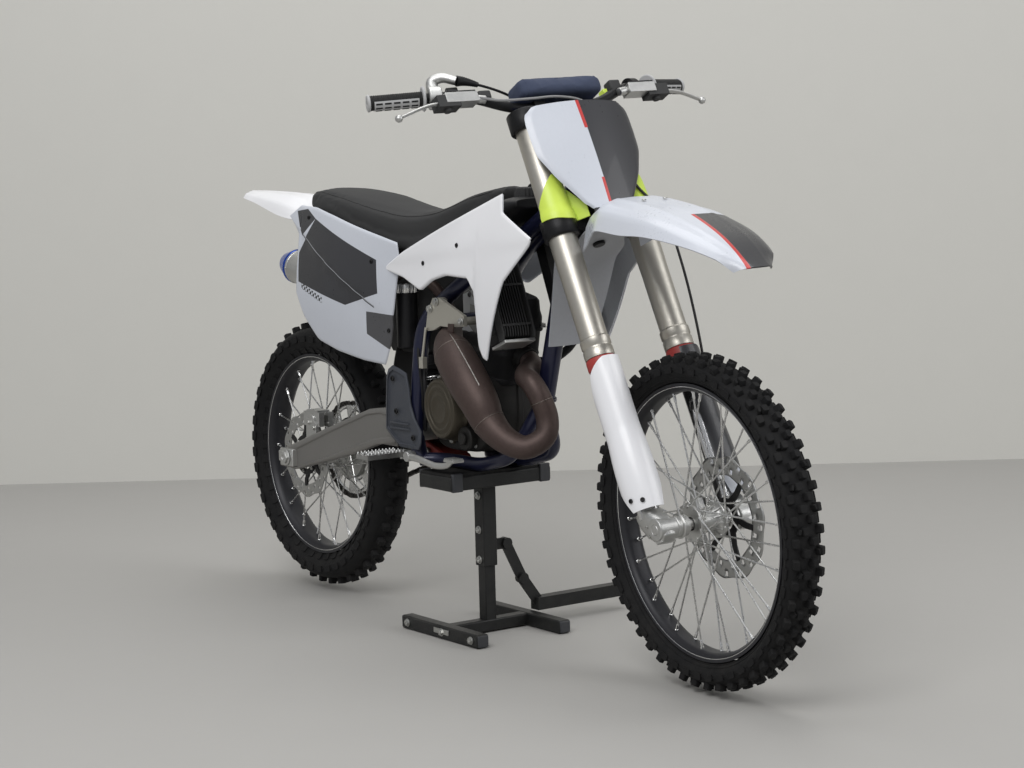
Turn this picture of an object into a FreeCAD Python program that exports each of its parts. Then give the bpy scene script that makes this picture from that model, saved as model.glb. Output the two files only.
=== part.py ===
import FreeCAD, Part
import math
import os

# A two-stroke dirt bike on the lift stand that holds it.
# Millimetres. X runs forward along the bike, Y to its left, Z up from the floor.
# The bike is drawn from the rear axle forward, then moved so that X = 0 is the middle of its length.
# The steered group is drawn in the fork's own frame: X ahead of the steering axis, Z up along it.

Vector = FreeCAD.Vector

# Wheels and stance
wheelbase = 1485.0
front_tyre_radius = 345.0
front_tyre_half_width = 45.0
front_wheel_lift = 8.0
rear_tyre_radius = 338.0
rear_tyre_half_width = 57.0
rear_wheel_lift = 14.0
tail_overhang = 364.0

# Steering geometry
rake_deg = 26.1
steer_rest_deg = -5.1
clamp_offset = 22.0
axle_lead = 33.0
leg_spacing = 200.0

# Fits and clearances
overrun = 2.0
seat_gap = 0.25
bore_gap = 0.05
moving_gap = 0.4

# Flats round bars and tubes, steps along their bends, and shares for drawing
rod_sides = 12
small_sides = 8
tube_sides = 10
tube_bend_steps = 3
cord_sides = 6
cord_bend_steps = 2
bend_share = 0.45
upright_limit = 0.9
skin_over_share = 0.1
mm3_per_cm3 = 1000.0

# Tyres and rims
lug_rows = 36
lug_fill_share = 0.56
front_lug_height = 12.0
rear_lug_height = 15.0
tyre_rim_gap = 0.6
front_flange_radius = 284.0
front_rim_half_width = 25.0
front_rim_depth = 18.0
rear_flange_radius = 256.0
rear_rim_half_width = 33.0
rear_rim_depth = 19.0
rim_wall = 4.0
rim_well_share = 0.55
rim_floor_share = 0.5
# Carcass section from bead to crown: share of half width, share of section height.
carcass_shares = [(0.0, 0.0), (0.86, 0.34), (1.0, 0.62), (0.80, 0.87), (0.30, 1.0)]

# Laced hubs
spoke_count = 36
spoke_radius = 1.9
spoke_cross_deg = 60.0
nipple_gap = 0.9
spoke_split_share = 0.25
rim_side_share = 0.3
front_hub_half_width = 34.0
front_hub_barrel_radius = 24.0
front_hub_flange_radius = 38.0
rear_hub_half_width = 40.0
rear_hub_barrel_radius = 30.0
rear_hub_flange_radius = 48.0
hub_flange_width = 7.0
flange_edge = 4.0
hub_sides = 24

# Axles
front_axle_radius = 11.0
front_axle_bore = 8.0
rear_axle_radius = 12.5
rear_axle_bore = 8.5
axle_head_radius = 17.0
axle_head_width = 6.0
hub_bore_gap = 0.4
spacer_radius = 18.0
spacer_gap = 1.0
# Bosses of a hub, right then left: radius and distance from the middle.
front_hub_bosses = ((24.0, 48.0), (34.0, 54.25))
rear_hub_bosses = ((42.0, 60.25), (66.0, 70.75))

# Brake discs and sprocket
front_disc_radius = 130.0
front_disc_inner = 86.0
rear_disc_radius = 110.0
rear_disc_inner = 74.0
disc_thickness = 3.0
disc_sides = 48
disc_arm_count = 6
disc_arm_width = 12.0
front_disc_side = 56.0
rear_disc_side = 62.0
sprocket_teeth = 48
chain_pitch = 15.875
tooth_tip_share = 0.18
tooth_root_share = 0.30
tooth_width_shares = (0.0, 0.32, 0.56, 0.76)
sprocket_thickness = 6.0
sprocket_side = 74.0
sprocket_inner = 62.0
sprocket_window_radius = 17.0
sprocket_window_count = 8

# Fork
fork_tube_radius = 29.5
fork_tube_low = 400.0
fork_tube_high = 950.0
fork_collar_radius = 32.0
fork_collar_height = 26.0
fork_leg_radius = 24.0
fork_foot_height = 62.0
fork_foot_width = 46.0
fork_foot_length = 78.0
fork_guard_wall = 3.5
fork_guard_low = 48.0
fork_guard_high = 392.0
fork_guard_radius = 44.0
fork_guard_back_share = 0.45
fork_guard_inside_share = 0.62
fork_guard_lip_height = 25.0
foot_back_share = 0.36
foot_front_share = 0.72
foot_below_share = 0.45
foot_above_share = 0.75
foot_bevel_share = 0.22

# Clamps and stem
clamp_height = 44.0
upper_clamp_low = 904.0
lower_clamp_low = 655.0
clamp_ring_radius = 39.0
clamp_waist = 46.0
clamp_waist_share = 0.15
stem_radius = 14.0
stem_hub_radius = 26.6
clamp_fit = 0.3

# Handlebar
bar_grip_radius = 11.1
bar_ahead = 4.0
bar_height = 966.0
bar_mount_side = 48.0
bar_mount_width = 30.0
bar_mount_rise = 16.0
bar_mount_fit = 0.3
bar_bend_side = 100.0
bar_rise_side = 205.0
bar_rise_height = 1018.0
bar_rise_back = 22.0
bar_half_width = 400.0
bar_tip_height = 1042.0
bar_sweep = 84.0
grip_radius = 16.5
grip_length = 118.0
grip_flange_radius = 27.0
grip_flange_width = 6.0
pad_half_width = 104.0
pad_height = 38.0
pad_depth = 72.0
pad_behind = 22.0
pad_round = 11.0

# Hand controls
throttle_side = 264.0
throttle_drum_radius = 25.0
throttle_drum_width = 28.0
elbow_rise = 39.0
elbow_radius = 12.5
elbow_sides = 16
boot_radius = 10.0
master_side = 232.0
clutch_master_side = 225.0
master_ahead = 29.0
master_drop = 22.0
master_length = 78.0
master_height = 26.0
master_depth = 34.0
lever_thickness = 8.0
lever_width = 12.0
lever_reach = 78.0
lever_drop = 77.0
lever_end_share = 0.965
lever_ball_radius = 8.5
perch_width = 24.0
perch_radius = 19.0
master_bevel = 6.0
clutch_master_length = 70.0

# Number plate
plate_ahead = 66.0
plate_low = 690.0
plate_high = 938.0
plate_half_width = 131.0
plate_wall = 3.5
plate_bow = 26.0
plate_lug_side = 20.0
plate_lug_radius = 6.0
# Right half of the plate's edge from the top centre down: share of half width, share of height.
plate_row_shares = (-0.1, 0.5, 1.1)
plate_column_shares = (-1.1, -0.55, 0.0, 0.55, 1.1)
plate_edge_shares = [(0.0, 1.0), (0.40, 1.0), (0.86, 0.96), (0.97, 0.83), (1.0, 0.57), (0.79, 0.32),
                     (0.42, 0.02), (0.0, 0.0)]
wedge_height = 74.0
wedge_low = 701.0
wedge_wall = 4.0
wedge_back_share = 0.2

# Front fender: places from the front axle forward, heights above the front axle
fender_wall = 3.5
front_fender_length = 508.0
front_fender_height = 130.0
front_fender_low = 522.0
front_fender_half_width = 108.0
front_fender_drop = 62.0
front_fender_rear = 282.0
fender_tongue_thickness = 11.0
fender_neck_half_width = 24.0
fender_neck_reach = 78.0
fender_neck_height = 13.0
# Along the fender: share of length, crest height share, half width share, drop share.
fender_cross_shares = [(-1.0, 1.0), (-0.86, 0.42), (-0.45, 0.06), (0.0, 0.0), (0.45, 0.06), (0.86, 0.42),
                       (1.0, 1.0)]
front_fender_shares = [(0.0, 0.82, 0.62, 0.62), (0.18, 1.0, 0.94, 1.0), (0.37, 0.92, 1.0, 0.92),
                       (0.56, 0.77, 0.98, 0.66), (0.80, 0.44, 0.80, 0.34), (1.0, 0.0, 0.40, 0.10)]

# Front caliper
caliper_length = 96.0
caliper_height = 50.0
caliper_width = 35.0
caliper_round = 10.0
caliper_slot = 5.0
caliper_reach = 104.0
caliper_angle_deg = 155.0
caliper_bracket_behind = 30.0
caliper_bracket_ahead = 30.0
caliper_bracket_wall = 9.0
caliper_bracket_low = 20.0
caliper_bracket_high = 30.0

# Frame
head_tube_radius = 29.0
head_tube_low = 712.0
head_tube_high = 896.0
spar_radius = 18.0
spar_head_side = 12.0
spar_knee_x = 720.0
spar_knee_z = 810.0
spar_knee_side = 66.0
spar_neck_x = 860.0
spar_neck_z = 892.0
spar_neck_side = 25.0
spar_bend_x = 590.0
spar_bend_z = 720.0
spar_bend_side = 84.0
pivot_x = 575.0
pivot_z = 462.0
pivot_side = 102.0
pivot_bolt_radius = 10.0
spar_low_z = 405.0
cross_tube_radius = 14.0
down_tube_radius = 21.0
down_tube_head_share = 0.424
down_tube_x = 945.0
down_tube_z = 560.0
rail_radius = 15.5
rail_side = 60.0
rail_front_x = 900.0
rail_front_z = 432.0
rail_back_x = 640.0
guard_plate_length = 150.0
guard_plate_height = 190.0
guard_plate_wall = 3.0
guard_plate_x = 478.0
guard_plate_z = 428.0
guard_plate_gap = 0.6
guard_hole_radius = 7.0
# Edge of a guard and the places of its holes: share of length, share of height.
guard_plate_shares = [(0.0, 0.20), (0.06, 0.86), (0.24, 1.0), (0.62, 0.92), (0.72, 0.55), (1.0, 0.22), (0.92, 0.0),
                      (0.40, 0.0)]
guard_hole_shares = [(0.30, 0.86), (0.34, 0.44)]

# Engine
case_x = 618.0
case_length = 232.0
case_z = 430.0
case_height = 172.0
case_half_width = 82.0
case_round = 26.0
crank_x = 780.0
crank_z = 505.0
crank_cover_radius = 66.0
crank_cover_width = 24.0
sprocket_pocket_x = 670.0
sprocket_pocket_side = 62.0
sprocket_pocket_z = 424.0
sprocket_pocket_high = 516.0
clutch_x = 697.0
clutch_z = 527.0
clutch_radius = 76.0
clutch_cover_width = 36.0
clutch_rib_count = 12
clutch_rib_width = 5.0
clutch_rib_shares = (0.38, 0.74)
# Section of the clutch cover from its joint outward: share of radius, share of width.
clutch_profile_shares = [(1.0, 0.0), (1.0, 0.6), (0.86, 1.0), (0.78, 1.0), (0.72, 0.92)]
cylinder_x = 800.0
cylinder_length = 128.0
cylinder_half_width = 62.0
cylinder_height = 158.0
cylinder_tilt_deg = 12.0
cylinder_bevel = 16.0
head_cover_height = 34.0
head_cover_inset = 8.0
port_radius = 26.0
port_length = 10.0
port_height = 62.0
port_drop = 3.0
stay_wall = 8.0
stay_length = 155.0
stay_height = 78.0
stay_x = 640.0
stay_z = 704.0
stay_side = 100.0
stay_boss_radius = 9.0
# Edge of the head stay seen from the side, and its bosses: share of length, share of height.
stay_edge_shares = [(0.0, 0.10), (0.06, 0.60), (0.20, 0.98), (0.36, 1.0), (1.0, 0.52), (1.0, 0.22), (0.62, 0.16),
                    (0.38, 0.18), (0.20, 0.04), (0.05, 0.0)]
stay_frame_boss_shares = [(0.13, 0.66), (0.30, 0.88)]
stay_head_boss_share = (0.94, 0.36)
intake_radius = 24.0
intake_x = 560.0
intake_z = 672.0

# Expansion chamber: places along its axis from the port on, each with its radius
pipe_axis = [
    (885.7, 0.0, 641.8, 25.0), (892.9, 0.0, 638.3, 24.5), (905.0, -3.4, 633.0, 24.0),
    (917.0, -13.0, 628.5, 24.0), (932.0, -38.0, 622.0, 24.0), (955.0, -58.0, 614.0, 24.0), (982.0, -62.0, 604.0, 24.5),
    (1003.0, -54.0, 570.0, 25.0), (1012.0, -44.0, 525.0, 25.0),
    (1014.0, -54.0, 488.0, 25.0), (992.0, -88.0, 466.0, 26.0), (950.0, -112.0, 480.0, 30.0),
    (905.0, -124.0, 516.0, 37.0), (880.0, -131.0, 560.0, 43.0), (832.0, -132.0, 610.0, 47.0),
    (773.0, -122.0, 655.0, 45.0), (722.0, -100.0, 679.0, 34.0), (680.0, -64.0, 700.0, 25.0),
    (640.0, -40.0, 740.0, 17.0), (600.0, -44.0, 790.0, 13.0), (560.0, -62.0, 822.0, 13.0),
    (516.0, -78.0, 834.0, 13.0), (470.0, -103.0, 808.0, 13.0), (444.0, -110.0, 781.0, 13.0),
    (414.3, -110.0, 783.7, 14.0)]
pipe_sides = 14

# Silencer
silencer_front_x = 374.0
silencer_front_z = 790.0
silencer_back_x = 78.0
silencer_back_z = 836.0
silencer_side = 110.0
silencer_radius = 42.0
silencer_cone_share = 0.36
silencer_sides = 24
silencer_bore_share = 0.34
silencer_cap_length = 52.0
silencer_cap_taper_share = 0.62

# Cooling
radiator_low = 684.0
radiator_high = 926.0
radiator_inner_side = 48.0
radiator_width = 90.0
radiator_thickness = 34.0
radiator_x = 938.0
radiator_lean = 22.0
louvre_depth = 22.0
louvre_wall = 3.0
louvre_count = 7

# Shrouds
shroud_rear_x = 527.0
shroud_length = 613.0
shroud_low_z = 658.0
shroud_height = 360.0
shroud_half_width = 172.0
shroud_wall = 3.5
shroud_boss_x = 910.0
shroud_boss_z = 800.0
shroud_boss_side = 164.5
shroud_boss_radius = 9.0
# Edge of a shroud seen from the side: share of length, share of height.
shroud_edge_shares = [(0.0, 0.553), (0.119, 0.636), (0.72, 0.985), (0.75, 1.0), (0.78, 0.889), (1.0, 0.744),
                      (0.832, 0.48), (0.70, 0.0), (0.68, 0.01), (0.655, 0.10), (0.648, 0.43), (0.60, 0.49),
                      (0.44, 0.50), (0.346, 0.466), (0.26, 0.395)]
# Distance from the middle over the shroud, rows from low to high, each from back to front, as shares.
shroud_skin_shares = [(0.82, 0.86, 0.90, 0.92), (0.74, 0.88, 0.98, 1.06), (0.56, 0.60, 0.64, 0.80)]

# Fuel tank
tank_back_x = 690.0
tank_length = 265.0
tank_low_z = 850.0
tank_height = 155.0
tank_half_width = 90.0
tank_cap_radius = 32.0
tank_cap_height = 24.0
tank_cap_share = 0.80
tank_foot_x = 764.0
tank_foot_length = 30.0
tank_foot_side = 50.0
tank_foot_width = 26.0
tank_foot_rise = 30.0
# Along the tank: share of length, base share of height, top share of height, half width share.
tank_shares = [(0.0, 0.0, 0.30, 0.66), (0.26, 0.19, 0.48, 0.96), (0.60, 0.50, 0.74, 1.0), (0.80, 0.64, 1.0, 1.0),
               (1.0, 0.86, 1.0, 0.80)]

# Seat
seat_back_x = 62.0
seat_length = 800.0
seat_half_width = 108.0
seat_top = 1032.0
seat_depth = 150.0
# Along the seat: share of length, top drop share of depth, half width share, base drop share of depth.
seat_shares = [(0.0, 0.10, 0.55, 0.30), (0.07, 0.03, 0.80, 0.36), (0.26, 0.13, 1.0, 0.52),
               (0.43, 0.28, 1.0, 0.70), (0.58, 0.38, 0.95, 0.92), (0.72, 0.33, 0.84, 0.98),
               (0.86, 0.13, 0.66, 0.66), (1.0, 0.0, 0.46, 0.36)]
# Half section of the cushion from the base out and up: share of half width, share of thickness.
seat_section_shares = [(0.0, 0.0), (0.86, 0.0), (1.0, 0.30), (0.88, 0.78), (0.50, 0.97), (0.0, 1.0)]

# Rear fender: stations from the front backward
rear_fender_front_x = 300.0
rear_fender_wall = 3.5
rear_fender_top = 1018.0
rear_fender_depth = 80.0
rear_fender_half_width = 100.0
# Along the fender: share of length, crest drop share, half width share, edge drop share.
rear_fender_shares = [(0.0, 0.92, 0.92, 0.50), (0.30, 0.60, 0.98, 0.40), (0.40, 0.40, 0.96, 0.46),
                      (0.55, 0.12, 0.88, 0.60), (0.80, 0.02, 0.62, 0.34), (1.0, 0.0, 0.34, 0.12)]

# Side panels
panel_rear_x = 100.0
panel_length = 460.0
panel_low_z = 618.0
panel_height = 372.0
panel_half_width = 182.0
panel_wall = 3.5
panel_boss_x = 200.0
panel_boss_z = 903.0
panel_boss_side = 148.0
panel_boss_radius = 8.0
# Edge of a side panel from the top rear corner: share of length, share of height.
panel_edge_shares = [(0.0, 0.93), (0.10, 1.0), (0.96, 0.65), (1.0, 0.62), (0.92, 0.14), (0.86, 0.0),
                     (0.70, 0.02), (0.34, 0.13), (0.12, 0.42), (0.06, 0.72)]
panel_skin_shares = [(0.80, 0.78, 0.60), (0.94, 0.92, 0.62), (0.66, 0.64, 0.54)]

# Airbox: the moulded body that carries the seat and tail, with the inner mudguard
airbox_back_x = 70.0
airbox_length = 504.0
airbox_low_z = 640.0
airbox_height = 325.0
airbox_half_width = 42.0
# Edge of the airbox seen from the side: share of length, share of height.
airbox_edge_shares = [(0.0, 0.83), (0.0, 0.92), (0.061, 0.996), (0.456, 0.915), (0.47, 0.900), (0.667, 0.882),
                      (0.905, 0.7805), (1.0, 0.768), (1.0, 0.185), (0.86, 0.07), (0.80, 0.0), (0.643, 0.0),
                      (0.504, 0.237),
                      (0.25, 0.49)]

# Shock absorber and linkage
shock_top_x = 500.0
shock_top_z = 636.0
shock_low_x = 520.0
shock_low_z = 420.0
shock_body_radius = 24.0
shock_spring_radius = 36.0
shock_wire_share = 0.42
shock_coils = 7
cap_sides = 18
reservoir_x = 519.0
reservoir_z = 784.0
reservoir_side = 80.0
reservoir_radius = 25.0
reservoir_length = 128.0
reservoir_pipe_radius = 7.0
reservoir_cap_radius = 28.0
reservoir_cap_height = 22.0
link_width = 34.0
link_radius = 16.0
link_reach = 66.0

# Swingarm
arm_inner_side = 86.0
arm_wall = 28.0
arm_front_x = 530.0
arm_cross_x = 402.0
arm_cross_length = 74.0
arm_cross_low_z = 420.0
arm_cross_height = 60.0
arm_neck_side = 43.0
arm_neck_width = 19.0
arm_neck_low_z = 444.0
arm_neck_height = 36.0
pivot_tube_radius = 20.0
pivot_tube_side = 82.0
arm_rear_reach = 52.0
arm_depth = 190.0
arm_low_z = 322.0
# Edge of an arm seen from the side: share of its length from the rear end, share of depth.
arm_edge_shares = [(0.0, 0.02), (0.02, 0.24), (0.108, 0.33), (0.754, 0.96), (0.862, 1.0), (1.0, 0.92),
                   (1.0, 0.60), (0.797, 0.52), (0.625, 0.36), (0.129, 0.0)]
axle_block_length = 58.0
axle_block_height = 44.0
axle_block_width = 10.0

# Chain
drive_sprocket_x = 622.0
drive_sprocket_z = 470.0
drive_sprocket_teeth = 13
drive_shaft_radius = 12.0
chain_plate_height = 14.0
chain_plate_wall = 3.0
chain_inner_width = 8.0
chain_roller_radius = 5.0
chain_roller_every = 4
chain_guide_length = 80.0
chain_guide_x = 130.0
chain_guide_low_z = 252.0
chain_guide_high_z = 375.0
chain_guide_inner_side = 61.0
chain_guide_wall = 4.0
chain_guide_floor = 8.0

# Rear caliper
rear_caliper_length = 84.0
rear_caliper_height = 44.0
rear_caliper_width = 42.0
rear_caliper_x = 66.0
rear_caliper_z = 452.0
rear_bracket_back_x = 42.0
rear_bracket_front_x = 92.0
rear_bracket_low_z = 372.0
rear_bracket_wall = 9.0

# Foot controls
peg_x = 500.0
peg_z = 420.0
peg_inner_side = 100.0
peg_bracket_width = 14.0
peg_outer_side = 205.0
peg_length = 52.0
peg_height = 18.0
peg_teeth = 5
peg_tooth_height = 6.0
peg_rail_share = 0.17
pedal_radius = 7.0
pedal_pivot_x = 590.0
pedal_pivot_z = 412.0
pedal_bend_z = 402.0
pedal_side = 134.0
shift_pivot_x = 684.0
shift_pivot_z = 468.0
shift_side = 138.0
pedal_tip_x = 772.0
pedal_tip_z = 420.0
pedal_tip_width = 26.0
shift_tip_x = 760.0
shift_tip_z = 455.0

# Lift stand
foot_tube = 31.0
foot_length = 310.0
foot_side = 115.0
foot_middle_x = 690.0
post_x = 702.0
post_outer = 37.0
post_inner = 29.0
post_wall = 3.75
post_inner_top = 250.0
post_outer_low = 155.0
platform_length = 130.0
platform_half_width = 140.0
platform_thickness = 39.0
platform_top = 387.0
platform_middle_x = 706.0
platform_round = 4.0
pedal_tube = 30.0
pedal_tube_z = 44.0
pedal_tube_end = 398.0
link_bar_width = 26.0
link_bar_wall = 6.0
link_high_z = 201.0
link_high_side = 55.0
link_mid_z = 112.0
link_mid_side = 100.0
link_low_side = 150.0
link_bolt_length = 20.0

# Cables held by the bars
hose_radius = 3.0
cable_radius = 3.0
# Route of the front brake hose in the fork's frame.
hose_points = [(9.0, -191.0, 998.6), (30.0, -150.0, 978.0), (54.0, -92.0, 966.0), (61.0, -30.0, 964.0),
               (62.0, 28.0, 950.0), (62.0, 56.0, 910.0), (62.0, 66.0, 856.0), (62.0, 74.0, 796.0),
               (62.0, 96.0, 742.0), (62.0, 130.0, 690.0), (58.0, 148.0, 636.0), (56.0, 150.0, 580.0),
               (52.0, 150.0, 520.0), (44.0, 150.0, 460.0), (30.0, 152.0, 400.0), (10.0, 156.0, 340.0),
               (-6.0, 156.0, 280.0), (-18.0, 154.0, 220.0), (-28.0, 140.0, 166.0), (-40.0, 112.0, 128.0)]
# Route of the throttle cable in the fork's frame.
cable_points = [(-4.8, -217.8, 1046.1), (-8.0, -168.0, 1036.0), (-22.0, -110.0, 1024.0), (-38.0, -62.0, 1008.0),
                (-46.0, -30.0, 975.0), (-48.0, -14.0, 930.0)]
boot_end = (-6.0, -219.5, 1046.8)

rear_axle_z = rear_wheel_lift + rear_tyre_radius
front_axle_z = front_wheel_lift + front_tyre_radius
length_middle = (wheelbase + front_tyre_radius - tail_overhang) / 2
rake = math.radians(rake_deg)
axle_ahead = clamp_offset + axle_lead
axis_foot = Vector(wheelbase - axle_ahead * math.cos(rake), 0, front_axle_z - axle_ahead * math.sin(rake))
fork_turn = FreeCAD.Rotation(Vector(0, 1, 0), -rake_deg).multiply(
    FreeCAD.Rotation(Vector(0, 0, 1), steer_rest_deg))
fork_frame = FreeCAD.Placement(axis_foot, fork_turn)
straight_fork_frame = FreeCAD.Placement(axis_foot, FreeCAD.Rotation(Vector(0, 1, 0), -rake_deg))


def rod(start, end, radius):
    """A round bar between two points."""
    run = end - start
    return Part.makeCylinder(radius, run.Length, start, run)


def across(centre, radius, width):
    """A round bar of a given width across the bike, centred on a point."""
    half = Vector(0, width / 2, 0)
    return rod(centre - half, centre + half, radius)


def square_bar(start, end, half):
    """A slim bar of square section between two points."""
    run = end - start
    side = run.cross(Vector(0, 0, 1))
    if side.Length < half:
        side = run.cross(Vector(1, 0, 0))
    side.normalize()
    rise = side.cross(run)
    rise.normalize()
    corners = [start + side * (a * half) + rise * (b * half) for a, b in ((-1, -1), (1, -1), (1, 1), (-1, 1))]
    return Part.Face(Part.makePolygon(corners + corners[:1])).extrude(run)


def block(low, high):
    """A box between its lowest and highest corners."""
    size = high - low
    return Part.makeBox(size.x, size.y, size.z, low)


def soft_block(low, high, bevel):
    """A box with every edge bevelled."""
    shape = block(low, high)
    return shape.makeChamfer(bevel, shape.Edges)


def slab(points, run):
    """A flat outline pushed along a direction."""
    return Part.Face(Part.makePolygon(points + points[:1])).extrude(run)


def side_slab(points, low_side, high_side):
    """An outline seen from the side, as (x, z), filled between two distances from the middle."""
    return slab([Vector(x, low_side, z) for x, z in points], Vector(0, high_side - low_side, 0))


def shared_outline(shares, start_x, length, start_z, height):
    """The (x, z) points of an outline given in shares of its length and height."""
    return [(start_x + a * length, start_z + b * height) for a, b in shares]


def ring(profile, centre, sides):
    """A closed profile of (radius, side) points carried round the axle line through a point, in flats."""
    faces = []
    for step in range(sides):
        first = 2 * math.pi * step / sides
        last = 2 * math.pi * (step + 1) / sides
        for low, high in zip(profile, profile[1:] + profile[:1]):
            corners = [wheel_point(first, *low), wheel_point(last, *low), wheel_point(last, *high),
                       wheel_point(first, *high)]
            faces.append(quad([centre + corner for corner in corners]))
    return sewn_solid(faces)


def corner_path(points, share):
    """Straight runs joined by tangent arcs, each as large as its shorter run allows."""
    edges = []
    last = points[0]
    for before, corner, after in zip(points, points[1:], points[2:]):
        back = before - corner
        ahead = after - corner
        reach = share * min(back.Length, ahead.Length)
        back.normalize()
        ahead.normalize()
        start = corner + back * reach
        end = corner + ahead * reach
        turn = math.pi - back.getAngle(ahead)
        radius = reach / math.tan(turn / 2)
        inward = back + ahead
        inward.normalize()
        centre = corner + inward * math.hypot(radius, reach)
        middle = centre - inward * radius
        edges.append(Part.LineSegment(last, start).toShape())
        edges.append(Part.Arc(start, middle, end).toShape())
        last = end
    edges.append(Part.LineSegment(last, points[-1]).toShape())
    return Part.Wire(edges)


def bent_rod(points, radius, share=bend_share, sides=tube_sides, steps=tube_bend_steps):
    """A round bar or cord along straight runs joined by tangent arcs, drawn with flat sides."""
    path = corner_path(points, share)
    places = [points[0]]
    for edge in path.Edges:
        if isinstance(edge.Curve, Part.Circle):
            first, last = edge.ParameterRange
            for step in range(steps + 1):
                places.append(edge.valueAt(first + (last - first) * step / steps))
    places.append(points[-1])
    return facet_loft(round_sections(places, [radius] * len(places), sides))


def round_sections(places, radii, sides):
    """Many-sided sections along a line of places, without twist from one to the next."""
    sections = []
    across_run = None
    for index, (place, radius) in enumerate(zip(places, radii)):
        before = places[max(index - 1, 0)]
        after = places[min(index + 1, len(places) - 1)]
        run = after - before
        run.normalize()
        if across_run is None:
            guide = Vector(0, 0, 1) if abs(run.z) < upright_limit else Vector(0, 1, 0)
            across_run = run.cross(guide)
        across_run = across_run - run * across_run.dot(run)
        across_run.normalize()
        other = run.cross(across_run)
        turns = [2 * math.pi * side / sides for side in range(sides)]
        outer = radius / math.cos(math.pi / sides / 2)
        sections.append([place + across_run * (outer * math.cos(t)) + other * (outer * math.sin(t))
                         for t in turns])
    return sections


def facet_loft(sections):
    """A closed body of flat facets between like flat sections, with both ends capped."""
    faces = [Part.Face(Part.makePolygon(ring + ring[:1])) for ring in (sections[0], sections[-1])]
    for low, high in zip(sections, sections[1:]):
        for a in range(len(low)):
            b = (a + 1) % len(low)
            for corners in ((low[a], low[b], high[b]), (low[a], high[b], high[a])):
                faces.append(Part.Face(Part.makePolygon(list(corners) + [corners[0]])))
    return sewn_solid(faces)


def sewn_solid(faces):
    """Faces that close round a space, sewn into a solid that faces outward."""
    shell = Part.makeShell(faces)
    shell.sewShape()
    body = Part.Solid(shell)
    if body.Volume < 0:
        body = Part.Solid(Part.Shell([face.reversed() for face in shell.Faces]))
    return body


def upright_edges(shape):
    """The edges of a block that run upright."""
    return [e for e in shape.Edges if abs(e.tangentAt(e.FirstParameter).z) > upright_limit]


def flat_rod(start, end, radius, sides=rod_sides):
    """A bar between two points with flats round it that touch the given radius."""
    return facet_loft(round_sections([start, end], [radius, radius], sides))


def cord(points, radius):
    """A cable or hose along its route."""
    return bent_rod([Vector(*p) for p in points], radius, bend_share, cord_sides, cord_bend_steps)


def bent_radii(points, share=bend_share):
    """The radius of each bend of such a path."""
    radii = []
    for before, corner, after in zip(points, points[1:], points[2:]):
        back = before - corner
        ahead = after - corner
        turn = math.pi - back.getAngle(ahead)
        radii.append(share * min(back.Length, ahead.Length) / math.tan(turn / 2))
    return radii


def mirrored(shape):
    """The same piece on the other side of the bike."""
    return shape.mirror(Vector(0, 0, 0), Vector(0, 1, 0))


def both_sides(shape):
    """A piece and its mirror image, as two solids."""
    return Part.makeCompound([shape, mirrored(shape)])


def fused(shapes):
    """Overlapping shapes joined into one."""
    return shapes[0].multiFuse(shapes[1:]).removeSplitter()


def skin_sheet(rows, run):
    """A faceted sheet through rows of points, given a wall along a direction."""
    faces = []
    for low, high in zip(rows, rows[1:]):
        for a, b, c, d in zip(low, low[1:], high[1:], high):
            for corners in ((a, b, c), (a, c, d)):
                faces.append(quad(list(corners)))
                faces.append(quad([corner + run for corner in corners]))
    border = rows[0] + [row[-1] for row in rows[1:]] + rows[-1][-2::-1] + [row[0] for row in rows[-2:0:-1]]
    for a, b in zip(border, border[1:] + border[:1]):
        faces.append(quad([a, b, b + run, a + run]))
    return sewn_solid(faces)


def quad(corners):
    """A flat face with three or four corners."""
    return Part.Face(Part.makePolygon(corners + corners[:1]))


def wheel_point(angle, radius, side):
    """A point of a wheel by its angle, radius and distance from the middle."""
    return Vector(radius * math.sin(angle), side, radius * math.cos(angle))


def tyre_section(radius, half_width, bead_radius, bead_half, lug_height):
    """The carcass from one bead over the crown to the other, as (radius, side) points."""
    height = radius - lug_height - bead_radius
    half = []
    for width_share, height_share in carcass_shares:
        side = width_share * (half_width - lug_height / 2) if half else bead_half
        half.append((bead_radius + height_share * height, side))
    return [(r, -y) for r, y in half] + [(r, y) for r, y in reversed(half)]


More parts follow.
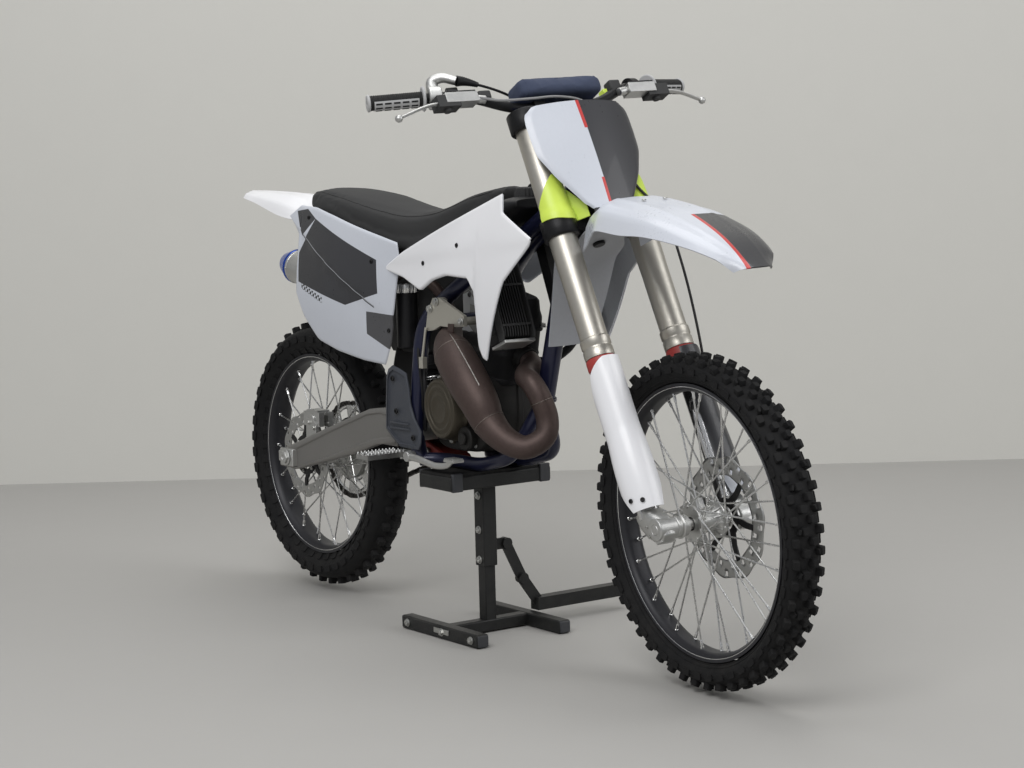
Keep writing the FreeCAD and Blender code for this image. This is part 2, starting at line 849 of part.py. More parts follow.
def knobby_tyre(radius, half_width, bead_radius, bead_half, lug_height):
    """A carcass of flats with rows of lugs, worked out row by row and sewn into one solid."""
    section = tyre_section(radius, half_width, bead_radius, bead_half, lug_height)
    cells = len(section) - 1
    middle = cells // 2
    shoulders = (middle - 2, middle + 2)
    lug_cells = ((middle,) + shoulders, (middle - 1, middle + 1))
    pitch = 2 * math.pi / lug_rows
    faces = []
    for row in range(lug_rows):
        start = row * pitch
        columns = ((start, start + pitch * lug_fill_share, True),
                   (start + pitch * lug_fill_share, start + pitch, False))
        for first, last, lugged in columns:
            for cell in range(cells):
                low, high = section[cell], section[cell + 1]
                corners = [wheel_point(first, *low), wheel_point(last, *low),
                           wheel_point(last, *high), wheel_point(first, *high)]
                if not (lugged and cell in lug_cells[row % 2]):
                    faces.append(quad(corners))
                    continue
                run = math.hypot(high[0] - low[0], high[1] - low[1])
                out_r = (high[1] - low[1]) / run * lug_height
                out_y = (low[0] - high[0]) / run * lug_height
                raised_low = (low[0] + out_r, low[1] + out_y)
                raised_high = (high[0] + out_r, high[1] + out_y)
                tops = [wheel_point(first, *raised_low), wheel_point(last, *raised_low),
                        wheel_point(last, *raised_high), wheel_point(first, *raised_high)]
                faces.append(quad(tops))
                for a in range(len(tops)):
                    b = (a + 1) % len(tops)
                    faces.append(quad([corners[a], corners[b], tops[b], tops[a]]))
            low, high = section[0], section[-1]
            faces.append(quad([wheel_point(first, *low), wheel_point(last, *low),
                               wheel_point(last, *high), wheel_point(first, *high)]))
    return sewn_solid(faces)


def rim(flange_radius, half_width, depth):
    """A deep-dropped rim: two flanges and the well between them."""
    inner = flange_radius - depth
    profile = [(flange_radius, half_width), (inner + rim_wall, half_width * rim_well_share),
               (inner + rim_wall, -half_width * rim_well_share), (flange_radius, -half_width),
               (flange_radius - depth * rim_well_share, -half_width), (inner, -half_width * rim_floor_share),
               (inner, half_width * rim_floor_share), (flange_radius - depth * rim_well_share, half_width)]
    return ring(profile, Vector(0, 0, 0), lug_rows)


def laced_hub(barrel_radius, flange_radius, half_width, bore_radius, rim_inner, rim_side, bosses):
    """A hub with two flanges and a boss at each side, bored for its axle, and its crossed spokes."""
    flange_in = half_width - hub_flange_width
    (right_radius, right_side), (left_radius, left_side) = bosses
    bore = bore_radius + hub_bore_gap
    profile = [(bore, left_side), (left_radius, left_side), (left_radius, half_width), (flange_radius, half_width),
               (flange_radius, flange_in), (barrel_radius, flange_in - flange_edge),
               (barrel_radius, flange_edge - flange_in), (flange_radius, -flange_in), (flange_radius, -half_width),
               (right_radius, -half_width), (right_radius, -right_side), (bore, -right_side)]
    spokes = []
    step = 2 * math.pi / spoke_count
    cross = math.radians(spoke_cross_deg)
    for index in range(spoke_count):
        side = 1 if index % 2 else -1
        lean = 1 if (index // 2) % 2 else -1
        rim_angle = index * step
        hub_angle = rim_angle - lean * cross
        hub_side = side * (half_width - hub_flange_width * (0.5 - lean * spoke_split_share))
        start = wheel_point(hub_angle, flange_radius - flange_edge, hub_side)
        end = wheel_point(rim_angle, rim_inner - nipple_gap, side * rim_side)
        spokes.append(square_bar(start, end, spoke_radius))
    return fused([ring(profile, Vector(0, 0, 0), hub_sides)] + spokes)


def brake_disc(outer, inner, side):
    """A flat ring about the axle."""
    low = side - disc_thickness / 2
    high = side + disc_thickness / 2
    return ring([(outer, low), (outer, high), (inner, high), (inner, low)], Vector(0, 0, 0), disc_sides)


def spider(inner_radius, outer_radius, side, count, width, thickness):
    """Flat arms between two radii, for a disc's carrier."""
    arms = []
    for index in range(count):
        angle = 2 * math.pi * index / count
        arm = block(Vector(-width / 2, side - thickness / 2, inner_radius),
                    Vector(width / 2, side + thickness / 2, outer_radius))
        arm.rotate(Vector(0, 0, 0), Vector(0, 1, 0), math.degrees(angle))
        arms.append(arm)
    return arms


def disc_node(outer, inner, side, carrier_radius):
    """A brake disc with its ring, arms and the collar that bolts to the hub."""
    collar = brake_disc(carrier_radius, carrier_radius - disc_arm_width, side)
    arms = spider(carrier_radius - disc_arm_width / 2, inner + disc_arm_width / 2, side, disc_arm_count,
                  disc_arm_width, disc_thickness)
    return fused([brake_disc(outer, inner, side), collar] + arms)


def sprocket():
    """The toothed ring on the rear hub, with its lightening windows."""
    pitch_radius = chain_pitch / (2 * math.sin(math.pi / sprocket_teeth))
    tip = pitch_radius + chain_pitch * tooth_tip_share
    root = pitch_radius - chain_pitch * tooth_root_share
    points = []
    for tooth in range(sprocket_teeth):
        for share, radius in zip(tooth_width_shares, (root, root, tip, tip)):
            angle = 2 * math.pi * (tooth + share) / sprocket_teeth
            points.append(wheel_point(angle, radius, sprocket_side - sprocket_thickness / 2))
    body = slab(points, Vector(0, sprocket_thickness, 0))
    half = Vector(0, sprocket_thickness / 2 + overrun, 0)
    centre = Vector(0, sprocket_side, 0)
    cuts = [flat_rod(centre - half, centre + half, sprocket_inner, hub_sides)]
    for index in range(sprocket_window_count):
        angle = 2 * math.pi * (index + 0.5) / sprocket_window_count
        place = wheel_point(angle, (sprocket_inner + root) / 2, sprocket_side)
        cuts.append(flat_rod(place - half, place + half, sprocket_window_radius, small_sides))
    return body.cut(cuts[0].multiFuse(cuts[1:]))


def front_axle():
    """The hollow front axle between the fork's feet, with its flanged nut and the wheel's spacers."""
    half = leg_spacing / 2 + fork_foot_width / 2
    foot_side = leg_spacing / 2 - fork_foot_width / 2 - seat_gap
    centre = Vector(axle_ahead, 0, 0)
    parts = [across(centre, front_axle_radius, 2 * half),
             across(centre + Vector(0, half + axle_head_width / 2, 0), axle_head_radius, axle_head_width)]
    for sign, inner in ((-1, front_hub_bosses[0][1]), (1, front_hub_bosses[1][1])):
        low = inner + spacer_gap
        parts.append(across(centre + Vector(0, sign * (low + foot_side) / 2, 0), spacer_radius, foot_side - low))
    return fused(parts).cut(across(centre, front_axle_bore, 2 * half + 2 * axle_head_width + overrun))


def rear_axle():
    """The hollow rear axle through the swingarm's ends, with a nut at each side and the wheel's spacers."""
    half = arm_inner_side + arm_wall + axle_block_width
    centre = Vector(0, 0, rear_axle_z)
    parts = [across(centre, rear_axle_radius, 2 * half)]
    for sign, inner in ((-1, rear_hub_bosses[0][1]), (1, rear_hub_bosses[1][1])):
        parts.append(across(centre + Vector(0, sign * (half + axle_head_width / 2), 0), axle_head_radius,
                            axle_head_width))
        low = inner + spacer_gap
        high = arm_inner_side - seat_gap
        parts.append(across(centre + Vector(0, sign * (low + high) / 2, 0), spacer_radius, high - low))
    return fused(parts).cut(across(centre, rear_axle_bore, 2 * half + 2 * axle_head_width + overrun))


def fork_tube():
    """One upper tube with its collar at the lower end and the cap at the top."""
    side = leg_spacing / 2
    tube = rod(Vector(clamp_offset, side, fork_tube_low), Vector(clamp_offset, side, fork_tube_high),
               fork_tube_radius)
    collar = rod(Vector(clamp_offset, side, fork_tube_low),
                 Vector(clamp_offset, side, fork_tube_low + fork_collar_height), fork_collar_radius)
    return fused([tube, collar])


def fork_leg(side_sign):
    """One lower leg: the bright tube below the collar and the cast foot that holds the axle."""
    side = side_sign * leg_spacing / 2
    tube = rod(Vector(clamp_offset, side, fork_foot_height / 2),
               Vector(clamp_offset, side, fork_tube_low - seat_gap), fork_leg_radius)
    low = Vector(clamp_offset - fork_foot_length * foot_back_share, side - fork_foot_width / 2,
                 -fork_foot_height * foot_below_share)
    high = Vector(clamp_offset + fork_foot_length * foot_front_share, side + fork_foot_width / 2,
                  fork_foot_height * foot_above_share)
    foot = soft_block(low, high, fork_foot_width * foot_bevel_share)
    bore = across(Vector(axle_ahead, side, 0), front_axle_radius + bore_gap, fork_foot_width + overrun)
    return fused([tube, foot]).cut(bore)


def fork_guard():
    """A curved shield over the front and outside of a lower leg, with the lip that bolts it to the leg."""
    side = leg_spacing / 2
    reach = 2 * fork_guard_radius
    centre_low = Vector(clamp_offset, side, fork_guard_low)
    height = fork_guard_high - fork_guard_low
    outer = Part.makeCylinder(fork_guard_radius, height, centre_low, Vector(0, 0, 1))
    inner = Part.makeCylinder(fork_guard_radius - fork_guard_wall, height + 2 * overrun,
                              centre_low - Vector(0, 0, overrun), Vector(0, 0, 1))
    behind = block(Vector(clamp_offset - reach, side - reach, fork_guard_low - overrun),
                   Vector(clamp_offset - fork_guard_radius * fork_guard_back_share, side + reach,
                          fork_guard_high + overrun))
    inside = block(Vector(clamp_offset - reach, side - reach, fork_guard_low - overrun),
                   Vector(clamp_offset + reach, side - fork_guard_radius * fork_guard_inside_share,
                          fork_guard_high + overrun))
    half = fork_guard_lip_height / 2
    lip = block(Vector(clamp_offset - half, side + fork_leg_radius + seat_gap, fork_foot_height),
                Vector(clamp_offset + half, side + fork_guard_radius - fork_guard_wall / 2,
                       fork_foot_height + fork_guard_lip_height))
    return fused([outer.cut(inner).cut(behind).cut(inside), lip])


def clamp(low, stem_low, stem_high):
    """One triple clamp: two rings about the tubes, joined by a waist, on a length of the stem."""
    top = low + clamp_height
    parts = []
    for sign in (-1, 1):
        side = sign * leg_spacing / 2
        parts.append(flat_rod(Vector(clamp_offset, side, low), Vector(clamp_offset, side, top), clamp_ring_radius))
    parts.append(block(Vector(-clamp_waist / 2, -leg_spacing / 2, low + clamp_height * clamp_waist_share),
                       Vector(clamp_offset + clamp_waist / 2, leg_spacing / 2,
                              top - clamp_height * clamp_waist_share)))
    parts.append(flat_rod(Vector(0, 0, low), Vector(0, 0, top), stem_hub_radius))
    parts.append(rod(Vector(0, 0, stem_low), Vector(0, 0, stem_high), stem_radius))
    body = fused(parts)
    for sign in (-1, 1):
        side = sign * leg_spacing / 2
        body = body.cut(rod(Vector(clamp_offset, side, low - overrun), Vector(clamp_offset, side, top + overrun),
                            fork_tube_radius + clamp_fit))
    return body


def clamps():
    """Both triple clamps on their stem, one piece that turns in the head tube."""
    lower = clamp(lower_clamp_low, lower_clamp_low, upper_clamp_low)
    upper = clamp(upper_clamp_low, upper_clamp_low, upper_clamp_low + clamp_height)
    mounts = []
    for sign in (-1, 1):
        side = sign * bar_mount_side
        half = bar_mount_width / 2
        mounts.append(block(Vector(bar_ahead - half, side - half, upper_clamp_low + clamp_height / 2),
                            Vector(bar_ahead + half, side + half, bar_height + bar_mount_rise)))
    return fused([lower, upper, fender_tongue()] + mounts).cut(handlebar(bar_mount_fit))


def bar_points():
    """The bend points of the bar, from the right grip's end to the left's."""
    half = [Vector(bar_ahead - bar_sweep, -bar_half_width, bar_tip_height),
            Vector(bar_ahead - bar_rise_back, -bar_rise_side, bar_rise_height),
            Vector(bar_ahead, -bar_bend_side, bar_height)]
    return half + [Vector(p.x, -p.y, p.z) for p in reversed(half)]


def bar_place(sign, side):
    """The point of the bar's straight end at a distance from the middle, and its direction outward."""
    points = bar_points()
    tip, bend = points[0], points[1]
    run = tip - bend
    share = (side - bar_rise_side) / (bar_half_width - bar_rise_side)
    place = bend + run * share
    run.normalize()
    return Vector(place.x, -sign * place.y, place.z), Vector(run.x, -sign * run.y, run.z)


def handlebar(gap=0.0):
    """The bent bar, grown by a gap where it serves to bore the pieces that clamp it."""
    return bent_rod(bar_points(), bar_grip_radius + gap)


def grip(sign):
    """One grip with its inner flange, slipped over the bar."""
    tip, out = bar_place(sign, bar_half_width)
    end = tip + out * seat_gap
    start = end - out * grip_length
    body = flat_rod(start, end, grip_radius)
    flange = flat_rod(start, start + out * grip_flange_width, grip_flange_radius)
    return fused([body, flange]).cut(handlebar(seat_gap))


def lever(sign, perch):
    """A hand lever from its perch outward to the ball at its end."""
    tip, out = bar_place(sign, bar_half_width * lever_end_share)
    ball = Vector(tip.x + lever_reach, tip.y, tip.z - lever_drop)
    middle = (perch + ball) * 0.5 + Vector(lever_width, 0, 0)
    half = lever_thickness / 2
    rise = Vector(0, 0, half)
    return [square_bar(perch, middle, half), square_bar(middle, ball, half),
            flat_rod(ball - rise, ball + rise, lever_ball_radius),
            flat_rod(middle - rise, middle + rise, half, small_sides)]


def hand_control(sign, side, length):
    """A master cylinder on its bar clamp, with the lever it works."""
    place, out = bar_place(sign, side)
    half = Vector(master_depth / 2, length / 2, master_height / 2)
    front = place + Vector(master_ahead, 0, -master_drop)
    collar = flat_rod(place - out * (perch_width / 2), place + out * (perch_width / 2), perch_radius)
    body = soft_block(front - half, front + half, master_bevel)
    perch = front + Vector(0, sign * half.y, -half.z / 2)
    return fused([body, collar] + lever(sign, perch)).cut(handlebar(seat_gap))


def throttle_housing():
    """The cast drum housing inboard of the right grip, with its cable elbow and boot."""
    place, out = bar_place(-1, throttle_side)
    half = out * (throttle_drum_width / 2)
    drum = flat_rod(place - half, place + half, throttle_drum_radius, elbow_sides)
    knee = place + Vector(0, 0, elbow_rise)
    elbow = flat_rod(place, knee, elbow_radius)
    boot = flat_rod(knee, Vector(*boot_end), boot_radius)
    return fused([drum, elbow, boot]).cut(handlebar(seat_gap))


def bar_pad():
    """The soft pad over the middle of the bar, resting on the bar's mounts."""
    low = Vector(bar_ahead - pad_behind, -pad_half_width, bar_height + bar_mount_rise + seat_gap)
    return soft_block(low, low + Vector(pad_depth, 2 * pad_half_width, pad_height), pad_round)


def number_plate():
    """The blank front plate, bowed forward in the middle, with the two lugs that meet the upper clamp."""
    height = plate_high - plate_low
    right = [(-a * plate_half_width, plate_low + b * height) for a, b in plate_edge_shares]
    left = [(-y, z) for y, z in reversed(right[1:-1])]
    outline = [Vector(plate_ahead - plate_bow * 2, y, z) for y, z in right + left]
    prism = slab(outline, 2 * Vector(2 * plate_bow, 0, 0))
    rows = []
    for z_share in plate_row_shares:
        row = []
        for y_share in plate_column_shares:
            ahead = plate_ahead + plate_bow * (1 - y_share * y_share)
            row.append(Vector(ahead, y_share * plate_half_width, plate_low + z_share * height))
        rows.append(row)
    parts = [skin_sheet(rows, Vector(plate_wall, 0, 0)).common(prism)]
    behind = plate_ahead + plate_bow * (1 - (plate_lug_side / plate_half_width) ** 2)
    lug_z = upper_clamp_low + clamp_height / 2
    for sign in (-1, 1):
        parts.append(flat_rod(Vector(clamp_offset + clamp_waist / 2 + seat_gap, sign * plate_lug_side, lug_z),
                              Vector(behind + plate_wall / 2, sign * plate_lug_side, lug_z), plate_lug_radius))
    return fused(parts)


def plate_wedge():
    """The bright wedge below the plate that wraps the fork tube's outside."""
    side = leg_spacing / 2
    gap = fork_tube_radius + seat_gap
    low = Vector(clamp_offset, side, wedge_low)
    high = Vector(clamp_offset, side, wedge_low + wedge_height)
    outer = rod(low, high, gap + wedge_wall)
    inner = rod(low - Vector(0, 0, overrun), high + Vector(0, 0, overrun), gap)
    behind = block(Vector(clamp_offset - 2 * gap, side - 2 * gap, wedge_low - overrun),
                   Vector(clamp_offset - gap * wedge_back_share, side + 2 * gap,
                          wedge_low + wedge_height + overrun))
    return outer.cut(inner).cut(behind)


def fender_rows(stations):
    """Rows of points across a fender: a crown with edges that drop away."""
    rows = []
    for x, crest, half, drop in stations:
        rows.append([Vector(x, share * half, crest - fall * drop)
                     for share, fall in fender_cross_shares])
    return rows


def front_fender_rows():
    """The rows of points across the front fender, from its rear end to its tip."""
    stations = []
    for along, crest, half, drop in front_fender_shares:
        stations.append((wheelbase - front_fender_rear + along * front_fender_length,
                         front_axle_z + front_fender_low + crest * front_fender_height,
                         half * front_fender_half_width, drop * front_fender_drop))
    return fender_rows(stations)


def front_fender():
    """The long front fender, drawn level and then set in the fork's frame."""
    fender = skin_sheet(front_fender_rows(), Vector(0, 0, -fender_wall))
    fender.Placement = straight_fork_frame.inverse()
    return fender


def fender_tongue():
    """The tongue of the lower clamp that follows the fender's underside and carries it."""
    below = Vector(0, 0, -fender_wall - seat_gap)
    rows = [[point + below for point in row[2:-2]] for row in front_fender_rows()[:2]]
    tongue = skin_sheet(rows, Vector(0, 0, -fender_tongue_thickness))
    tongue.Placement = straight_fork_frame.inverse()
    neck_low = lower_clamp_low + clamp_height * clamp_waist_share
    neck = block(Vector(clamp_offset, -fender_neck_half_width, neck_low),
                 Vector(clamp_offset + fender_neck_reach, fender_neck_half_width, neck_low + fender_neck_height))
    return fused([neck, tongue])


def front_caliper():
    """The sliding caliper over the disc, with the bracket that bolts to the left foot."""
    angle = math.radians(caliper_angle_deg)
    place = Vector(axle_ahead + caliper_reach * math.cos(angle), front_disc_side,
                   caliper_reach * math.sin(angle))
    half = Vector(caliper_length / 2, caliper_width / 2, caliper_height / 2)
    body = soft_block(place - half, place + half, caliper_round)
    slot = across(Vector(axle_ahead, front_disc_side, 0), front_disc_radius + caliper_slot,
                  disc_thickness + 2 * caliper_slot)
    foot_side = leg_spacing / 2 - fork_foot_width / 2 - seat_gap
    bracket = block(Vector(-caliper_bracket_behind, foot_side - caliper_bracket_wall, caliper_bracket_low),
                    Vector(caliper_bracket_ahead, foot_side, caliper_bracket_high))
    return fused([body.cut(slot), bracket])


def head_point(height):
    """The point of the steering axis at a height in the fork's frame."""
    return straight_fork_frame.multVec(Vector(0, 0, height))


def frame_spars():
    """The steering head and the two spars from it down to the swingarm pivot."""
    parts = [rod(head_point(head_tube_low), head_point(head_tube_high), head_tube_radius)]
    joint = head_point((head_tube_low + head_tube_high) / 2)
    for sign in (-1, 1):
        points = [Vector(joint.x, sign * spar_head_side, joint.z - head_tube_radius),
                  Vector(spar_neck_x, sign * spar_neck_side, spar_neck_z),
                  Vector(spar_knee_x, sign * spar_knee_side, spar_knee_z),
                  Vector(spar_bend_x, sign * spar_bend_side, spar_bend_z),
                  Vector(pivot_x, sign * pivot_side, pivot_z),
                  Vector(pivot_x + spar_radius, sign * pivot_side, spar_low_z)]
        parts.append(bent_rod(points, spar_radius))
    parts.append(across(Vector(pivot_x, 0, pivot_z), pivot_bolt_radius, 2 * pivot_side))
    parts.append(flat_rod(Vector(spar_bend_x, -spar_bend_side, spar_bend_z),
                          Vector(spar_bend_x, spar_bend_side, spar_bend_z), cross_tube_radius))
    bore = rod(head_point(head_tube_low - overrun), head_point(head_tube_high + overrun), stem_radius + moving_gap)
    return fused(parts).cut(bore)


def frame_cradle():
    """The down tube and the two rails under the engine, ending at the spars."""
    rail_z = platform_top + seat_gap + rail_radius
    foot = Vector(down_tube_x, 0, down_tube_z)
    joint = head_tube_low + (head_tube_high - head_tube_low) * down_tube_head_share
    parts = [flat_rod(head_point(joint), foot, down_tube_radius)]
    for sign in (-1, 1):
        points = [foot, Vector(rail_front_x, sign * rail_side, rail_front_z),
                  Vector(rail_front_x - 2 * rail_side, sign * rail_side, rail_z),
                  Vector(rail_back_x, sign * rail_side, rail_z),
                  Vector(pivot_x + spar_radius, sign * pivot_side, rail_z)]
        parts.append(bent_rod(points, rail_radius))
    around_head = rod(head_point(head_tube_low), head_point(head_tube_high), head_tube_radius + seat_gap)
    return fused(parts).cut(around_head).cut(frame_spars())


def frame_guards():
    """The plastic guards over the frame beside the pivot, with their grip holes."""
    outline = shared_outline(guard_plate_shares, guard_plate_x, guard_plate_length, guard_plate_z,
                             guard_plate_height)
    side = pivot_side + spar_radius + guard_plate_gap
    plate = side_slab(outline, side, side + guard_plate_wall)
    for x_share, z_share in guard_hole_shares:
        place = Vector(guard_plate_x + x_share * guard_plate_length, side + guard_plate_wall / 2,
                       guard_plate_z + z_share * guard_plate_height)
        plate = plate.cut(across(place, guard_hole_radius, guard_plate_wall + overrun))
    return both_sides(plate)


def engine_case():
    """The crankcase with the round ignition cover on its left, cut away for the drive sprocket and the pipe."""
    front_x = case_x + case_length
    body = soft_block(Vector(case_x, -case_half_width, case_z),
                      Vector(front_x, case_half_width, case_z + case_height), case_round)
    cover = flat_rod(Vector(crank_x, 0, crank_z), Vector(crank_x, case_half_width + crank_cover_width, crank_z),
                     crank_cover_radius, hub_sides)
    pocket = block(Vector(case_x - overrun, sprocket_pocket_side, sprocket_pocket_z),
                   Vector(sprocket_pocket_x, case_half_width + overrun, sprocket_pocket_high))
    return fused([body, cover]).cut(pocket)


def clutch_cover():
    """The round clutch cover with a raised rim and radial ribs."""
    centre = Vector(clutch_x, -case_half_width - seat_gap, clutch_z)
    sections = [[centre + wheel_point(2 * math.pi * step / disc_sides, radius * clutch_radius,
                                      -side * clutch_cover_width) for step in range(disc_sides)]
                for radius, side in clutch_profile_shares]
    ribs = []
    for index in range(clutch_rib_count):
        rib = block(Vector(-clutch_rib_width / 2, -clutch_cover_width, clutch_radius * clutch_rib_shares[0]),
                    Vector(clutch_rib_width / 2, -clutch_cover_width / 2, clutch_radius * clutch_rib_shares[1]))
        rib.rotate(Vector(0, 0, 0), Vector(0, 1, 0), 360.0 * index / clutch_rib_count)
        rib.translate(centre)
        ribs.append(rib)
    return fused([facet_loft(sections)] + ribs)


def engine_cylinder():
    """The cylinder and its head, leaning forward, with the exhaust port's stub."""
    low = Vector(-cylinder_length / 2, -cylinder_half_width, 0)
    high = Vector(cylinder_length / 2, cylinder_half_width, cylinder_height)
    barrel = block(low, high)
    barrel = barrel.makeChamfer(cylinder_bevel, upright_edges(barrel))
    inset = Vector(head_cover_inset, head_cover_inset, 0)
    cover = block(Vector(low.x, low.y, cylinder_height) + inset,
                  Vector(high.x, high.y, cylinder_height + head_cover_height) - inset)
    port = flat_rod(Vector(high.x - overrun, 0, port_height),
                    Vector(high.x + port_length, 0, port_height - port_drop), port_radius)
    body = fused([barrel, cover, port])
    body.rotate(Vector(0, 0, 0), Vector(0, 1, 0), cylinder_tilt_deg)
    body.translate(Vector(cylinder_x, 0, case_z + case_height - overrun))
    base = block(Vector(cylinder_x - cylinder_length, -cylinder_length, case_z),
                 Vector(cylinder_x + cylinder_length, cylinder_length, case_z + case_height + seat_gap))
    return body.cut(base)


def head_stay():
    """The plate that ties the cylinder head to the frame on the right, with the bosses it bolts through."""
    outline = shared_outline(stay_edge_shares, stay_x, stay_length, stay_z, stay_height)
    parts = [side_slab(outline, -stay_side - stay_wall, -stay_side)]
    ends = [(share, spar_bend_side) for share in stay_frame_boss_shares]
    ends.append((stay_head_boss_share, cylinder_half_width + seat_gap))
    for (along, up), inner in ends:
        x = stay_x + along * stay_length
        z = stay_z + up * stay_height
        parts.append(flat_rod(Vector(x, -stay_side - stay_wall, z), Vector(x, -inner, z), stay_boss_radius))
    return fused(parts).cut(frame_spars())


def exhaust_chamber():
    """The expansion chamber, lofted through many-sided sections along its axis."""
    places = [Vector(x, y, z) for x, y, z, radius in pipe_axis]
    return facet_loft(round_sections(places, [radius for x, y, z, radius in pipe_axis], pipe_sides))


def silencer_axis():
    """The silencer's front and back, and the direction from back to front."""
    front = Vector(silencer_front_x, -silencer_side, silencer_front_z)
    back = Vector(silencer_back_x, -silencer_side, silencer_back_z)
    run = front - back
    run.normalize()
    return front, back, run


def silencer():
    """The round silencer under the right side panel, with its cone at the pipe's end."""
    front, back, run = silencer_axis()
    ends = [back, front, front + run * (silencer_radius - overrun)]
    radii = [silencer_radius, silencer_radius, silencer_radius * silencer_cone_share]
    return facet_loft(round_sections(ends, radii, silencer_sides))


def silencer_cap():
    """The coloured end cap with its outlet."""
    front, back, run = silencer_axis()
    start = back - run * seat_gap
    end = start - run * silencer_cap_length
    cap = facet_loft(round_sections([start, end], [silencer_radius, silencer_radius * silencer_cap_taper_share],
                                    silencer_sides))
    bore = flat_rod(start - run * (silencer_cap_length / 2), end - run * overrun,
                    silencer_radius * silencer_bore_share)
    return cap.cut(bore)


def radiator():
    """One radiator with the louvres of its guard across the front."""
    low = Vector(radiator_x, radiator_inner_side, radiator_low)
    high = Vector(radiator_x + radiator_thickness, radiator_inner_side + radiator_width, radiator_high)
    core = block(low, high)
    parts = [core]
    step = radiator_width / (louvre_count - 1)
    for index in range(louvre_count):
        side = min(low.y + index * step, high.y - louvre_wall)
        parts.append(block(Vector(high.x - overrun, side, low.z), Vector(high.x + louvre_depth, side + louvre_wall,
                                                                         high.z)))
    for z in (low.z, (low.z + high.z) / 2, high.z - louvre_wall * 2):
        parts.append(block(Vector(high.x - overrun, low.y, z),
                           Vector(high.x + louvre_depth * 0.5, high.y, z + louvre_wall * 2)))
    body = fused(parts)
    body.rotate(Vector(radiator_x, 0, radiator_low), Vector(0, 1, 0), -radiator_lean)
    return body


def over(index, count):
    """Where one of a count of rows lies, as a share of the outline that they reach past at both ends."""
    return index / (count - 1) * (1 + 2 * skin_over_share) - skin_over_share


def side_skin(shares, start_x, length, start_z, height, half_width, wall):
    """A bowed sheet beside the bike, from rows of distances given as shares of its half width."""
    rows = []
    for row_index, row in enumerate(shares):
        z = start_z + over(row_index, len(shares)) * height
        steps = [over(column, len(row)) for column in range(len(row))]
        rows.append([Vector(start_x + step * length, share * half_width, z) for step, share in zip(steps, row)])
    return skin_sheet(rows, Vector(0, wall, 0))


def shroud():
    """One radiator shroud: a bowed sheet cut to its outline, with the boss that bolts to the radiator."""
    outline = shared_outline(shroud_edge_shares, shroud_rear_x, shroud_length, shroud_low_z, shroud_height)
    prism = side_slab(outline, 0, 2 * shroud_half_width)
    skin = side_skin(shroud_skin_shares, shroud_rear_x, shroud_length, shroud_low_z, shroud_height,
                     shroud_half_width, shroud_wall)
    radiator_side = radiator_inner_side + radiator_width + seat_gap
    boss = flat_rod(Vector(shroud_boss_x, radiator_side, shroud_boss_z),
                    Vector(shroud_boss_x, shroud_boss_side, shroud_boss_z), shroud_boss_radius)
    return fused([skin.common(prism), boss])


def side_panel():
    """One side panel: a bowed sheet cut to its outline, with the long boss that bolts to the airbox."""
    outline = shared_outline(panel_edge_shares, panel_rear_x, panel_length, panel_low_z, panel_height)
    prism = side_slab(outline, 0, 2 * panel_half_width)
    skin = side_skin(panel_skin_shares, panel_rear_x, panel_length, panel_low_z, panel_height, panel_half_width,
                     panel_wall)
    boss = flat_rod(Vector(panel_boss_x, airbox_half_width + seat_gap, panel_boss_z),
                    Vector(panel_boss_x, panel_boss_side, panel_boss_z), panel_boss_radius)
    return fused([skin.common(prism), boss])


def lofted(stations, section_shares):
    """A faceted body through half sections mirrored about the middle. A station is x, base, top, half width."""
    wires = []
    for x, base, top, half in stations:
        right = [Vector(x, -a * half, base + b * (top - base)) for a, b in section_shares]
        left = [Vector(x, -p.y, p.z) for p in reversed(right[1:-1])]
        wires.append(right + left)
    return facet_loft(wires)


def seat():
    """The long seat, low in its middle and rising over the tank."""
    stations = [(seat_back_x + along * seat_length, seat_top - base * seat_depth, seat_top - top * seat_depth,
                 half * seat_half_width) for along, top, half, base in seat_shares]
    return lofted(stations, seat_section_shares)


def fuel_tank():
    """The tank with its screw cap ahead of the seat and two feet that rest on the spars."""
    stations = [(tank_back_x + a * tank_length, tank_low_z + b * tank_height, tank_low_z + t * tank_height,
                 w * tank_half_width) for a, b, t, w in tank_shares]
    top = tank_low_z + tank_height
    cap_x = tank_back_x + tank_cap_share * tank_length
    cap = flat_rod(Vector(cap_x, 0, top - tank_cap_height), Vector(cap_x, 0, top + tank_cap_height),
                   tank_cap_radius, silencer_sides)
    feet = []
    for sign in (-1, 1):
        place = Vector(tank_foot_x, sign * tank_foot_side, tank_low_z)
        half = Vector(tank_foot_length / 2, tank_foot_width / 2, tank_foot_rise)
        feet.append(block(place - Vector(half.x, half.y, 0), place + half + Vector(0, 0, overrun)))
    return fused([lofted(stations, seat_section_shares), cap] + feet).cut(frame_spars())


def rear_fender():
    """The tail over the rear wheel, running out to its thin tip."""
    stations = []
    reach = rear_fender_front_x + tail_overhang
    for along, crest, half, drop in rear_fender_shares:
        stations.append((rear_fender_front_x - along * reach, rear_fender_top - crest * rear_fender_depth,
                         half * rear_fender_half_width, drop * rear_fender_depth))
    return skin_sheet(fender_rows(stations), Vector(0, 0, -rear_fender_wall))


def airbox():
    """The airbox with the inner mudguard ahead of the rear wheel and the boot to the cylinder."""
    outline = shared_outline(airbox_edge_shares, airbox_back_x, airbox_length, airbox_low_z, airbox_height)
    body = side_slab(outline, -airbox_half_width, airbox_half_width)
    boot = flat_rod(Vector(intake_x, 0, intake_z),
                    Vector(cylinder_x, 0, case_z + case_height + port_height), intake_radius)
    return fused([body, boot.cut(cylinder_room())])


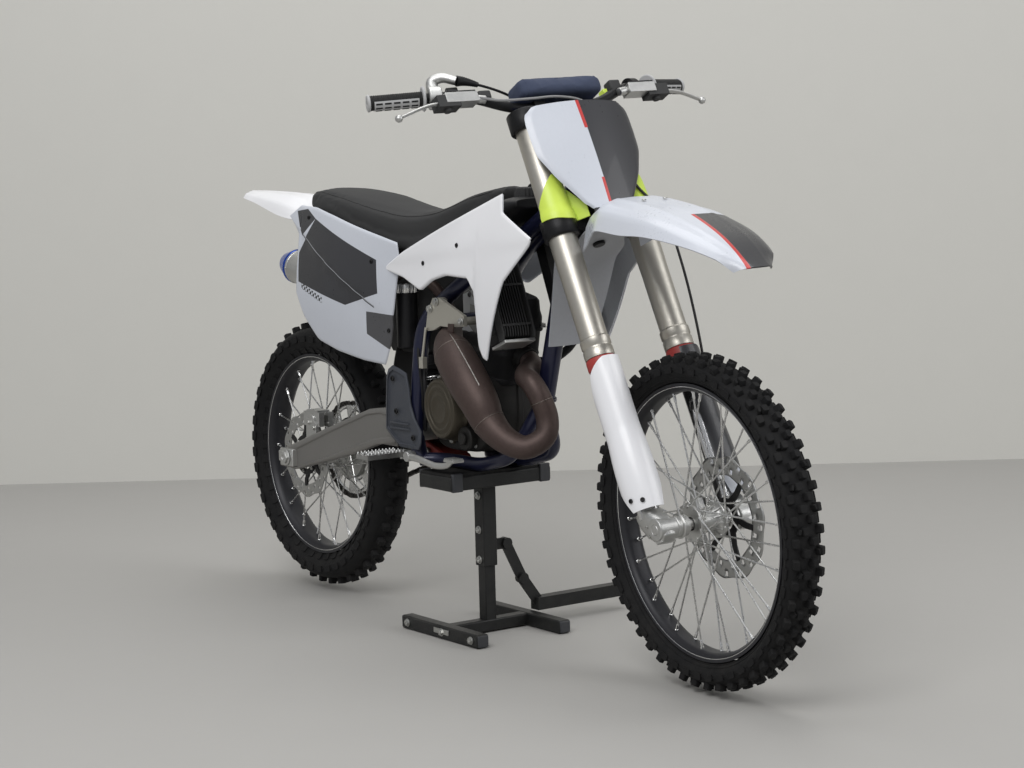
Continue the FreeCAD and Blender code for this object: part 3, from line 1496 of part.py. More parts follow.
def cylinder_room():
    """The space of the cylinder, for pieces that end against it."""
    barrel = block(Vector(-cylinder_length / 2 - seat_gap, -cylinder_length, -cylinder_length),
                   Vector(cylinder_length, cylinder_length, cylinder_height + head_cover_height))
    barrel.rotate(Vector(0, 0, 0), Vector(0, 1, 0), cylinder_tilt_deg)
    barrel.translate(Vector(cylinder_x, 0, case_z + case_height - overrun))
    return barrel


def shock():
    """The shock absorber with its spring, and the reservoir at its side with the pipe between them."""
    top = Vector(shock_top_x, 0, shock_top_z)
    low = Vector(shock_low_x, 0, shock_low_z)
    step = (low - top) * (1 / shock_coils)
    parts = [flat_rod(top, low, shock_body_radius)]
    for index in range(shock_coils):
        start = top + step * (index + 0.5) - step * (shock_wire_share / 2)
        parts.append(flat_rod(start, start + step * shock_wire_share, shock_spring_radius))
    foot = Vector(reservoir_x, -reservoir_side, reservoir_z - reservoir_length)
    head = Vector(reservoir_x, -reservoir_side, reservoir_z)
    parts.append(flat_rod(foot, head, reservoir_radius, cap_sides))
    parts.append(flat_rod(head, head + Vector(0, 0, reservoir_cap_height), reservoir_cap_radius, cap_sides))
    low_side = foot + Vector(0, reservoir_radius / 2, reservoir_pipe_radius / 2)
    parts.append(flat_rod(low_side, top - Vector(0, 0, 2 * reservoir_pipe_radius), reservoir_pipe_radius,
                          small_sides))
    return fused(parts)


def linkage():
    """The rocker between the swingarm, the frame and the shock's foot."""
    centre = Vector(shock_low_x, 0, shock_low_z - link_radius - seat_gap)
    ahead = centre + Vector(link_reach, 0, -link_radius)
    half = Vector(0, link_width, 0)
    plate = slab([centre - half + Vector(0, 0, -link_radius), ahead - half + Vector(0, 0, -link_radius / 2),
                  ahead - half + Vector(0, 0, link_radius / 2), centre - half + Vector(0, 0, link_radius / 2)],
                 2 * half)
    return fused([flat_rod(centre - half, centre + half, link_radius), flat_rod(ahead - half, ahead + half,
                                                                                link_radius), plate])


def swingarm():
    """Two tapering cast arms joined ahead of the wheel, the neck to the pivot, and the axle's blocks."""
    outline = shared_outline(arm_edge_shares, -arm_rear_reach, arm_front_x + arm_rear_reach, arm_low_z, arm_depth)
    arm = side_slab(outline, arm_inner_side, arm_inner_side + arm_wall)
    tail = block(Vector(-axle_block_length / 2, arm_inner_side + arm_wall, rear_axle_z - axle_block_height / 2),
                 Vector(axle_block_length / 2, arm_inner_side + arm_wall + axle_block_width,
                        rear_axle_z + axle_block_height / 2))
    cross_end = arm_cross_x + arm_cross_length
    neck = block(Vector(cross_end - overrun, arm_neck_side, arm_neck_low_z),
                 Vector(pivot_x, arm_neck_side + arm_neck_width, arm_neck_low_z + arm_neck_height))
    half = fused([arm, tail])
    cross = block(Vector(arm_cross_x, -arm_inner_side - overrun, arm_cross_low_z),
                  Vector(cross_end, arm_inner_side + overrun, arm_cross_low_z + arm_cross_height))
    side = Vector(0, pivot_tube_side, 0)
    pivot = Vector(pivot_x, 0, pivot_z)
    tube = flat_rod(pivot - side, pivot + side, pivot_tube_radius, silencer_sides)
    body = fused([half, mirrored(half), cross, neck, mirrored(neck), tube])
    reach = 2 * (arm_inner_side + arm_wall + axle_block_width + overrun)
    body = body.cut(across(Vector(0, 0, rear_axle_z), rear_axle_radius + bore_gap, reach))
    return body.cut(across(pivot, pivot_bolt_radius + seat_gap, reach))


def chain():
    """The drive chain as one fixed loop: two bands of side plates joined by rollers on the runs."""
    rear = chain_pitch / (2 * math.sin(math.pi / sprocket_teeth))
    front = chain_pitch / (2 * math.sin(math.pi / drive_sprocket_teeth))
    a = Vector(0, 0, rear_axle_z)
    b = Vector(drive_sprocket_x, 0, drive_sprocket_z)
    run = b - a
    distance = run.Length
    tilt = math.atan2(run.z, run.x)
    spread = math.acos((rear - front) / distance)

    def arc(centre, radius, first, last, count):
        turns = [first + (last - first) * step / count for step in range(count + 1)]
        return [centre + Vector(radius * math.cos(t), 0, radius * math.sin(t)) for t in turns]

    def loop(grow):
        upper = tilt + spread
        lower = tilt - spread + 2 * math.pi
        points = arc(a, rear + grow, upper, lower, sprocket_teeth // 2)
        points += arc(b, front + grow, lower - 2 * math.pi, upper, drive_sprocket_teeth // 2)
        return Part.makePolygon(points + points[:1])
    outer = Part.Face(loop(chain_plate_height / 2))
    inner = Part.Face(loop(-chain_plate_height / 2))
    band = outer.cut(inner).extrude(Vector(0, chain_plate_wall, 0))
    inside = band.copy()
    inside.translate(Vector(0, sprocket_side - chain_inner_width / 2 - chain_plate_wall, 0))
    band.translate(Vector(0, sprocket_side + chain_inner_width / 2, 0))
    rollers = []
    for angle in (tilt + spread, tilt - spread):
        start = a + Vector(rear * math.cos(angle), 0, rear * math.sin(angle))
        end = b + Vector(front * math.cos(angle), 0, front * math.sin(angle))
        count = int((end - start).Length / chain_pitch)
        for index in range(chain_roller_every, count, chain_roller_every):
            place = start + (end - start) * (index / count) + Vector(0, sprocket_side, 0)
            width = chain_inner_width + chain_plate_wall
            half = chain_roller_radius / 2
            rollers.append(block(place - Vector(half, width / 2, half), place + Vector(half, width / 2, half)))
    half = Vector(0, sprocket_thickness / 2, 0)
    centre = b + Vector(0, sprocket_side, 0)
    drive = flat_rod(centre - half, centre + half, front - chain_plate_height / 2 - seat_gap, drive_sprocket_teeth)
    shaft = flat_rod(Vector(b.x, sprocket_pocket_side + seat_gap, b.z), centre, drive_shaft_radius)
    return Part.makeCompound([fused([band, inside] + rollers), fused([drive, shaft])])


def chain_guide():
    """The channel on the left arm that guides the chain's lower run."""
    outer = arm_inner_side - seat_gap
    high_x = chain_guide_x + chain_guide_length
    body = block(Vector(chain_guide_x, chain_guide_inner_side, chain_guide_low_z),
                 Vector(high_x, outer, chain_guide_high_z))
    channel = block(Vector(chain_guide_x - overrun, chain_guide_inner_side + chain_guide_wall,
                           chain_guide_low_z + chain_guide_floor),
                    Vector(high_x + overrun, outer - chain_guide_wall, chain_guide_high_z + overrun))
    return body.cut(channel)


def rear_caliper():
    """The rear caliper over its disc, on a bracket at the right arm."""
    place = Vector(rear_caliper_x, -rear_disc_side, rear_caliper_z)
    half = Vector(rear_caliper_length / 2, rear_caliper_width / 2, rear_caliper_height / 2)
    slot = across(Vector(0, -rear_disc_side, rear_axle_z), rear_disc_radius + caliper_slot,
                  disc_thickness + 2 * caliper_slot)
    body = soft_block(place - half, place + half, caliper_round).cut(slot)
    bracket = block(Vector(rear_bracket_back_x, seat_gap - arm_inner_side, rear_bracket_low_z),
                    Vector(rear_bracket_front_x, seat_gap - arm_inner_side + rear_bracket_wall, rear_caliper_z))
    return fused([body, bracket])


def footpeg():
    """One folding peg, serrated on top, with its bracket to the frame."""
    half = peg_length / 2
    rail = peg_length * peg_rail_share
    bar = block(Vector(peg_x - half, peg_inner_side, peg_z - peg_height),
                Vector(peg_x + half, peg_outer_side, peg_z - peg_tooth_height))
    window = block(Vector(peg_x - half + rail, peg_inner_side + peg_height, peg_z - 2 * peg_height),
                   Vector(peg_x + half - rail, peg_outer_side - rail, peg_z))
    bracket = block(Vector(peg_x + half - overrun, peg_inner_side, peg_z - peg_height),
                    Vector(pivot_x, peg_inner_side + peg_bracket_width, peg_z - peg_tooth_height))
    teeth = []
    for index in range(peg_teeth):
        side = peg_inner_side + (peg_outer_side - peg_inner_side) * (index + 0.5) / peg_teeth
        for x in (peg_x - half, peg_x + half - rail):
            teeth.append(block(Vector(x, side - peg_tooth_height / 2, peg_z - peg_tooth_height - overrun),
                               Vector(x + rail, side + peg_tooth_height / 2, peg_z)))
    return fused([bar.cut(window), bracket] + teeth).cut(frame_spars())


def brake_pedal():
    """The brake pedal on the right, from its pivot on the spar's foot forward to its tip."""
    pivot = Vector(pedal_pivot_x, -pedal_side, pedal_pivot_z)
    points = [pivot, Vector((pedal_pivot_x + pedal_tip_x) / 2, -pedal_side, pedal_bend_z),
              Vector(pedal_tip_x, -pedal_side, pedal_tip_z)]
    half = pedal_tip_width / 2
    tip = block(Vector(pedal_tip_x - half, -pedal_side - half, pedal_tip_z),
                Vector(pedal_tip_x + 2 * half, -pedal_side + half, pedal_tip_z + pedal_radius))
    boss = flat_rod(pivot - Vector(0, pedal_radius, 0), Vector(pivot.x, -pivot_side, pivot.z), 2 * pedal_radius)
    return fused([bent_rod(points, pedal_radius), tip, boss]).cut(frame_spars()).cut(frame_cradle())


def shift_lever():
    """The gear lever on the left, on its shaft out of the case."""
    pivot = Vector(shift_pivot_x, shift_side, shift_pivot_z)
    points = [pivot, Vector((shift_pivot_x + shift_tip_x) / 2, shift_side, shift_pivot_z),
              Vector(shift_tip_x, shift_side, shift_tip_z)]
    end = points[-1]
    shaft = flat_rod(Vector(pivot.x, case_half_width + seat_gap, pivot.z), pivot + Vector(0, pedal_radius, 0),
                     pedal_radius)
    toe = flat_rod(end - Vector(0, pedal_radius, 0), end + Vector(0, pedal_tip_width, 0), pedal_radius)
    return fused([bent_rod(points, pedal_radius), toe, shaft])


def square_tube(low, high, wall):
    """An upright square tube, open at both ends."""
    inner_low = Vector(low.x + wall, low.y + wall, low.z - overrun)
    inner_high = Vector(high.x - wall, high.y - wall, high.z + overrun)
    return block(low, high).cut(block(inner_low, inner_high))


def stand_base():
    """The stand's welded base with the lower, inner tube of its post."""
    low_x = foot_middle_x - foot_length / 2
    high_x = foot_middle_x + foot_length / 2
    parts = []
    for sign in (-1, 1):
        side = sign * foot_side
        parts.append(block(Vector(low_x, side - foot_tube / 2, 0), Vector(high_x, side + foot_tube / 2, foot_tube)))
    parts.append(block(Vector(post_x - foot_tube / 2, -foot_side, 0), Vector(post_x + foot_tube / 2, foot_side,
                                                                           foot_tube)))
    half = post_inner / 2
    parts.append(block(Vector(post_x - half, -half, foot_tube - overrun),
                       Vector(post_x + half, half, post_inner_top)))
    return fused(parts)


def stand_post():
    """The outer tube of the post, which slides on the inner one."""
    half = post_outer / 2
    return square_tube(Vector(post_x - half, -half, post_outer_low),
                       Vector(post_x + half, half, platform_top - platform_thickness), post_wall)


def stand_platform():
    """The padded top that the frame's rails rest on."""
    low = Vector(platform_middle_x - platform_length / 2, -platform_half_width, platform_top - platform_thickness)
    high = Vector(platform_middle_x + platform_length / 2, platform_half_width, platform_top)
    shape = block(low, high)
    return shape.makeFillet(platform_round, upright_edges(shape))


def link_bar(start, end):
    """A flat link between two pins, in the plane across the bike."""
    run = end - start
    run.normalize()
    normal = Vector(1, 0, 0)
    side = run.cross(normal) * (link_bar_width / 2)
    corners = [start - side, end - side, end + side, start + side]
    return slab([c - normal * (link_bar_wall / 2) for c in corners], normal * link_bar_wall)


def stand_lever():
    """The foot lever with its two links that raise the post."""
    high = Vector(post_x, link_high_side, link_high_z)
    middle = Vector(post_x, link_mid_side, link_mid_z)
    low = Vector(post_x, link_low_side, pedal_tube_z)
    half = Vector(link_bar_wall / 2, 0, link_bar_width / 2)
    parts = [link_bar(high, middle), link_bar(middle, low)]
    parts.append(block(Vector(post_x, post_outer / 2 + seat_gap, link_high_z) - half, high + half))
    pin_half = Vector(link_bolt_length / 2, 0, 0)
    for pin in (high, middle, low):
        parts.append(flat_rod(pin - pin_half, pin + pin_half, link_bar_width / 2))
    tube_low = foot_tube + seat_gap
    parts.append(block(Vector(post_x - pedal_tube / 2, link_low_side - pedal_tube / 2, tube_low),
                       Vector(post_x + pedal_tube / 2, pedal_tube_end, tube_low + pedal_tube)))
    return fused(parts)


def hub_placed(shape, centre):
    """A rear wheel piece set on its axle."""
    shape.translate(centre)
    return shape


def steered(shape):
    """A piece drawn in the fork's frame, turned and set on the bike."""
    placed = shape.copy()
    placed.Placement = fork_frame.multiply(shape.Placement)
    return placed


def front_wheel(shape):
    """A front wheel piece set on its axle in the fork's frame."""
    placed = shape.copy()
    placed.translate(Vector(axle_ahead, 0, 0))
    return steered(placed)


def build():
    """Every node of the bike and stand, by name."""
    rear = Vector(0, 0, rear_axle_z)
    nodes = {}
    nodes["front_tyre"] = front_wheel(knobby_tyre(
        front_tyre_radius, front_tyre_half_width, front_flange_radius + tyre_rim_gap, front_rim_half_width,
        front_lug_height))
    nodes["front_rim"] = front_wheel(rim(front_flange_radius, front_rim_half_width, front_rim_depth))
    nodes["front_hub"] = front_wheel(laced_hub(
        front_hub_barrel_radius, front_hub_flange_radius, front_hub_half_width, front_axle_radius,
        front_flange_radius - front_rim_depth, front_rim_half_width * rim_side_share, front_hub_bosses))
    nodes["front_disc"] = front_wheel(disc_node(front_disc_radius, front_disc_inner, front_disc_side,
                                                front_hub_flange_radius))
    nodes["rear_tyre"] = hub_placed(knobby_tyre(
        rear_tyre_radius, rear_tyre_half_width, rear_flange_radius + tyre_rim_gap, rear_rim_half_width,
        rear_lug_height), rear)
    nodes["rear_rim"] = hub_placed(rim(rear_flange_radius, rear_rim_half_width, rear_rim_depth), rear)
    nodes["rear_hub"] = hub_placed(laced_hub(
        rear_hub_barrel_radius, rear_hub_flange_radius, rear_hub_half_width, rear_axle_radius,
        rear_flange_radius - rear_rim_depth, rear_rim_half_width * rim_side_share, rear_hub_bosses), rear)
    nodes["rear_disc"] = hub_placed(disc_node(rear_disc_radius, rear_disc_inner, -rear_disc_side,
                                              rear_hub_flange_radius), rear)
    nodes["rear_sprocket"] = hub_placed(sprocket(), rear)
    nodes["front_axle"] = steered(front_axle())
    nodes["fork_tubes"] = steered(both_sides(fork_tube()))
    nodes["fork_legs"] = steered(Part.makeCompound([fork_leg(-1), fork_leg(1)]))
    nodes["fork_guards"] = steered(both_sides(fork_guard()))
    nodes["clamps"] = steered(clamps())
    nodes["handlebar"] = steered(handlebar())
    nodes["grips"] = steered(Part.makeCompound([grip(-1), grip(1)]))
    nodes["brake_master"] = steered(hand_control(-1, master_side, master_length))
    nodes["clutch_master"] = steered(hand_control(1, clutch_master_side, clutch_master_length))
    nodes["throttle_housing"] = steered(throttle_housing())
    nodes["bar_pad"] = steered(bar_pad())
    nodes["number_plate"] = steered(number_plate())
    nodes["plate_wedges"] = steered(both_sides(plate_wedge()))
    nodes["front_fender"] = steered(front_fender())
    nodes["front_caliper"] = steered(front_caliper())
    nodes["brake_hose"] = steered(cord(hose_points, hose_radius))
    nodes["throttle_cable"] = steered(cord(cable_points, cable_radius))
    nodes["frame_spars"] = frame_spars()
    nodes["frame_cradle"] = frame_cradle()
    nodes["frame_guards"] = frame_guards()
    nodes["engine_case"] = engine_case()
    nodes["clutch_cover"] = clutch_cover()
    nodes["engine_cylinder"] = engine_cylinder()
    nodes["head_stay"] = head_stay()
    nodes["exhaust_chamber"] = exhaust_chamber()
    nodes["silencer"] = silencer()
    nodes["silencer_cap"] = silencer_cap()
    nodes["radiators"] = both_sides(radiator())
    nodes["shrouds"] = both_sides(shroud())
    nodes["fuel_tank"] = fuel_tank()
    nodes["seat"] = seat()
    nodes["rear_fender"] = rear_fender()
    nodes["side_panels"] = both_sides(side_panel())
    nodes["airbox"] = airbox()
    nodes["shock"] = shock()
    nodes["linkage"] = linkage()
    nodes["swingarm"] = swingarm()
    nodes["rear_axle"] = rear_axle()
    nodes["chain"] = chain()
    nodes["chain_guide"] = chain_guide()
    nodes["rear_caliper"] = rear_caliper()
    nodes["foot_controls"] = Part.makeCompound([footpeg(), mirrored(footpeg()), brake_pedal(), shift_lever()])
    nodes["stand_base"] = stand_base()
    nodes["stand_post"] = stand_post()
    nodes["stand_platform"] = stand_platform()
    nodes["stand_lever"] = stand_lever()
    for shape in nodes.values():
        shape.translate(Vector(-length_middle, 0, 0))
    return nodes


def main():
    """Build every node and write its file."""
    os.makedirs("parts", exist_ok=True)
    for cord, points in (("brake_hose", hose_points), ("throttle_cable", cable_points)):
        radii = bent_radii([Vector(*p) for p in points])
        print(cord, "smallest bend", round(min(radii), 1), "mm")
    for name, shape in build().items():
        shape.exportStep("parts/" + name + ".step")
        print(name, len(shape.Solids), "solids", round(shape.Volume / mm3_per_cm3, 1), "cm3",
              "valid" if shape.isValid() else "NOT VALID")


main()
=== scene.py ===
"""Looks of a dirt bike on its lift stand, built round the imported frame.

Sizes are millimetres in a few drawing frames: BIKE, with x from the rear axle forward and z from
the floor; FORK, with x ahead of the steering axis and z up along it; NOSE, which is BIKE turned
with the steering; and one frame at each wheel's middle.
"""
import logging
import math
from dataclasses import dataclass, replace
from enum import Enum
from typing import Callable, Iterable, Optional, Sequence

import bmesh
import bpy
import numpy as np
from mathutils import Matrix, Vector


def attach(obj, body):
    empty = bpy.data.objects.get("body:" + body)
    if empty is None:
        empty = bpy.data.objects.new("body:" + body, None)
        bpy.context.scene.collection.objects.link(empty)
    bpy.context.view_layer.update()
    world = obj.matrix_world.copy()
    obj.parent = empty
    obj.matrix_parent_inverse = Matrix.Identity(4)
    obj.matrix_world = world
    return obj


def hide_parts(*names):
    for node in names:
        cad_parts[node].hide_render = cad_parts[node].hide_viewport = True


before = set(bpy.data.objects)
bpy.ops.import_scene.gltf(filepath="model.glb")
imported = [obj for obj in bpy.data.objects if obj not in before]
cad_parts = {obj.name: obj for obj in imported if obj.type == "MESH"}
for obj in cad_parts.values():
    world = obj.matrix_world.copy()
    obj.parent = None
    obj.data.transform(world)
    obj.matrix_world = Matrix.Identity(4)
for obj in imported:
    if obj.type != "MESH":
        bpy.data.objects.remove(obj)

Array = np.ndarray
Colour = tuple[float, float, float]
MM = 0.001
TURN = 2 * math.pi
log = logging.getLogger("bike")


class Body(Enum):
    """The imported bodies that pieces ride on."""

    CHASSIS = "chassis"
    STEERING = "steering"
    FRONT = "front_wheel"
    REAR = "rear_wheel"


def lean_turn(rake_deg: float, turn_deg: float) -> Array:
    """The turn of the fork's frame: swing about the upright axis, then lean back by the rake.

    Args:
        rake_deg: lean of the steering axis, in degrees.
        turn_deg: steering to the left, in degrees.

    Returns:
        A 3 x 3 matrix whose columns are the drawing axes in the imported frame.
    """
    a, b = math.radians(rake_deg), math.radians(turn_deg)
    lean = np.array([[math.cos(a), 0, -math.sin(a)], [0, 1, 0], [math.sin(a), 0, math.cos(a)]])
    swing = np.array([[math.cos(b), -math.sin(b), 0], [math.sin(b), math.cos(b), 0], [0, 0, 1]])
    return lean @ swing


@dataclass(frozen=True)
class Place:
    """A drawing frame with its body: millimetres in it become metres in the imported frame."""

    origin: Array
    turn: Array
    body: Body

    def put(self, points: Array) -> Array:
        """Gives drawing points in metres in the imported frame."""
        return (np.asarray(points, float) @ self.turn.T + self.origin) * MM

    def along(self, direction: Sequence[float]) -> Array:
        """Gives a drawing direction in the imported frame."""
        return self.turn @ np.asarray(direction, float)


STEER_FOOT = np.array([702.608, 0.0, 328.803])
STEERED = lean_turn(26.1, -5.1)
NOSE_TURN = STEERED @ lean_turn(26.1, 0.0).T
ON_EDGE = np.array([[1.0, 0, 0], [0, 0, 1], [0, 1, 0]])
BIKE_ORIGIN = np.array([-733.0, 0.0, 0.0])
BIKE = Place(BIKE_ORIGIN, np.eye(3), Body.CHASSIS)
FORK = Place(STEER_FOOT, STEERED, Body.STEERING)
NOSE = Place(STEER_FOOT + NOSE_TURN @ (BIKE_ORIGIN - STEER_FOOT), NOSE_TURN, Body.STEERING)
FRONT_WHEEL = Place(STEER_FOOT + STEERED @ np.array([55.0, 0, 0]), STEERED, Body.FRONT)
REAR_WHEEL = Place(np.array([-733.0, 0.0, 352.0]), np.eye(3), Body.REAR)


# Shapes

@dataclass
class Shape:
    """A mesh in a drawing frame: points, and arrays of faces with the same count of corners."""

    points: Array
    faces: list[Array]

    def __add__(self, other: "Shape") -> "Shape":
        """Joins two shapes."""
        shift = len(self.points)
        return Shape(np.vstack([self.points, other.points]), self.faces + [f + shift for f in other.faces])

    def moved(self, shift: Sequence[float], turn: Optional[Array] = None) -> "Shape":
        """Gives the shape turned about the origin and then shifted."""
        points = self.points if turn is None else self.points @ turn.T
        return Shape(points + np.asarray(shift, float), self.faces)

    def mirrored(self) -> "Shape":
        """Gives the shape on the other side of the bike's middle."""
        return Shape(self.points * np.array([1.0, -1.0, 1.0]), [f[:, ::-1] for f in self.faces])

    def both(self) -> "Shape":
        """Gives the shape and its mirror image."""
        return self + self.mirrored()


def joined(shapes: Iterable[Shape]) -> Shape:
    """Joins many shapes into one.

    Args:
        shapes: the shapes, in order.

    Returns:
        One shape with all their points and faces.
    """
    items = list(shapes)
    starts = np.cumsum([0] + [len(s.points) for s in items[:-1]])
    return Shape(np.vstack([s.points for s in items]),
                 [f + start for s, start in zip(items, starts) for f in s.faces])


def around(count: int) -> Array:
    """Gives a count of angles spread evenly over a turn."""
    return np.arange(count) * TURN / count


def unit(vectors: Array) -> Array:
    """Gives vectors at length one."""
    v = np.asarray(vectors, float)
    return v / np.linalg.norm(v, axis=-1, keepdims=True)


def boxy(angles: Array, power: float) -> tuple[Array, Array]:
    """Gives the cosine and sine with their sizes raised to a power: a square with round corners."""
    c, s = np.cos(angles), np.sin(angles)
    return np.sign(c) * np.abs(c) ** power, np.sign(s) * np.abs(s) ** power


def on_axle(radius: float | Array, side: float | Array, angles: Array) -> Array:
    """Gives points round a wheel's axle, which is +Y, at angles from +Z towards +X."""
    return np.stack(np.broadcast_arrays(radius * np.sin(angles), side, radius * np.cos(angles)), -1)


def on_post(radius: float | Array, height: float | Array, angles: Array,
            middle: tuple[float, float] = (0.0, 0.0)) -> Array:
    """Gives points round an upright line through the middle (x, y), at angles from +X towards +Y."""
    x, y = middle[0] + radius * np.cos(angles), middle[1] + radius * np.sin(angles)
    return np.stack(np.broadcast_arrays(x, y, height), -1)


def on_side(radius: float | Array, side: float | Array, angles: Array, middle: tuple[float, float]) -> Array:
    """Gives points round a crosswise line through the middle (x, z), at angles from +X towards +Z."""
    x, z = middle[0] + radius * np.cos(angles), middle[1] + radius * np.sin(angles)
    return np.stack(np.broadcast_arrays(x, side, z), -1)


def grid(points: Array, wrap_u: bool = False, wrap_v: bool = False, caps: bool = False) -> Shape:
    """A surface over a grid of points; each cell of the grid is one face.

    Args:
        points: array of rows by columns by 3.
        wrap_u: join the last row to the first.
        wrap_v: join the last column to the first.
        caps: close the first and last rows, each with one flat face.

    Returns:
        The surface.
    """
    rows, columns = points.shape[:2]
    i = np.arange(rows if wrap_u else rows - 1)[:, None]
    j = np.arange(columns if wrap_v else columns - 1)[None, :]
    a, b = i * columns + j, i * columns + (j + 1) % columns
    c, d = ((i + 1) % rows) * columns + (j + 1) % columns, ((i + 1) % rows) * columns + j
    faces = [np.stack([a, b, c, d], -1).reshape(-1, 4)]
    if caps:
        ring = np.arange(columns)
        faces += [ring[None, ::-1], (rows - 1) * columns + ring[None, :]]
    return Shape(points.reshape(-1, 3), faces)


def repeated(shape: Shape, turns: Array, shifts: Array) -> Shape:
    """Copies of a shape, one for each turn (k x 3 x 3) and shift (k x 3), as one shape.

    Args:
        shape: what is copied.
        turns: one turn for each copy.
        shifts: one shift for each copy, after its turn.

    Returns:
        The copies.
    """
    count, size = len(shifts), len(shape.points)
    points = np.einsum("kij,nj->kni", turns, shape.points) + np.asarray(shifts, float)[:, None, :]
    starts = (np.arange(count) * size)[:, None, None]
    return Shape(points.reshape(-1, 3), [(f[None] + starts).reshape(-1, f.shape[1]) for f in shape.faces])


def rowed(shape: Shape, shifts: Array) -> Shape:
    """Copies of a shape without turns, one for each shift (k x 3)."""
    return repeated(shape, np.repeat(np.eye(3)[None], len(shifts), 0), shifts)


def lofted(rings: Sequence[Array]) -> Shape:
    """A closed body through rings of points, with a flat face on the first and the last."""
    return grid(np.asarray(rings), wrap_v=True, caps=True)


def stepped(outline: Array, levels: Sequence[tuple[float, float]]) -> Shape:
    """A body through an outline in x and z, at each level (y, scale) scaled about its middle."""
    middle = outline.mean(axis=0)
    return lofted([np.insert(middle + (outline - middle) * scale, 1, y, axis=1) for y, scale in levels])


def fluted(middle: tuple[float, float], radius: float, depth: float, flutes: int,
           levels: Sequence[tuple[float, float]]) -> Shape:
    """An upright screw cap: its radius steps in and out round the turn, at each level (scale, height).

    Args:
        middle: its x and y.
        radius: radius between the flutes' tops and floors.
        depth: half of a flute's depth.
        flutes: how many flutes.
        levels: scale of the radius and height, from the foot up.

    Returns:
        The cap.
    """
    a = around(4 * flutes)
    r = radius + depth * np.sign(np.sin(a * flutes))
    return lofted([on_post(r * scale, height, a, middle) for scale, height in levels])


def aims(directions: Array) -> Array:
    """Turns that carry +Z to each direction (k x 3), with X kept as near level as can be.

    Args:
        directions: one direction or many.

    Returns:
        A 3 x 3 turn for each.
    """
    z = unit(np.atleast_2d(directions))
    guide = np.where(np.abs(z[:, 2:3]) < 0.9, [[0.0, 0.0, 1.0]], [[1.0, 0.0, 0.0]])
    x = unit(np.cross(guide, z))
    return np.stack([x, np.cross(z, x), z], axis=-1)


def spins(angles: Array) -> Array:
    """Turns about +Y by angles (k), from +Z towards +X.

    Args:
        angles: angles in radians.

    Returns:
        A 3 x 3 turn for each.
    """
    c, s = np.cos(angles), np.sin(angles)
    zero, one = np.zeros_like(c), np.ones_like(c)
    rows = ([c, zero, s], [zero, one, zero], [-s, zero, c])
    return np.stack([np.stack(row, -1) for row in rows], -2)


def smooth(points: Array, count: int) -> Array:
    """A smooth line through points: each part is a cubic with half its neighbours' span as slope.

    Args:
        points: array of points, any width.
        count: how many points the line gets.

    Returns:
        The line's points, evenly spread over the parts.
    """
    p = np.asarray(points, float)
    p = np.vstack([2 * p[0] - p[1], p, 2 * p[-1] - p[-2]])
    t = np.linspace(0, len(p) - 3, count)
    k = np.minimum(t.astype(int), len(p) - 4)
    u = (t - k)[:, None]
    a, b, c, d = p[k], p[k + 1], p[k + 2], p[k + 3]
    return 0.5 * (2 * b + (c - a) * u + (2 * a - 5 * b + 4 * c - d) * u ** 2 + (3 * b - a - 3 * c
                                                                                + d) * u ** 3)


def rounded_path(points: Sequence[Sequence[float]], reach: float, steps: int = 6) -> Array:
    """Straight runs whose corners are rounded: each corner is a parabola between two points near it.

    Args:
        points: corners of the path.
        reach: how far from a corner its bend starts.
        steps: points on a bend.

    Returns:
        The path's points.
    """
    p = np.asarray(points, float)
    back, ahead = p[:-2] - p[1:-1], p[2:] - p[1:-1]
    cut = np.minimum(reach, 0.48 * np.minimum(np.linalg.norm(back, axis=1), np.linalg.norm(ahead, axis=1)))
    start = p[1:-1] + back / np.linalg.norm(back, axis=1, keepdims=True) * cut[:, None]
    end = p[1:-1] + ahead / np.linalg.norm(ahead, axis=1, keepdims=True) * cut[:, None]
    t = np.linspace(0, 1, steps)[None, :, None]
    bends = (1 - t) ** 2 * start[:, None] + 2 * t * (1 - t) * p[1:-1, None] + t ** 2 * end[:, None]
    return np.vstack([p[:1], bends.reshape(-1, 3), p[-1:]])


def tube(path: Array, radius: float | Array, sides: int = 16, flat: float = 1.0, caps: bool = True) -> Shape:
    """A round bar along a path: at each point a ring square to the path, scaled by the radius there.

    Args:
        path: points of the middle line.
        radius: one radius, or one for each point.
        sides: points round a ring.
        flat: how far the ring is squeezed across its first axis.
        caps: close both ends.

    Returns:
        The bar.
    """
    p = np.asarray(path, float)
    way = unit(np.gradient(p, axis=0))
    guides = unit([[1, 0, 0], [0, 1, 0], [0, 0, 1], [1, 1, 0], [0, 1, 1], [1, 0, 1], [1, -1, 0.3]])
    guide = guides[np.argmin(np.abs(way @ guides.T).max(axis=0))]
    a = unit(guide - (way @ guide)[:, None] * way)
    b = np.cross(way, a)
    turn = around(sides)[None, :, None]
    r = np.broadcast_to(np.asarray(radius, float), (len(p),))[:, None, None]
    ring = a[:, None] * np.cos(turn) * flat + b[:, None] * np.sin(turn)
    return grid(p[:, None] + ring * r, wrap_v=True, caps=caps)


def turned(profile: Sequence[Sequence[float]], sides: int = 48, closed: bool = False) -> Shape:
    """A profile of (radius, along) carried round +Z; a closed one makes a ring."""
    q = np.asarray(profile, float)
    return grid(on_post(q[:, :1], q[:, 1:], around(sides)), wrap_u=closed, wrap_v=True, caps=not closed)


def wheel_turned(profile: Sequence[Sequence[float]], sides: int = 96) -> Shape:
    """A closed profile of (radius, side) carried round the wheel's axle, which is +Y."""
    q = np.asarray(profile, float)
    return grid(on_axle(q[:, :1], q[:, 1:], around(sides)), wrap_u=True, wrap_v=True)


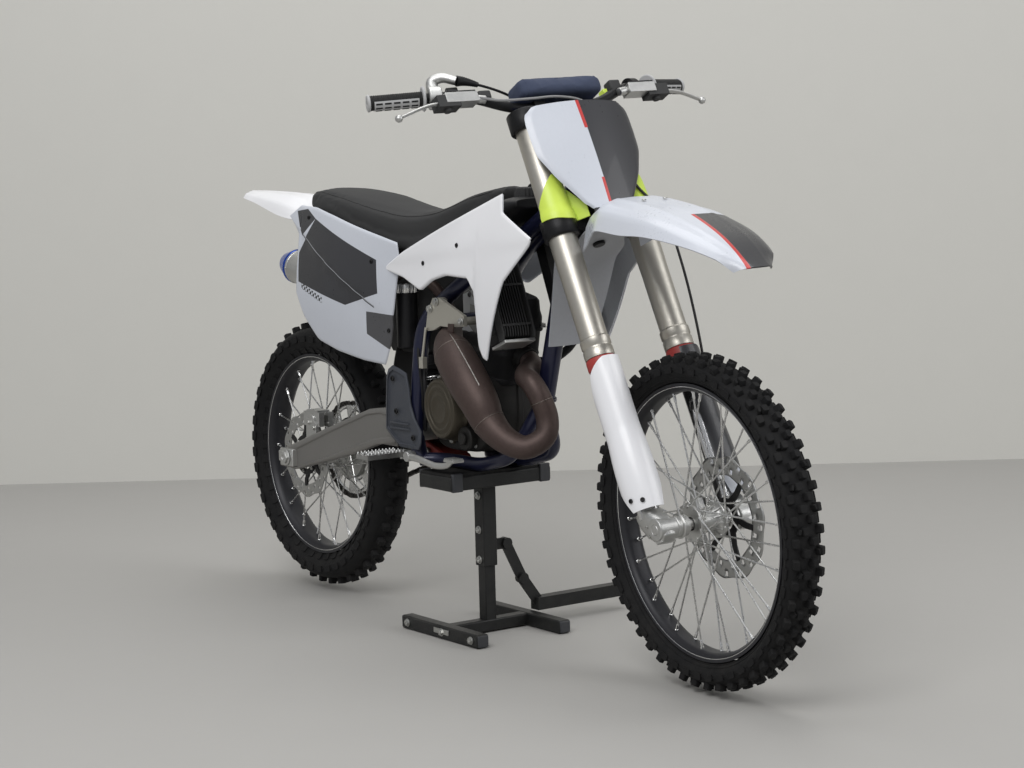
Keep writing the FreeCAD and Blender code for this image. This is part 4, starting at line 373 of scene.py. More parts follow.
def rod(start: Sequence[float], end: Sequence[float], radius: float, sides: int = 24, edge: float = 0.0,
        end_radius: Optional[float] = None) -> Shape:
    """A round bar between two points, with its ends' edges taken off.

    Args:
        start: middle of one end.
        end: middle of the other.
        radius: its radius.
        sides: points round it.
        edge: width of the bevel, or zero for an eighth of the radius.
        end_radius: radius at the far end, where it differs.

    Returns:
        The bar.
    """
    a, b = np.asarray(start, float), np.asarray(end, float)
    length = float(np.linalg.norm(b - a))
    last = radius if end_radius is None else end_radius
    e = edge or min(radius, last) * 0.12
    body = turned([(radius - e, 0), (radius, e), (last, length - e), (last - e, length)], sides)
    return body.moved(a, aims(b - a)[0])


def pipe_ring(start: Sequence[float], end: Sequence[float], outer: float, inner: float,
              sides: int = 32) -> Shape:
    """A sleeve between two points: a closed rectangle carried round their line.

    Args:
        start: middle of one end.
        end: middle of the other.
        outer: outer radius.
        inner: radius of the bore.
        sides: points round it.

    Returns:
        The sleeve.
    """
    a, b = np.asarray(start, float), np.asarray(end, float)
    n, e = float(np.linalg.norm(b - a)), (outer - inner) * 0.15
    profile = [(inner, 0), (outer - e, 0), (outer, e), (outer, n - e), (outer - e, n), (inner, n)]
    return turned(profile, sides, closed=True).moved(a, aims(b - a)[0])


def box(low: Sequence[float], high: Sequence[float]) -> Shape:
    """A box between two corners.

    Args:
        low: the corner with the lowest x, y and z.
        high: the corner with the highest.

    Returns:
        The box.
    """
    x, y, z = np.array([low, high], float).T
    ring = np.array([[x[0], y[0]], [x[1], y[0]], [x[1], y[1]], [x[0], y[1]]])
    return lofted([np.column_stack([ring, np.full(4, h)]) for h in z])


def plate(outline: Array, low: float, high: float, axis: int = 1) -> Shape:
    """A flat outline in the other two axes, filled between two distances along one axis."""
    q = np.asarray(outline, float)
    return lofted([np.insert(q, axis, side, axis=1) for side in (low, high)])


def shell(points: Array, wall: float) -> Shape:
    """A thin closed sheet: the grid, and the grid pushed along its own normals by the wall.

    Args:
        points: grid of the outer face.
        wall: thickness, towards the cross product of the column and row directions.

    Returns:
        The closed sheet.
    """
    u, v = np.gradient(points, axis=0), np.gradient(points, axis=1)
    n = np.cross(v, u)
    n = n / np.maximum(np.linalg.norm(n, axis=2, keepdims=True), 1e-9)
    loops = np.concatenate([points, (points + n * wall)[:, ::-1]], axis=1)
    body = grid(loops, wrap_v=True)
    rows, width = points.shape[:2]
    j = np.arange(width - 1)
    end = np.stack([j, j + 1, 2 * width - 2 - j, 2 * width - 1 - j], -1)
    return Shape(body.points, body.faces + [end, end[:, ::-1] + (rows - 1) * 2 * width])


def fixed(head: Shape, places: Sequence[Sequence[float]], directions: Sequence[object]) -> Shape:
    """Copies of a screw's head, one at each place; one direction serves all, or each has its own."""
    return repeated(head, aims(np.broadcast_to(np.asarray(directions, float), (len(places), 3))), places)


def hexes(places: Sequence[Sequence[float]], directions: Sequence[object], across: float = 8.0,
          height: float = 4.0) -> Shape:
    """Flanged hexagon screws: a low round flange with a six-sided head on it, at each place.

    Args:
        places: middle of each flange's foot.
        directions: which way the heads point.
        across: width over the flats.
        height: height of a head.

    Returns:
        The screws.
    """
    r = across / math.sqrt(3)
    flange = turned([(r * 1.02, 0), (r * 1.25, 0), (r * 1.22, height * 0.25), (r * 0.9, height * 0.4)], 18)
    head = turned([(r, height * 0.3), (r, height * 0.92), (r * 0.88, height), (r * 0.4, height),
                   (r * 0.36, height * 0.75)], 6)
    return fixed(flange + head, places, directions)


def studs(places: Sequence[Sequence[float]], directions: Sequence[object], radius: float = 4.0,
          height: float = 3.0) -> Shape:
    """Round-headed screws with a sunk six-sided socket, at each place.

    Args:
        places: middle of each head's foot.
        directions: which way the heads point.
        radius: radius of a head.
        height: its height.

    Returns:
        The screws.
    """
    head = turned([(radius * 0.8, 0), (radius, 0), (radius, height * 0.6), (radius * 0.82, height),
                   (radius * 0.5, height), (radius * 0.46, height * 0.4)], 12)
    return fixed(head, places, directions)


# Finishes

class Pattern(Enum):
    """Fine relief of a surface."""

    GRAIN = "grain"
    BRUSHED = "brushed"
    WOVEN = "woven"
    RIBBED = "ribbed"


Socket = bpy.types.NodeSocket


class Graph:
    """Adds nodes to a tree; an input may be a value or another node's output."""

    def __init__(self, tree: bpy.types.NodeTree) -> None:
        """Keeps the tree."""
        self.tree = tree

    def add(self, kind: str, inputs: dict[int | str, object], **settings: object) -> bpy.types.Node:
        """Adds a node.

        Args:
            kind: type name without its ShaderNode prefix.
            inputs: values or sockets by input name or number.
            settings: properties of the node.

        Returns:
            The node.
        """
        node = self.tree.nodes.new(kind if kind.startswith("Node") else "ShaderNode" + kind)
        for name, value in settings.items():
            setattr(node, name, value)
        for key, value in inputs.items():
            if isinstance(value, Socket):
                self.tree.links.new(value, node.inputs[key])
            else:
                node.inputs[key].default_value = value
        return node

    def group(self, name: str, inputs: dict[str, object]) -> bpy.types.Node:
        """Places a named group with its inputs."""
        return self.add("Group", inputs, node_tree=bpy.data.node_groups[name])

    def maths(self, operation: str, a: object, b: object = 0.0) -> Socket:
        """Gives the result of one operation on two values."""
        return self.add("Math", {0: a, 1: b}, operation=operation).outputs[0]


def new_group(name: str, inputs: dict[str, str], outputs: dict[str, str],
              build: Callable[[Graph, bpy.types.Node], dict[str, Socket]]) -> None:
    """Makes a shader node group once.

    Args:
        name: the group's name.
        inputs: socket types by input name.
        outputs: socket types by output name.
        build: adds the nodes and gives the output sockets by name.
    """
    tree = bpy.data.node_groups.new(name, "ShaderNodeTree")
    for way, sockets in (("INPUT", inputs), ("OUTPUT", outputs)):
        for key, kind in sockets.items():
            tree.interface.new_socket(name=key, in_out=way, socket_type="NodeSocket" + kind)
    start, end = tree.nodes.new("NodeGroupInput"), tree.nodes.new("NodeGroupOutput")
    for key, socket in build(Graph(tree), start).items():
        tree.links.new(socket, end.inputs[key])


def build_tone(g: Graph, start: bpy.types.Node) -> dict[str, Socket]:
    """Colour that drifts lighter and darker over the surface, by two sizes of noise.

    Args:
        g: the group's graph.
        start: its input node.

    Returns:
        The colour, and the noise that moved it.
    """
    large = g.add("TexNoise", {"Vector": start.outputs["Vector"], "Scale": 9.0, "Detail": 4.0}).outputs[0]
    small = g.add("TexNoise", {"Vector": start.outputs["Vector"], "Scale": 160.0, "Detail": 3.0}).outputs[0]
    mixed = g.maths("ADD", large, small)
    shift = g.maths("MULTIPLY", g.maths("SUBTRACT", mixed, 1.0), start.outputs["Spread"])
    bright = g.add("HueSaturation", {"Color": start.outputs["Color"], "Value": g.maths("ADD", shift, 1.0)})
    return {"Color": bright.outputs[0], "Drift": mixed}


def build_dust(g: Graph, start: bpy.types.Node) -> dict[str, Socket]:
    """Pale dust that gathers in noisy patches, more of it low on the object and on faces that look up.

    Args:
        g: the group's graph.
        start: its input node.

    Returns:
        The dusty colour, and how much dust lies there.
    """
    parts = g.add("SeparateXYZ", {0: g.add("NewGeometry", {}).outputs["Normal"]})
    up = g.add("MapRange", {0: parts.outputs[2], 1: -0.2, 2: 1.0, 3: 0.35, 4: 1.0}).outputs[0]
    height = g.add("SeparateXYZ", {0: start.outputs["Vector"]}).outputs[2]
    low = g.add("MapRange", {0: height, 1: 0.0, 2: 0.7, 3: 1.0, 4: 0.35}).outputs[0]
    noise = g.add("TexNoise", {"Vector": start.outputs["Vector"], "Scale": 28.0, "Detail": 6.0,
                               "Roughness": 0.65}).outputs[0]
    patch = g.add("MapRange", {0: noise, 1: 0.35, 2: 0.75, 3: 0.0, 4: 1.0}).outputs[0]
    share = g.maths("MULTIPLY", g.maths("MULTIPLY", patch, up), low)
    mask = g.maths("MULTIPLY", share, start.outputs["Amount"])
    mix = g.add("Mix", {0: mask, 6: start.outputs["Color"], 7: start.outputs["Dust"]}, data_type="RGBA")
    return {"Color": mix.outputs[2], "Mask": mask}


def relief(g: Graph, start: bpy.types.Node, height: Socket) -> dict[str, Socket]:
    """Turns a height into a normal, by the group's strength."""
    bump = g.add("Bump", {"Height": height, "Strength": start.outputs["Strength"], "Distance": 0.001})
    return {"Normal": bump.outputs[0]}


def build_grain(g: Graph, start: bpy.types.Node) -> dict[str, Socket]:
    """Cast or moulded grain: fine noise over a coarser one.

    Args:
        g: the group's graph.
        start: its input node.

    Returns:
        The normal.
    """
    v, s = start.outputs["Vector"], start.outputs["Scale"]
    fine = g.add("TexNoise", {"Vector": v, "Scale": s, "Detail": 4.0}).outputs[0]
    coarse = g.add("TexNoise", {"Vector": v, "Scale": g.maths("MULTIPLY", s, 0.14), "Detail": 2.0}).outputs[0]
    return relief(g, start, g.maths("ADD", fine, coarse))


def build_brushed(g: Graph, start: bpy.types.Node) -> dict[str, Socket]:
    """Drawn or brushed lines: noise stretched along the upright axis.

    Args:
        g: the group's graph.
        start: its input node.

    Returns:
        The normal.
    """
    long = g.add("Mapping", {"Vector": start.outputs["Vector"], "Scale": (1.0, 1.0, 0.06)})
    noise = g.add("TexNoise", {"Vector": long.outputs[0], "Scale": start.outputs["Scale"], "Detail": 5.0})
    return relief(g, start, noise.outputs[0])


def build_woven(g: Graph, start: bpy.types.Node) -> dict[str, Socket]:
    """A weave: the higher of two crossing sets of fine waves.

    Args:
        g: the group's graph.
        start: its input node.

    Returns:
        The normal.
    """
    v, s = start.outputs["Vector"], start.outputs["Scale"]
    a = g.add("TexWave", {"Vector": v, "Scale": s}, bands_direction="X").outputs[1]
    b = g.add("TexWave", {"Vector": v, "Scale": s}, bands_direction="DIAGONAL").outputs[1]
    return relief(g, start, g.maths("MAXIMUM", a, b))


def build_ribbed(g: Graph, start: bpy.types.Node) -> dict[str, Socket]:
    """A gripper cover: narrow ribs along the bike, with a fine noise between them.

    Args:
        g: the group's graph.
        start: its input node.

    Returns:
        The normal.
    """
    v, s = start.outputs["Vector"], start.outputs["Scale"]
    ribs = g.add("TexWave", {"Vector": v, "Scale": g.maths("MULTIPLY", s, 0.22)},
                 bands_direction="X").outputs[1]
    noise = g.add("TexNoise", {"Vector": v, "Scale": g.maths("MULTIPLY", s, 4.0)}).outputs[0]
    return relief(g, start, g.maths("ADD", ribs, g.maths("MULTIPLY", noise, 0.6)))


def build_half(g: Graph, start: bpy.types.Node) -> dict[str, Socket]:
    """A mask that is one on the side of a plane that its normal points to.

    Args:
        g: the group's graph.
        start: its input node.

    Returns:
        The mask, with an edge 0.6 mm wide.
    """
    dot = g.add("VectorMath", {0: start.outputs["Vector"], 1: start.outputs["Plane"]}, operation="DOT_PRODUCT")
    past = g.maths("SUBTRACT", dot.outputs["Value"], start.outputs["Offset"])
    return {"Mask": g.add("MapRange", {0: past, 1: -0.0003, 2: 0.0003, 3: 0.0, 4: 1.0}).outputs[0]}


def build_groups() -> None:
    """Makes every node group that the finishes share."""
    new_group("tone", {"Vector": "Vector", "Color": "Color", "Spread": "Float"},
              {"Color": "Color", "Drift": "Float"}, build_tone)
    new_group("dust", {"Vector": "Vector", "Color": "Color", "Dust": "Color", "Amount": "Float"},
              {"Color": "Color", "Mask": "Float"}, build_dust)
    for pattern, build in ((Pattern.GRAIN, build_grain), (Pattern.BRUSHED, build_brushed),
                           (Pattern.WOVEN, build_woven), (Pattern.RIBBED, build_ribbed)):
        new_group(pattern.value, {"Vector": "Vector", "Scale": "Float", "Strength": "Float"},
                  {"Normal": "Vector"}, build)
    new_group("half", {"Vector": "Vector", "Plane": "Vector", "Offset": "Float"}, {"Mask": "Float"}, build_half)


@dataclass(frozen=True)
class Area:
    """A painted area: the part of space inside all its planes, each a normal and an offset in metres."""

    colour: Colour
    planes: tuple[tuple[Colour, float], ...]
    checker: float = 0.0


def painted(colour: Colour, place: Place, outline: Sequence[Sequence[float]], axes: tuple[int, int] = (0, 2),
            checker: float = 0.0) -> Area:
    """A painted area from a convex outline drawn in two axes of a frame.

    Args:
        colour: its colour.
        place: the drawing frame.
        outline: corners in order.
        axes: the two drawing axes of the corners.
        checker: side of its squares in metres, or zero for plain paint.

    Returns:
        The area, with each edge made a plane that faces the outline's middle.
    """
    q = np.asarray(outline, float)
    edge = np.roll(q, -1, axis=0) - q
    inward = np.stack([-edge[:, 1], edge[:, 0]], -1) / np.linalg.norm(edge, axis=1, keepdims=True)
    inward *= np.sign(((q.mean(axis=0) - q) * inward).sum(axis=1, keepdims=True))
    normals, points = np.zeros((len(q), 3)), np.zeros((len(q), 3))
    normals[:, axes], points[:, axes] = inward, q
    world = normals @ place.turn.T
    offsets = (world * place.put(points)).sum(axis=1)
    return Area(colour, tuple((tuple(n), float(o)) for n, o in zip(world, offsets)), checker)


DUSTY = (0.36, 0.33, 0.29, 1.0)


@dataclass(frozen=True)
class Finish:
    """One surface finish."""

    name: str
    colour: Colour
    rough: float
    metallic: float = 0.0
    coat: float = 0.0
    spread: float = 0.12
    pattern: Pattern = Pattern.GRAIN
    scale: float = 900.0
    relief: float = 0.25
    dust: float = 0.05
    sheen: float = 0.0
    gloss: float = 0.5
    areas: tuple[Area, ...] = ()

    def material(self) -> bpy.types.Material:
        """Makes the material the first time, and gives it after that.

        Returns:
            The material.
        """
        found = bpy.data.materials.get(self.name)
        if found is not None:
            return found
        made = bpy.data.materials.new(self.name)
        made.use_nodes = True
        made.node_tree.nodes.clear()
        g = Graph(made.node_tree)
        place = g.add("TexCoord", {}).outputs["Object"]
        colour: object = (*self.colour, 1.0)
        for area in self.areas:
            colour = self.over(g, place, colour, area)
        tone = g.group("tone", {"Vector": place, "Color": colour, "Spread": self.spread})
        dust = g.group("dust", {"Vector": place, "Color": tone.outputs["Color"], "Dust": DUSTY, "Amount": self.dust})
        drift = g.maths("MULTIPLY", g.maths("SUBTRACT", tone.outputs["Drift"], 1.0), 0.22)
        rough = g.maths("ADD", g.maths("ADD", drift, g.maths("MULTIPLY", dust.outputs["Mask"], 0.3)), self.rough)
        normal = g.group(self.pattern.value, {"Vector": place, "Scale": self.scale, "Strength": self.relief})
        shader = g.add("BsdfPrincipled", {"Base Color": dust.outputs["Color"], "Roughness": rough,
                                          "Metallic": self.metallic, "Coat Weight": self.coat,
                                          "Sheen Weight": self.sheen, "Specular IOR Level": self.gloss,
                                          "Normal": normal.outputs["Normal"]})
        g.add("OutputMaterial", {"Surface": shader.outputs[0]})
        return made

    def over(self, g: Graph, place: Socket, colour: object, area: Area) -> Socket:
        """Lays a painted area over a colour.

        Args:
            g: the material's graph.
            place: the coordinates.
            colour: what lies under it.
            area: the painted area.

        Returns:
            The colour with the area.
        """
        mask: object = 1.0
        for plane, offset in area.planes:
            half = g.group("half", {"Vector": place, "Plane": plane, "Offset": offset}).outputs["Mask"]
            mask = g.maths("MULTIPLY", mask, half)
        if area.checker:
            flat = g.add("Mapping", {"Vector": place, "Rotation": (0.0, -0.35, 0.0), "Scale": (1.0, 0.0, 1.0)})
            squares = g.add("TexChecker", {"Vector": flat.outputs[0], "Scale": 1.0 / area.checker}).outputs[1]
            mask = g.maths("MULTIPLY", mask, squares)
        return g.add("Mix", {0: mask, 6: colour, 7: (*area.colour, 1.0)}, data_type="RGBA").outputs[2]


CHARCOAL: Colour = (0.033, 0.033, 0.037)
RED: Colour = (0.52, 0.045, 0.04)
WHITE: Colour = (0.57, 0.593, 0.645)
TYRE = Finish("tyre_rubber", (0.009, 0.009, 0.0095), 0.72, spread=0.5, scale=700, relief=0.5, dust=0.05, gloss=0.2)
BLACK_RIM = Finish("rim_black", (0.008, 0.008, 0.009), 0.34, coat=0.15, spread=0.3, relief=0.08, dust=0.06, gloss=0.4)
POLISHED = Finish("polished_alloy", (0.72, 0.72, 0.71), 0.22, metallic=1.0, relief=0.05, dust=0.05)
CAST = Finish("cast_alloy", (0.55, 0.55, 0.535), 0.42, metallic=1.0, spread=0.2, scale=650, relief=0.35, dust=0.1)
SWING_CAST = Finish("cast_arm", (0.27, 0.262, 0.25), 0.5, metallic=0.85, spread=0.18, scale=500, relief=0.4)
STEEL = Finish("ground_steel", (0.42, 0.42, 0.41), 0.32, metallic=1.0, pattern=Pattern.BRUSHED, scale=800)
SPOKE = Finish("spoke_steel", (0.6, 0.6, 0.59), 0.28, metallic=1.0, relief=0.05)
ZINC = Finish("zinc_bolts", (0.5, 0.5, 0.48), 0.35, metallic=1.0, relief=0.1)
DARK_STEEL = Finish("oiled_steel", (0.09, 0.085, 0.08), 0.42, metallic=0.9, spread=0.4)
CHAMPAGNE = Finish("champagne_tube", (0.52, 0.495, 0.44), 0.42, metallic=0.95, pattern=Pattern.BRUSHED,
                   scale=420, relief=0.04, spread=0.05, dust=0.01)
CHROME = Finish("hard_chrome", (0.66, 0.66, 0.66), 0.12, metallic=1.0, relief=0.03, dust=0.03)
RED_RUBBER = Finish("red_ring", (0.36, 0.035, 0.03), 0.45)
BLACK_METAL = Finish("black_anodised", (0.009, 0.009, 0.01), 0.4, metallic=0.3, spread=0.3, relief=0.2, gloss=0.3)
BLACK_PLASTIC = Finish("black_plastic", (0.01, 0.01, 0.011), 0.55, spread=0.3, scale=1400, relief=0.3, gloss=0.25)
GREY_PLASTIC = Finish("grey_plastic", (0.045, 0.05, 0.062), 0.5, spread=0.2, scale=1200, relief=0.3)
GRIP_BLACK = Finish("grip_black", (0.012, 0.012, 0.012), 0.62, relief=0.4, gloss=0.3)
GRIP_GREY = Finish("grip_grey", (0.42, 0.42, 0.42), 0.6, relief=0.4)
WHITE_PLAIN = Finish("white_plastic", WHITE, 0.34, coat=0.15, spread=0.04, relief=0.05, dust=0.015)
INSIDE_GREY = Finish("raw_inside", (0.66, 0.68, 0.72), 0.5, relief=0.1, dust=0.02)
# The fender tail's white plastic darkened to grey: painted shade of its underside, with some dirt.
FLAP_SHADE_AND_DIRT = Finish("flap_shade_and_dirt", (0.37, 0.38, 0.405), 0.5, relief=0.1, dust=0.04)
YELLOW = Finish("bright_yellow", (0.62, 0.78, 0.1), 0.4, spread=0.06, relief=0.05, dust=0.02)
SEAT_COVER = Finish("seat_cover", (0.012, 0.012, 0.014), 0.7, pattern=Pattern.RIBBED, scale=900, relief=0.6,
                    sheen=0.05, spread=0.3, dust=0.03, gloss=0.35)
PAD_COVER = Finish("pad_cover", (0.012, 0.014, 0.032), 0.6, pattern=Pattern.WOVEN, scale=700, relief=0.4,
                   sheen=0.15, spread=0.2)
BLUE_FRAME = Finish("blue_frame", (0.009, 0.011, 0.036), 0.36, metallic=0.3, coat=0.3, spread=0.25,
                    relief=0.08, gloss=0.4)
CASE = Finish("case_cast", (0.022, 0.021, 0.02), 0.52, metallic=0.5, spread=0.4, scale=500, relief=0.5, gloss=0.3)
BARREL = Finish("barrel_black", (0.011, 0.011, 0.012), 0.58, metallic=0.3, spread=0.4, scale=500, relief=0.5,
                gloss=0.25)
BRONZE = Finish("bronze_cover", (0.07, 0.06, 0.043), 0.46, metallic=0.6, spread=0.2, scale=600, relief=0.3)
PIPE = Finish("heat_steel", (0.082, 0.058, 0.052), 0.52, metallic=0.6, spread=0.45, scale=260, relief=0.3,
              dust=0.06, gloss=0.35)
WELD = Finish("weld_bead", (0.2, 0.17, 0.15), 0.42, metallic=0.85, scale=900, relief=0.8)
BRIGHT_WELD = Finish("bright_bead", (0.5, 0.48, 0.45), 0.35, metallic=1.0, scale=900, relief=0.8)
IVORY = Finish("head_stay_alloy", (0.5, 0.48, 0.42), 0.42, metallic=0.7, relief=0.2)
BLUE_CAP = Finish("blue_anodised", (0.02, 0.075, 0.42), 0.28, metallic=0.8, relief=0.08)
HOSE = Finish("hose_rubber", (0.009, 0.009, 0.01), 0.5, relief=0.2, gloss=0.25)
RED_METAL = Finish("red_anodised", (0.19, 0.02, 0.015), 0.4, metallic=0.6)
STAND_PAINT = Finish("stand_paint", (0.009, 0.0095, 0.0095), 0.44, spread=0.4, scale=300, relief=0.3,
                     dust=0.07, gloss=0.35)
RUBBER_MAT = Finish("platform_rubber", (0.012, 0.012, 0.012), 0.78, relief=0.6, dust=0.08, gloss=0.2)
CORNER = Finish("corner_plastic", (0.03, 0.032, 0.037), 0.5, relief=0.3, dust=0.08)
TANK_PLASTIC = Finish("tank_black", (0.013, 0.013, 0.014), 0.45, relief=0.15, gloss=0.35)


def placed(name: str, data: bpy.types.ID) -> bpy.types.Object:
    """Makes an object of its data and links it to the scene.

    Args:
        name: the object's name.
        data: its mesh, lamp or camera.

    Returns:
        The object.
    """
    made = bpy.data.objects.new(name, data)
    bpy.context.scene.collection.objects.link(made)
    return made


def piece(name: str, shape: Shape, place: Place, finish: Finish, replaces: Sequence[str] = (),
          slot: Optional[str] = None, bevel: float = 0.0, levels: int = 0, sharp: float = 38.0
          ) -> bpy.types.Object:
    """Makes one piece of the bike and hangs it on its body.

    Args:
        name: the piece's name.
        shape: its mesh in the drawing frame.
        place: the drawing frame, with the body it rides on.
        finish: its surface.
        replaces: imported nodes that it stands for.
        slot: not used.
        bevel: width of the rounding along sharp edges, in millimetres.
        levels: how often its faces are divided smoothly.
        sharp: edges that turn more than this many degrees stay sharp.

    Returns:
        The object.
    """
    mesh = bpy.data.meshes.new(name)
    mesh.from_pydata(place.put(shape.points).tolist(), [], [f for part in shape.faces for f in part.tolist()])
    cleaned = bmesh.new()
    cleaned.from_mesh(mesh)
    bmesh.ops.remove_doubles(cleaned, verts=cleaned.verts, dist=1e-6)
    bmesh.ops.recalc_face_normals(cleaned, faces=cleaned.faces)
    cleaned.to_mesh(mesh)
    cleaned.free()
    mesh.shade_smooth()
    mesh.set_sharp_from_angle(angle=math.radians(sharp))
    mesh.materials.append(finish.material())
    made = placed(name, mesh)
    if bevel:
        rounding = made.modifiers.new("rounding", "BEVEL")
        rounding.width, rounding.segments, rounding.limit_method = bevel * MM, 2, "ANGLE"
        rounding.angle_limit = math.radians(40)
    if levels:
        finer = made.modifiers.new("finer", "SUBSURF")
        finer.levels = finer.render_levels = levels
    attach(made, place.body.value)
    if replaces:
        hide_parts(*replaces)
    log.info("%s: %d points", name, len(mesh.vertices))
    return made


def node_piece(name: str, shape: Shape, place: Place, finish: Finish, slot: str, **more: float
               ) -> bpy.types.Object:
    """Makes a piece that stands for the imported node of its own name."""
    return piece(name, shape, place, finish, [name], slot, **more)


def thickened(made: bpy.types.Object, thick: float) -> None:
    """Gives a flat sheet its thickness in millimetres, half of it to each side."""
    wall = made.modifiers.new("thickness", "SOLIDIFY")
    wall.thickness, wall.offset = thick * MM, 0.0


def coordinates(mesh: bpy.types.Mesh) -> Array:
    """Gives a mesh's points.

    Args:
        mesh: the mesh.

    Returns:
        An array of points by 3.
    """
    points = np.empty(len(mesh.vertices) * 3)
    mesh.vertices.foreach_get("co", points)
    return points.reshape(-1, 3)


def baked(made: bpy.types.Object) -> bpy.types.Mesh:
    """Gives a new mesh with the object's modifiers in it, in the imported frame."""
    depsgraph = bpy.context.evaluated_depsgraph_get()
    return bpy.data.meshes.new_from_object(made.evaluated_get(depsgraph), depsgraph=depsgraph)


# The cloth run of a padded cover: its pressure, its frames, and how wide in metres the columns are
# whose lowest share is held.
PAD_PRESSURE, PAD_FRAMES, PAD_COLUMN = 4.0, 20, 0.02


def stuffed(made: bpy.types.Object, voxel: float, cap: float, firm: float) -> None:
    """Swells a padded cover by simulated pressure, holds its underside, and keeps the result.

    The cover is given even cells, then cloth with a pressure inside runs. No point
    may move further than the cap, and points that start in the firm lowest share stay where they are.

    Args:
        made: the cover.
        voxel: size of its even cells in metres.
        cap: how far a point may move, in metres.
        firm: the lowest share of its height that is held.
    """
    cells = made.modifiers.new("cells", "REMESH")
    cells.mode, cells.voxel_size = "VOXEL", voxel
    mesh = baked(made)
    made.modifiers.clear()
    made.data = mesh
    start = coordinates(mesh)
    up = start[:, 2]
    column = np.round(start[:, 0] / PAD_COLUMN).astype(int)
    column -= column.min()
    low = np.full(column.max() + 1, 9.0)
    high = np.full(column.max() + 1, -9.0)
    np.minimum.at(low, column, up)
    np.maximum.at(high, column, up)
    held = np.nonzero(up < (low + (high - low) * firm)[column])[0]
    made.vertex_groups.new(name="held").add(held.tolist(), 1.0, "REPLACE")
    cloth = made.modifiers.new("swell", "CLOTH")
    cloth.settings.use_pressure = True
    cloth.settings.uniform_pressure_force = PAD_PRESSURE
    cloth.settings.effector_weights.gravity = 0.0
    cloth.settings.vertex_group_mass = "held"
    for step in range(1, PAD_FRAMES + 1):
        bpy.context.scene.frame_set(step)
    moved = coordinates(baked(made)) - start
    far = np.linalg.norm(moved, axis=1, keepdims=True)
    kept = start + moved * np.minimum(1, cap / np.maximum(far, 1e-9))
    mesh.vertices.foreach_set("co", kept.reshape(-1))
    made.modifiers.clear()
    made.vertex_groups.clear()
    bpy.context.scene.frame_set(1)
    log.info("%s: swelled by up to %.1f mm", made.name, float(far.max()) * 1000)
    mesh.shade_smooth()
    finer = made.modifiers.new("finer", "SUBSURF")
    finer.levels = finer.render_levels = 1


def stitched(made: bpy.types.Object, place: Place, path: Array, radius: float) -> Shape:
    """A sewn welt that lies on a cover: each point of its path goes to the nearest point of the cover.

    Args:
        made: the cover.
        place: the drawing frame.
        path: rough path in millimetres.
        radius: half the welt's thickness in millimetres.

    Returns:
        The welt in the drawing frame.
    """
    cover = coordinates(made.data)
    target = place.put(path)
    near = cover[np.argmin(((target[:, None] - cover[None]) ** 2).sum(axis=2), axis=1)]
    points = (near / MM - place.origin) @ place.turn
    kernel = np.ones(7) / 7
    inner = np.stack([np.convolve(np.pad(c, 3, mode="edge"), kernel, "valid") for c in points.T], -1)
    return tube(inner, radius, 6)


def dressed(node: str, finish: Finish) -> None:
    """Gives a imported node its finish.

    Args:
        node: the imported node's name.
        finish: its surface.
    """
    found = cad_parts[node]
    found.data.materials.clear()
    found.data.materials.append(finish.material())
    log.info("%s: packed node", node)


# The bike's sub-assemblies

@dataclass(frozen=True)
class KnobRow:
    """One row of tread knobs on both sides, or on the middle when its side is zero; sizes in millimetres."""

    side: float
    width: float
    length: float
    count: int
    phase: float = 0.0
    slant: float = 0.0
    height_share: float = 1.0


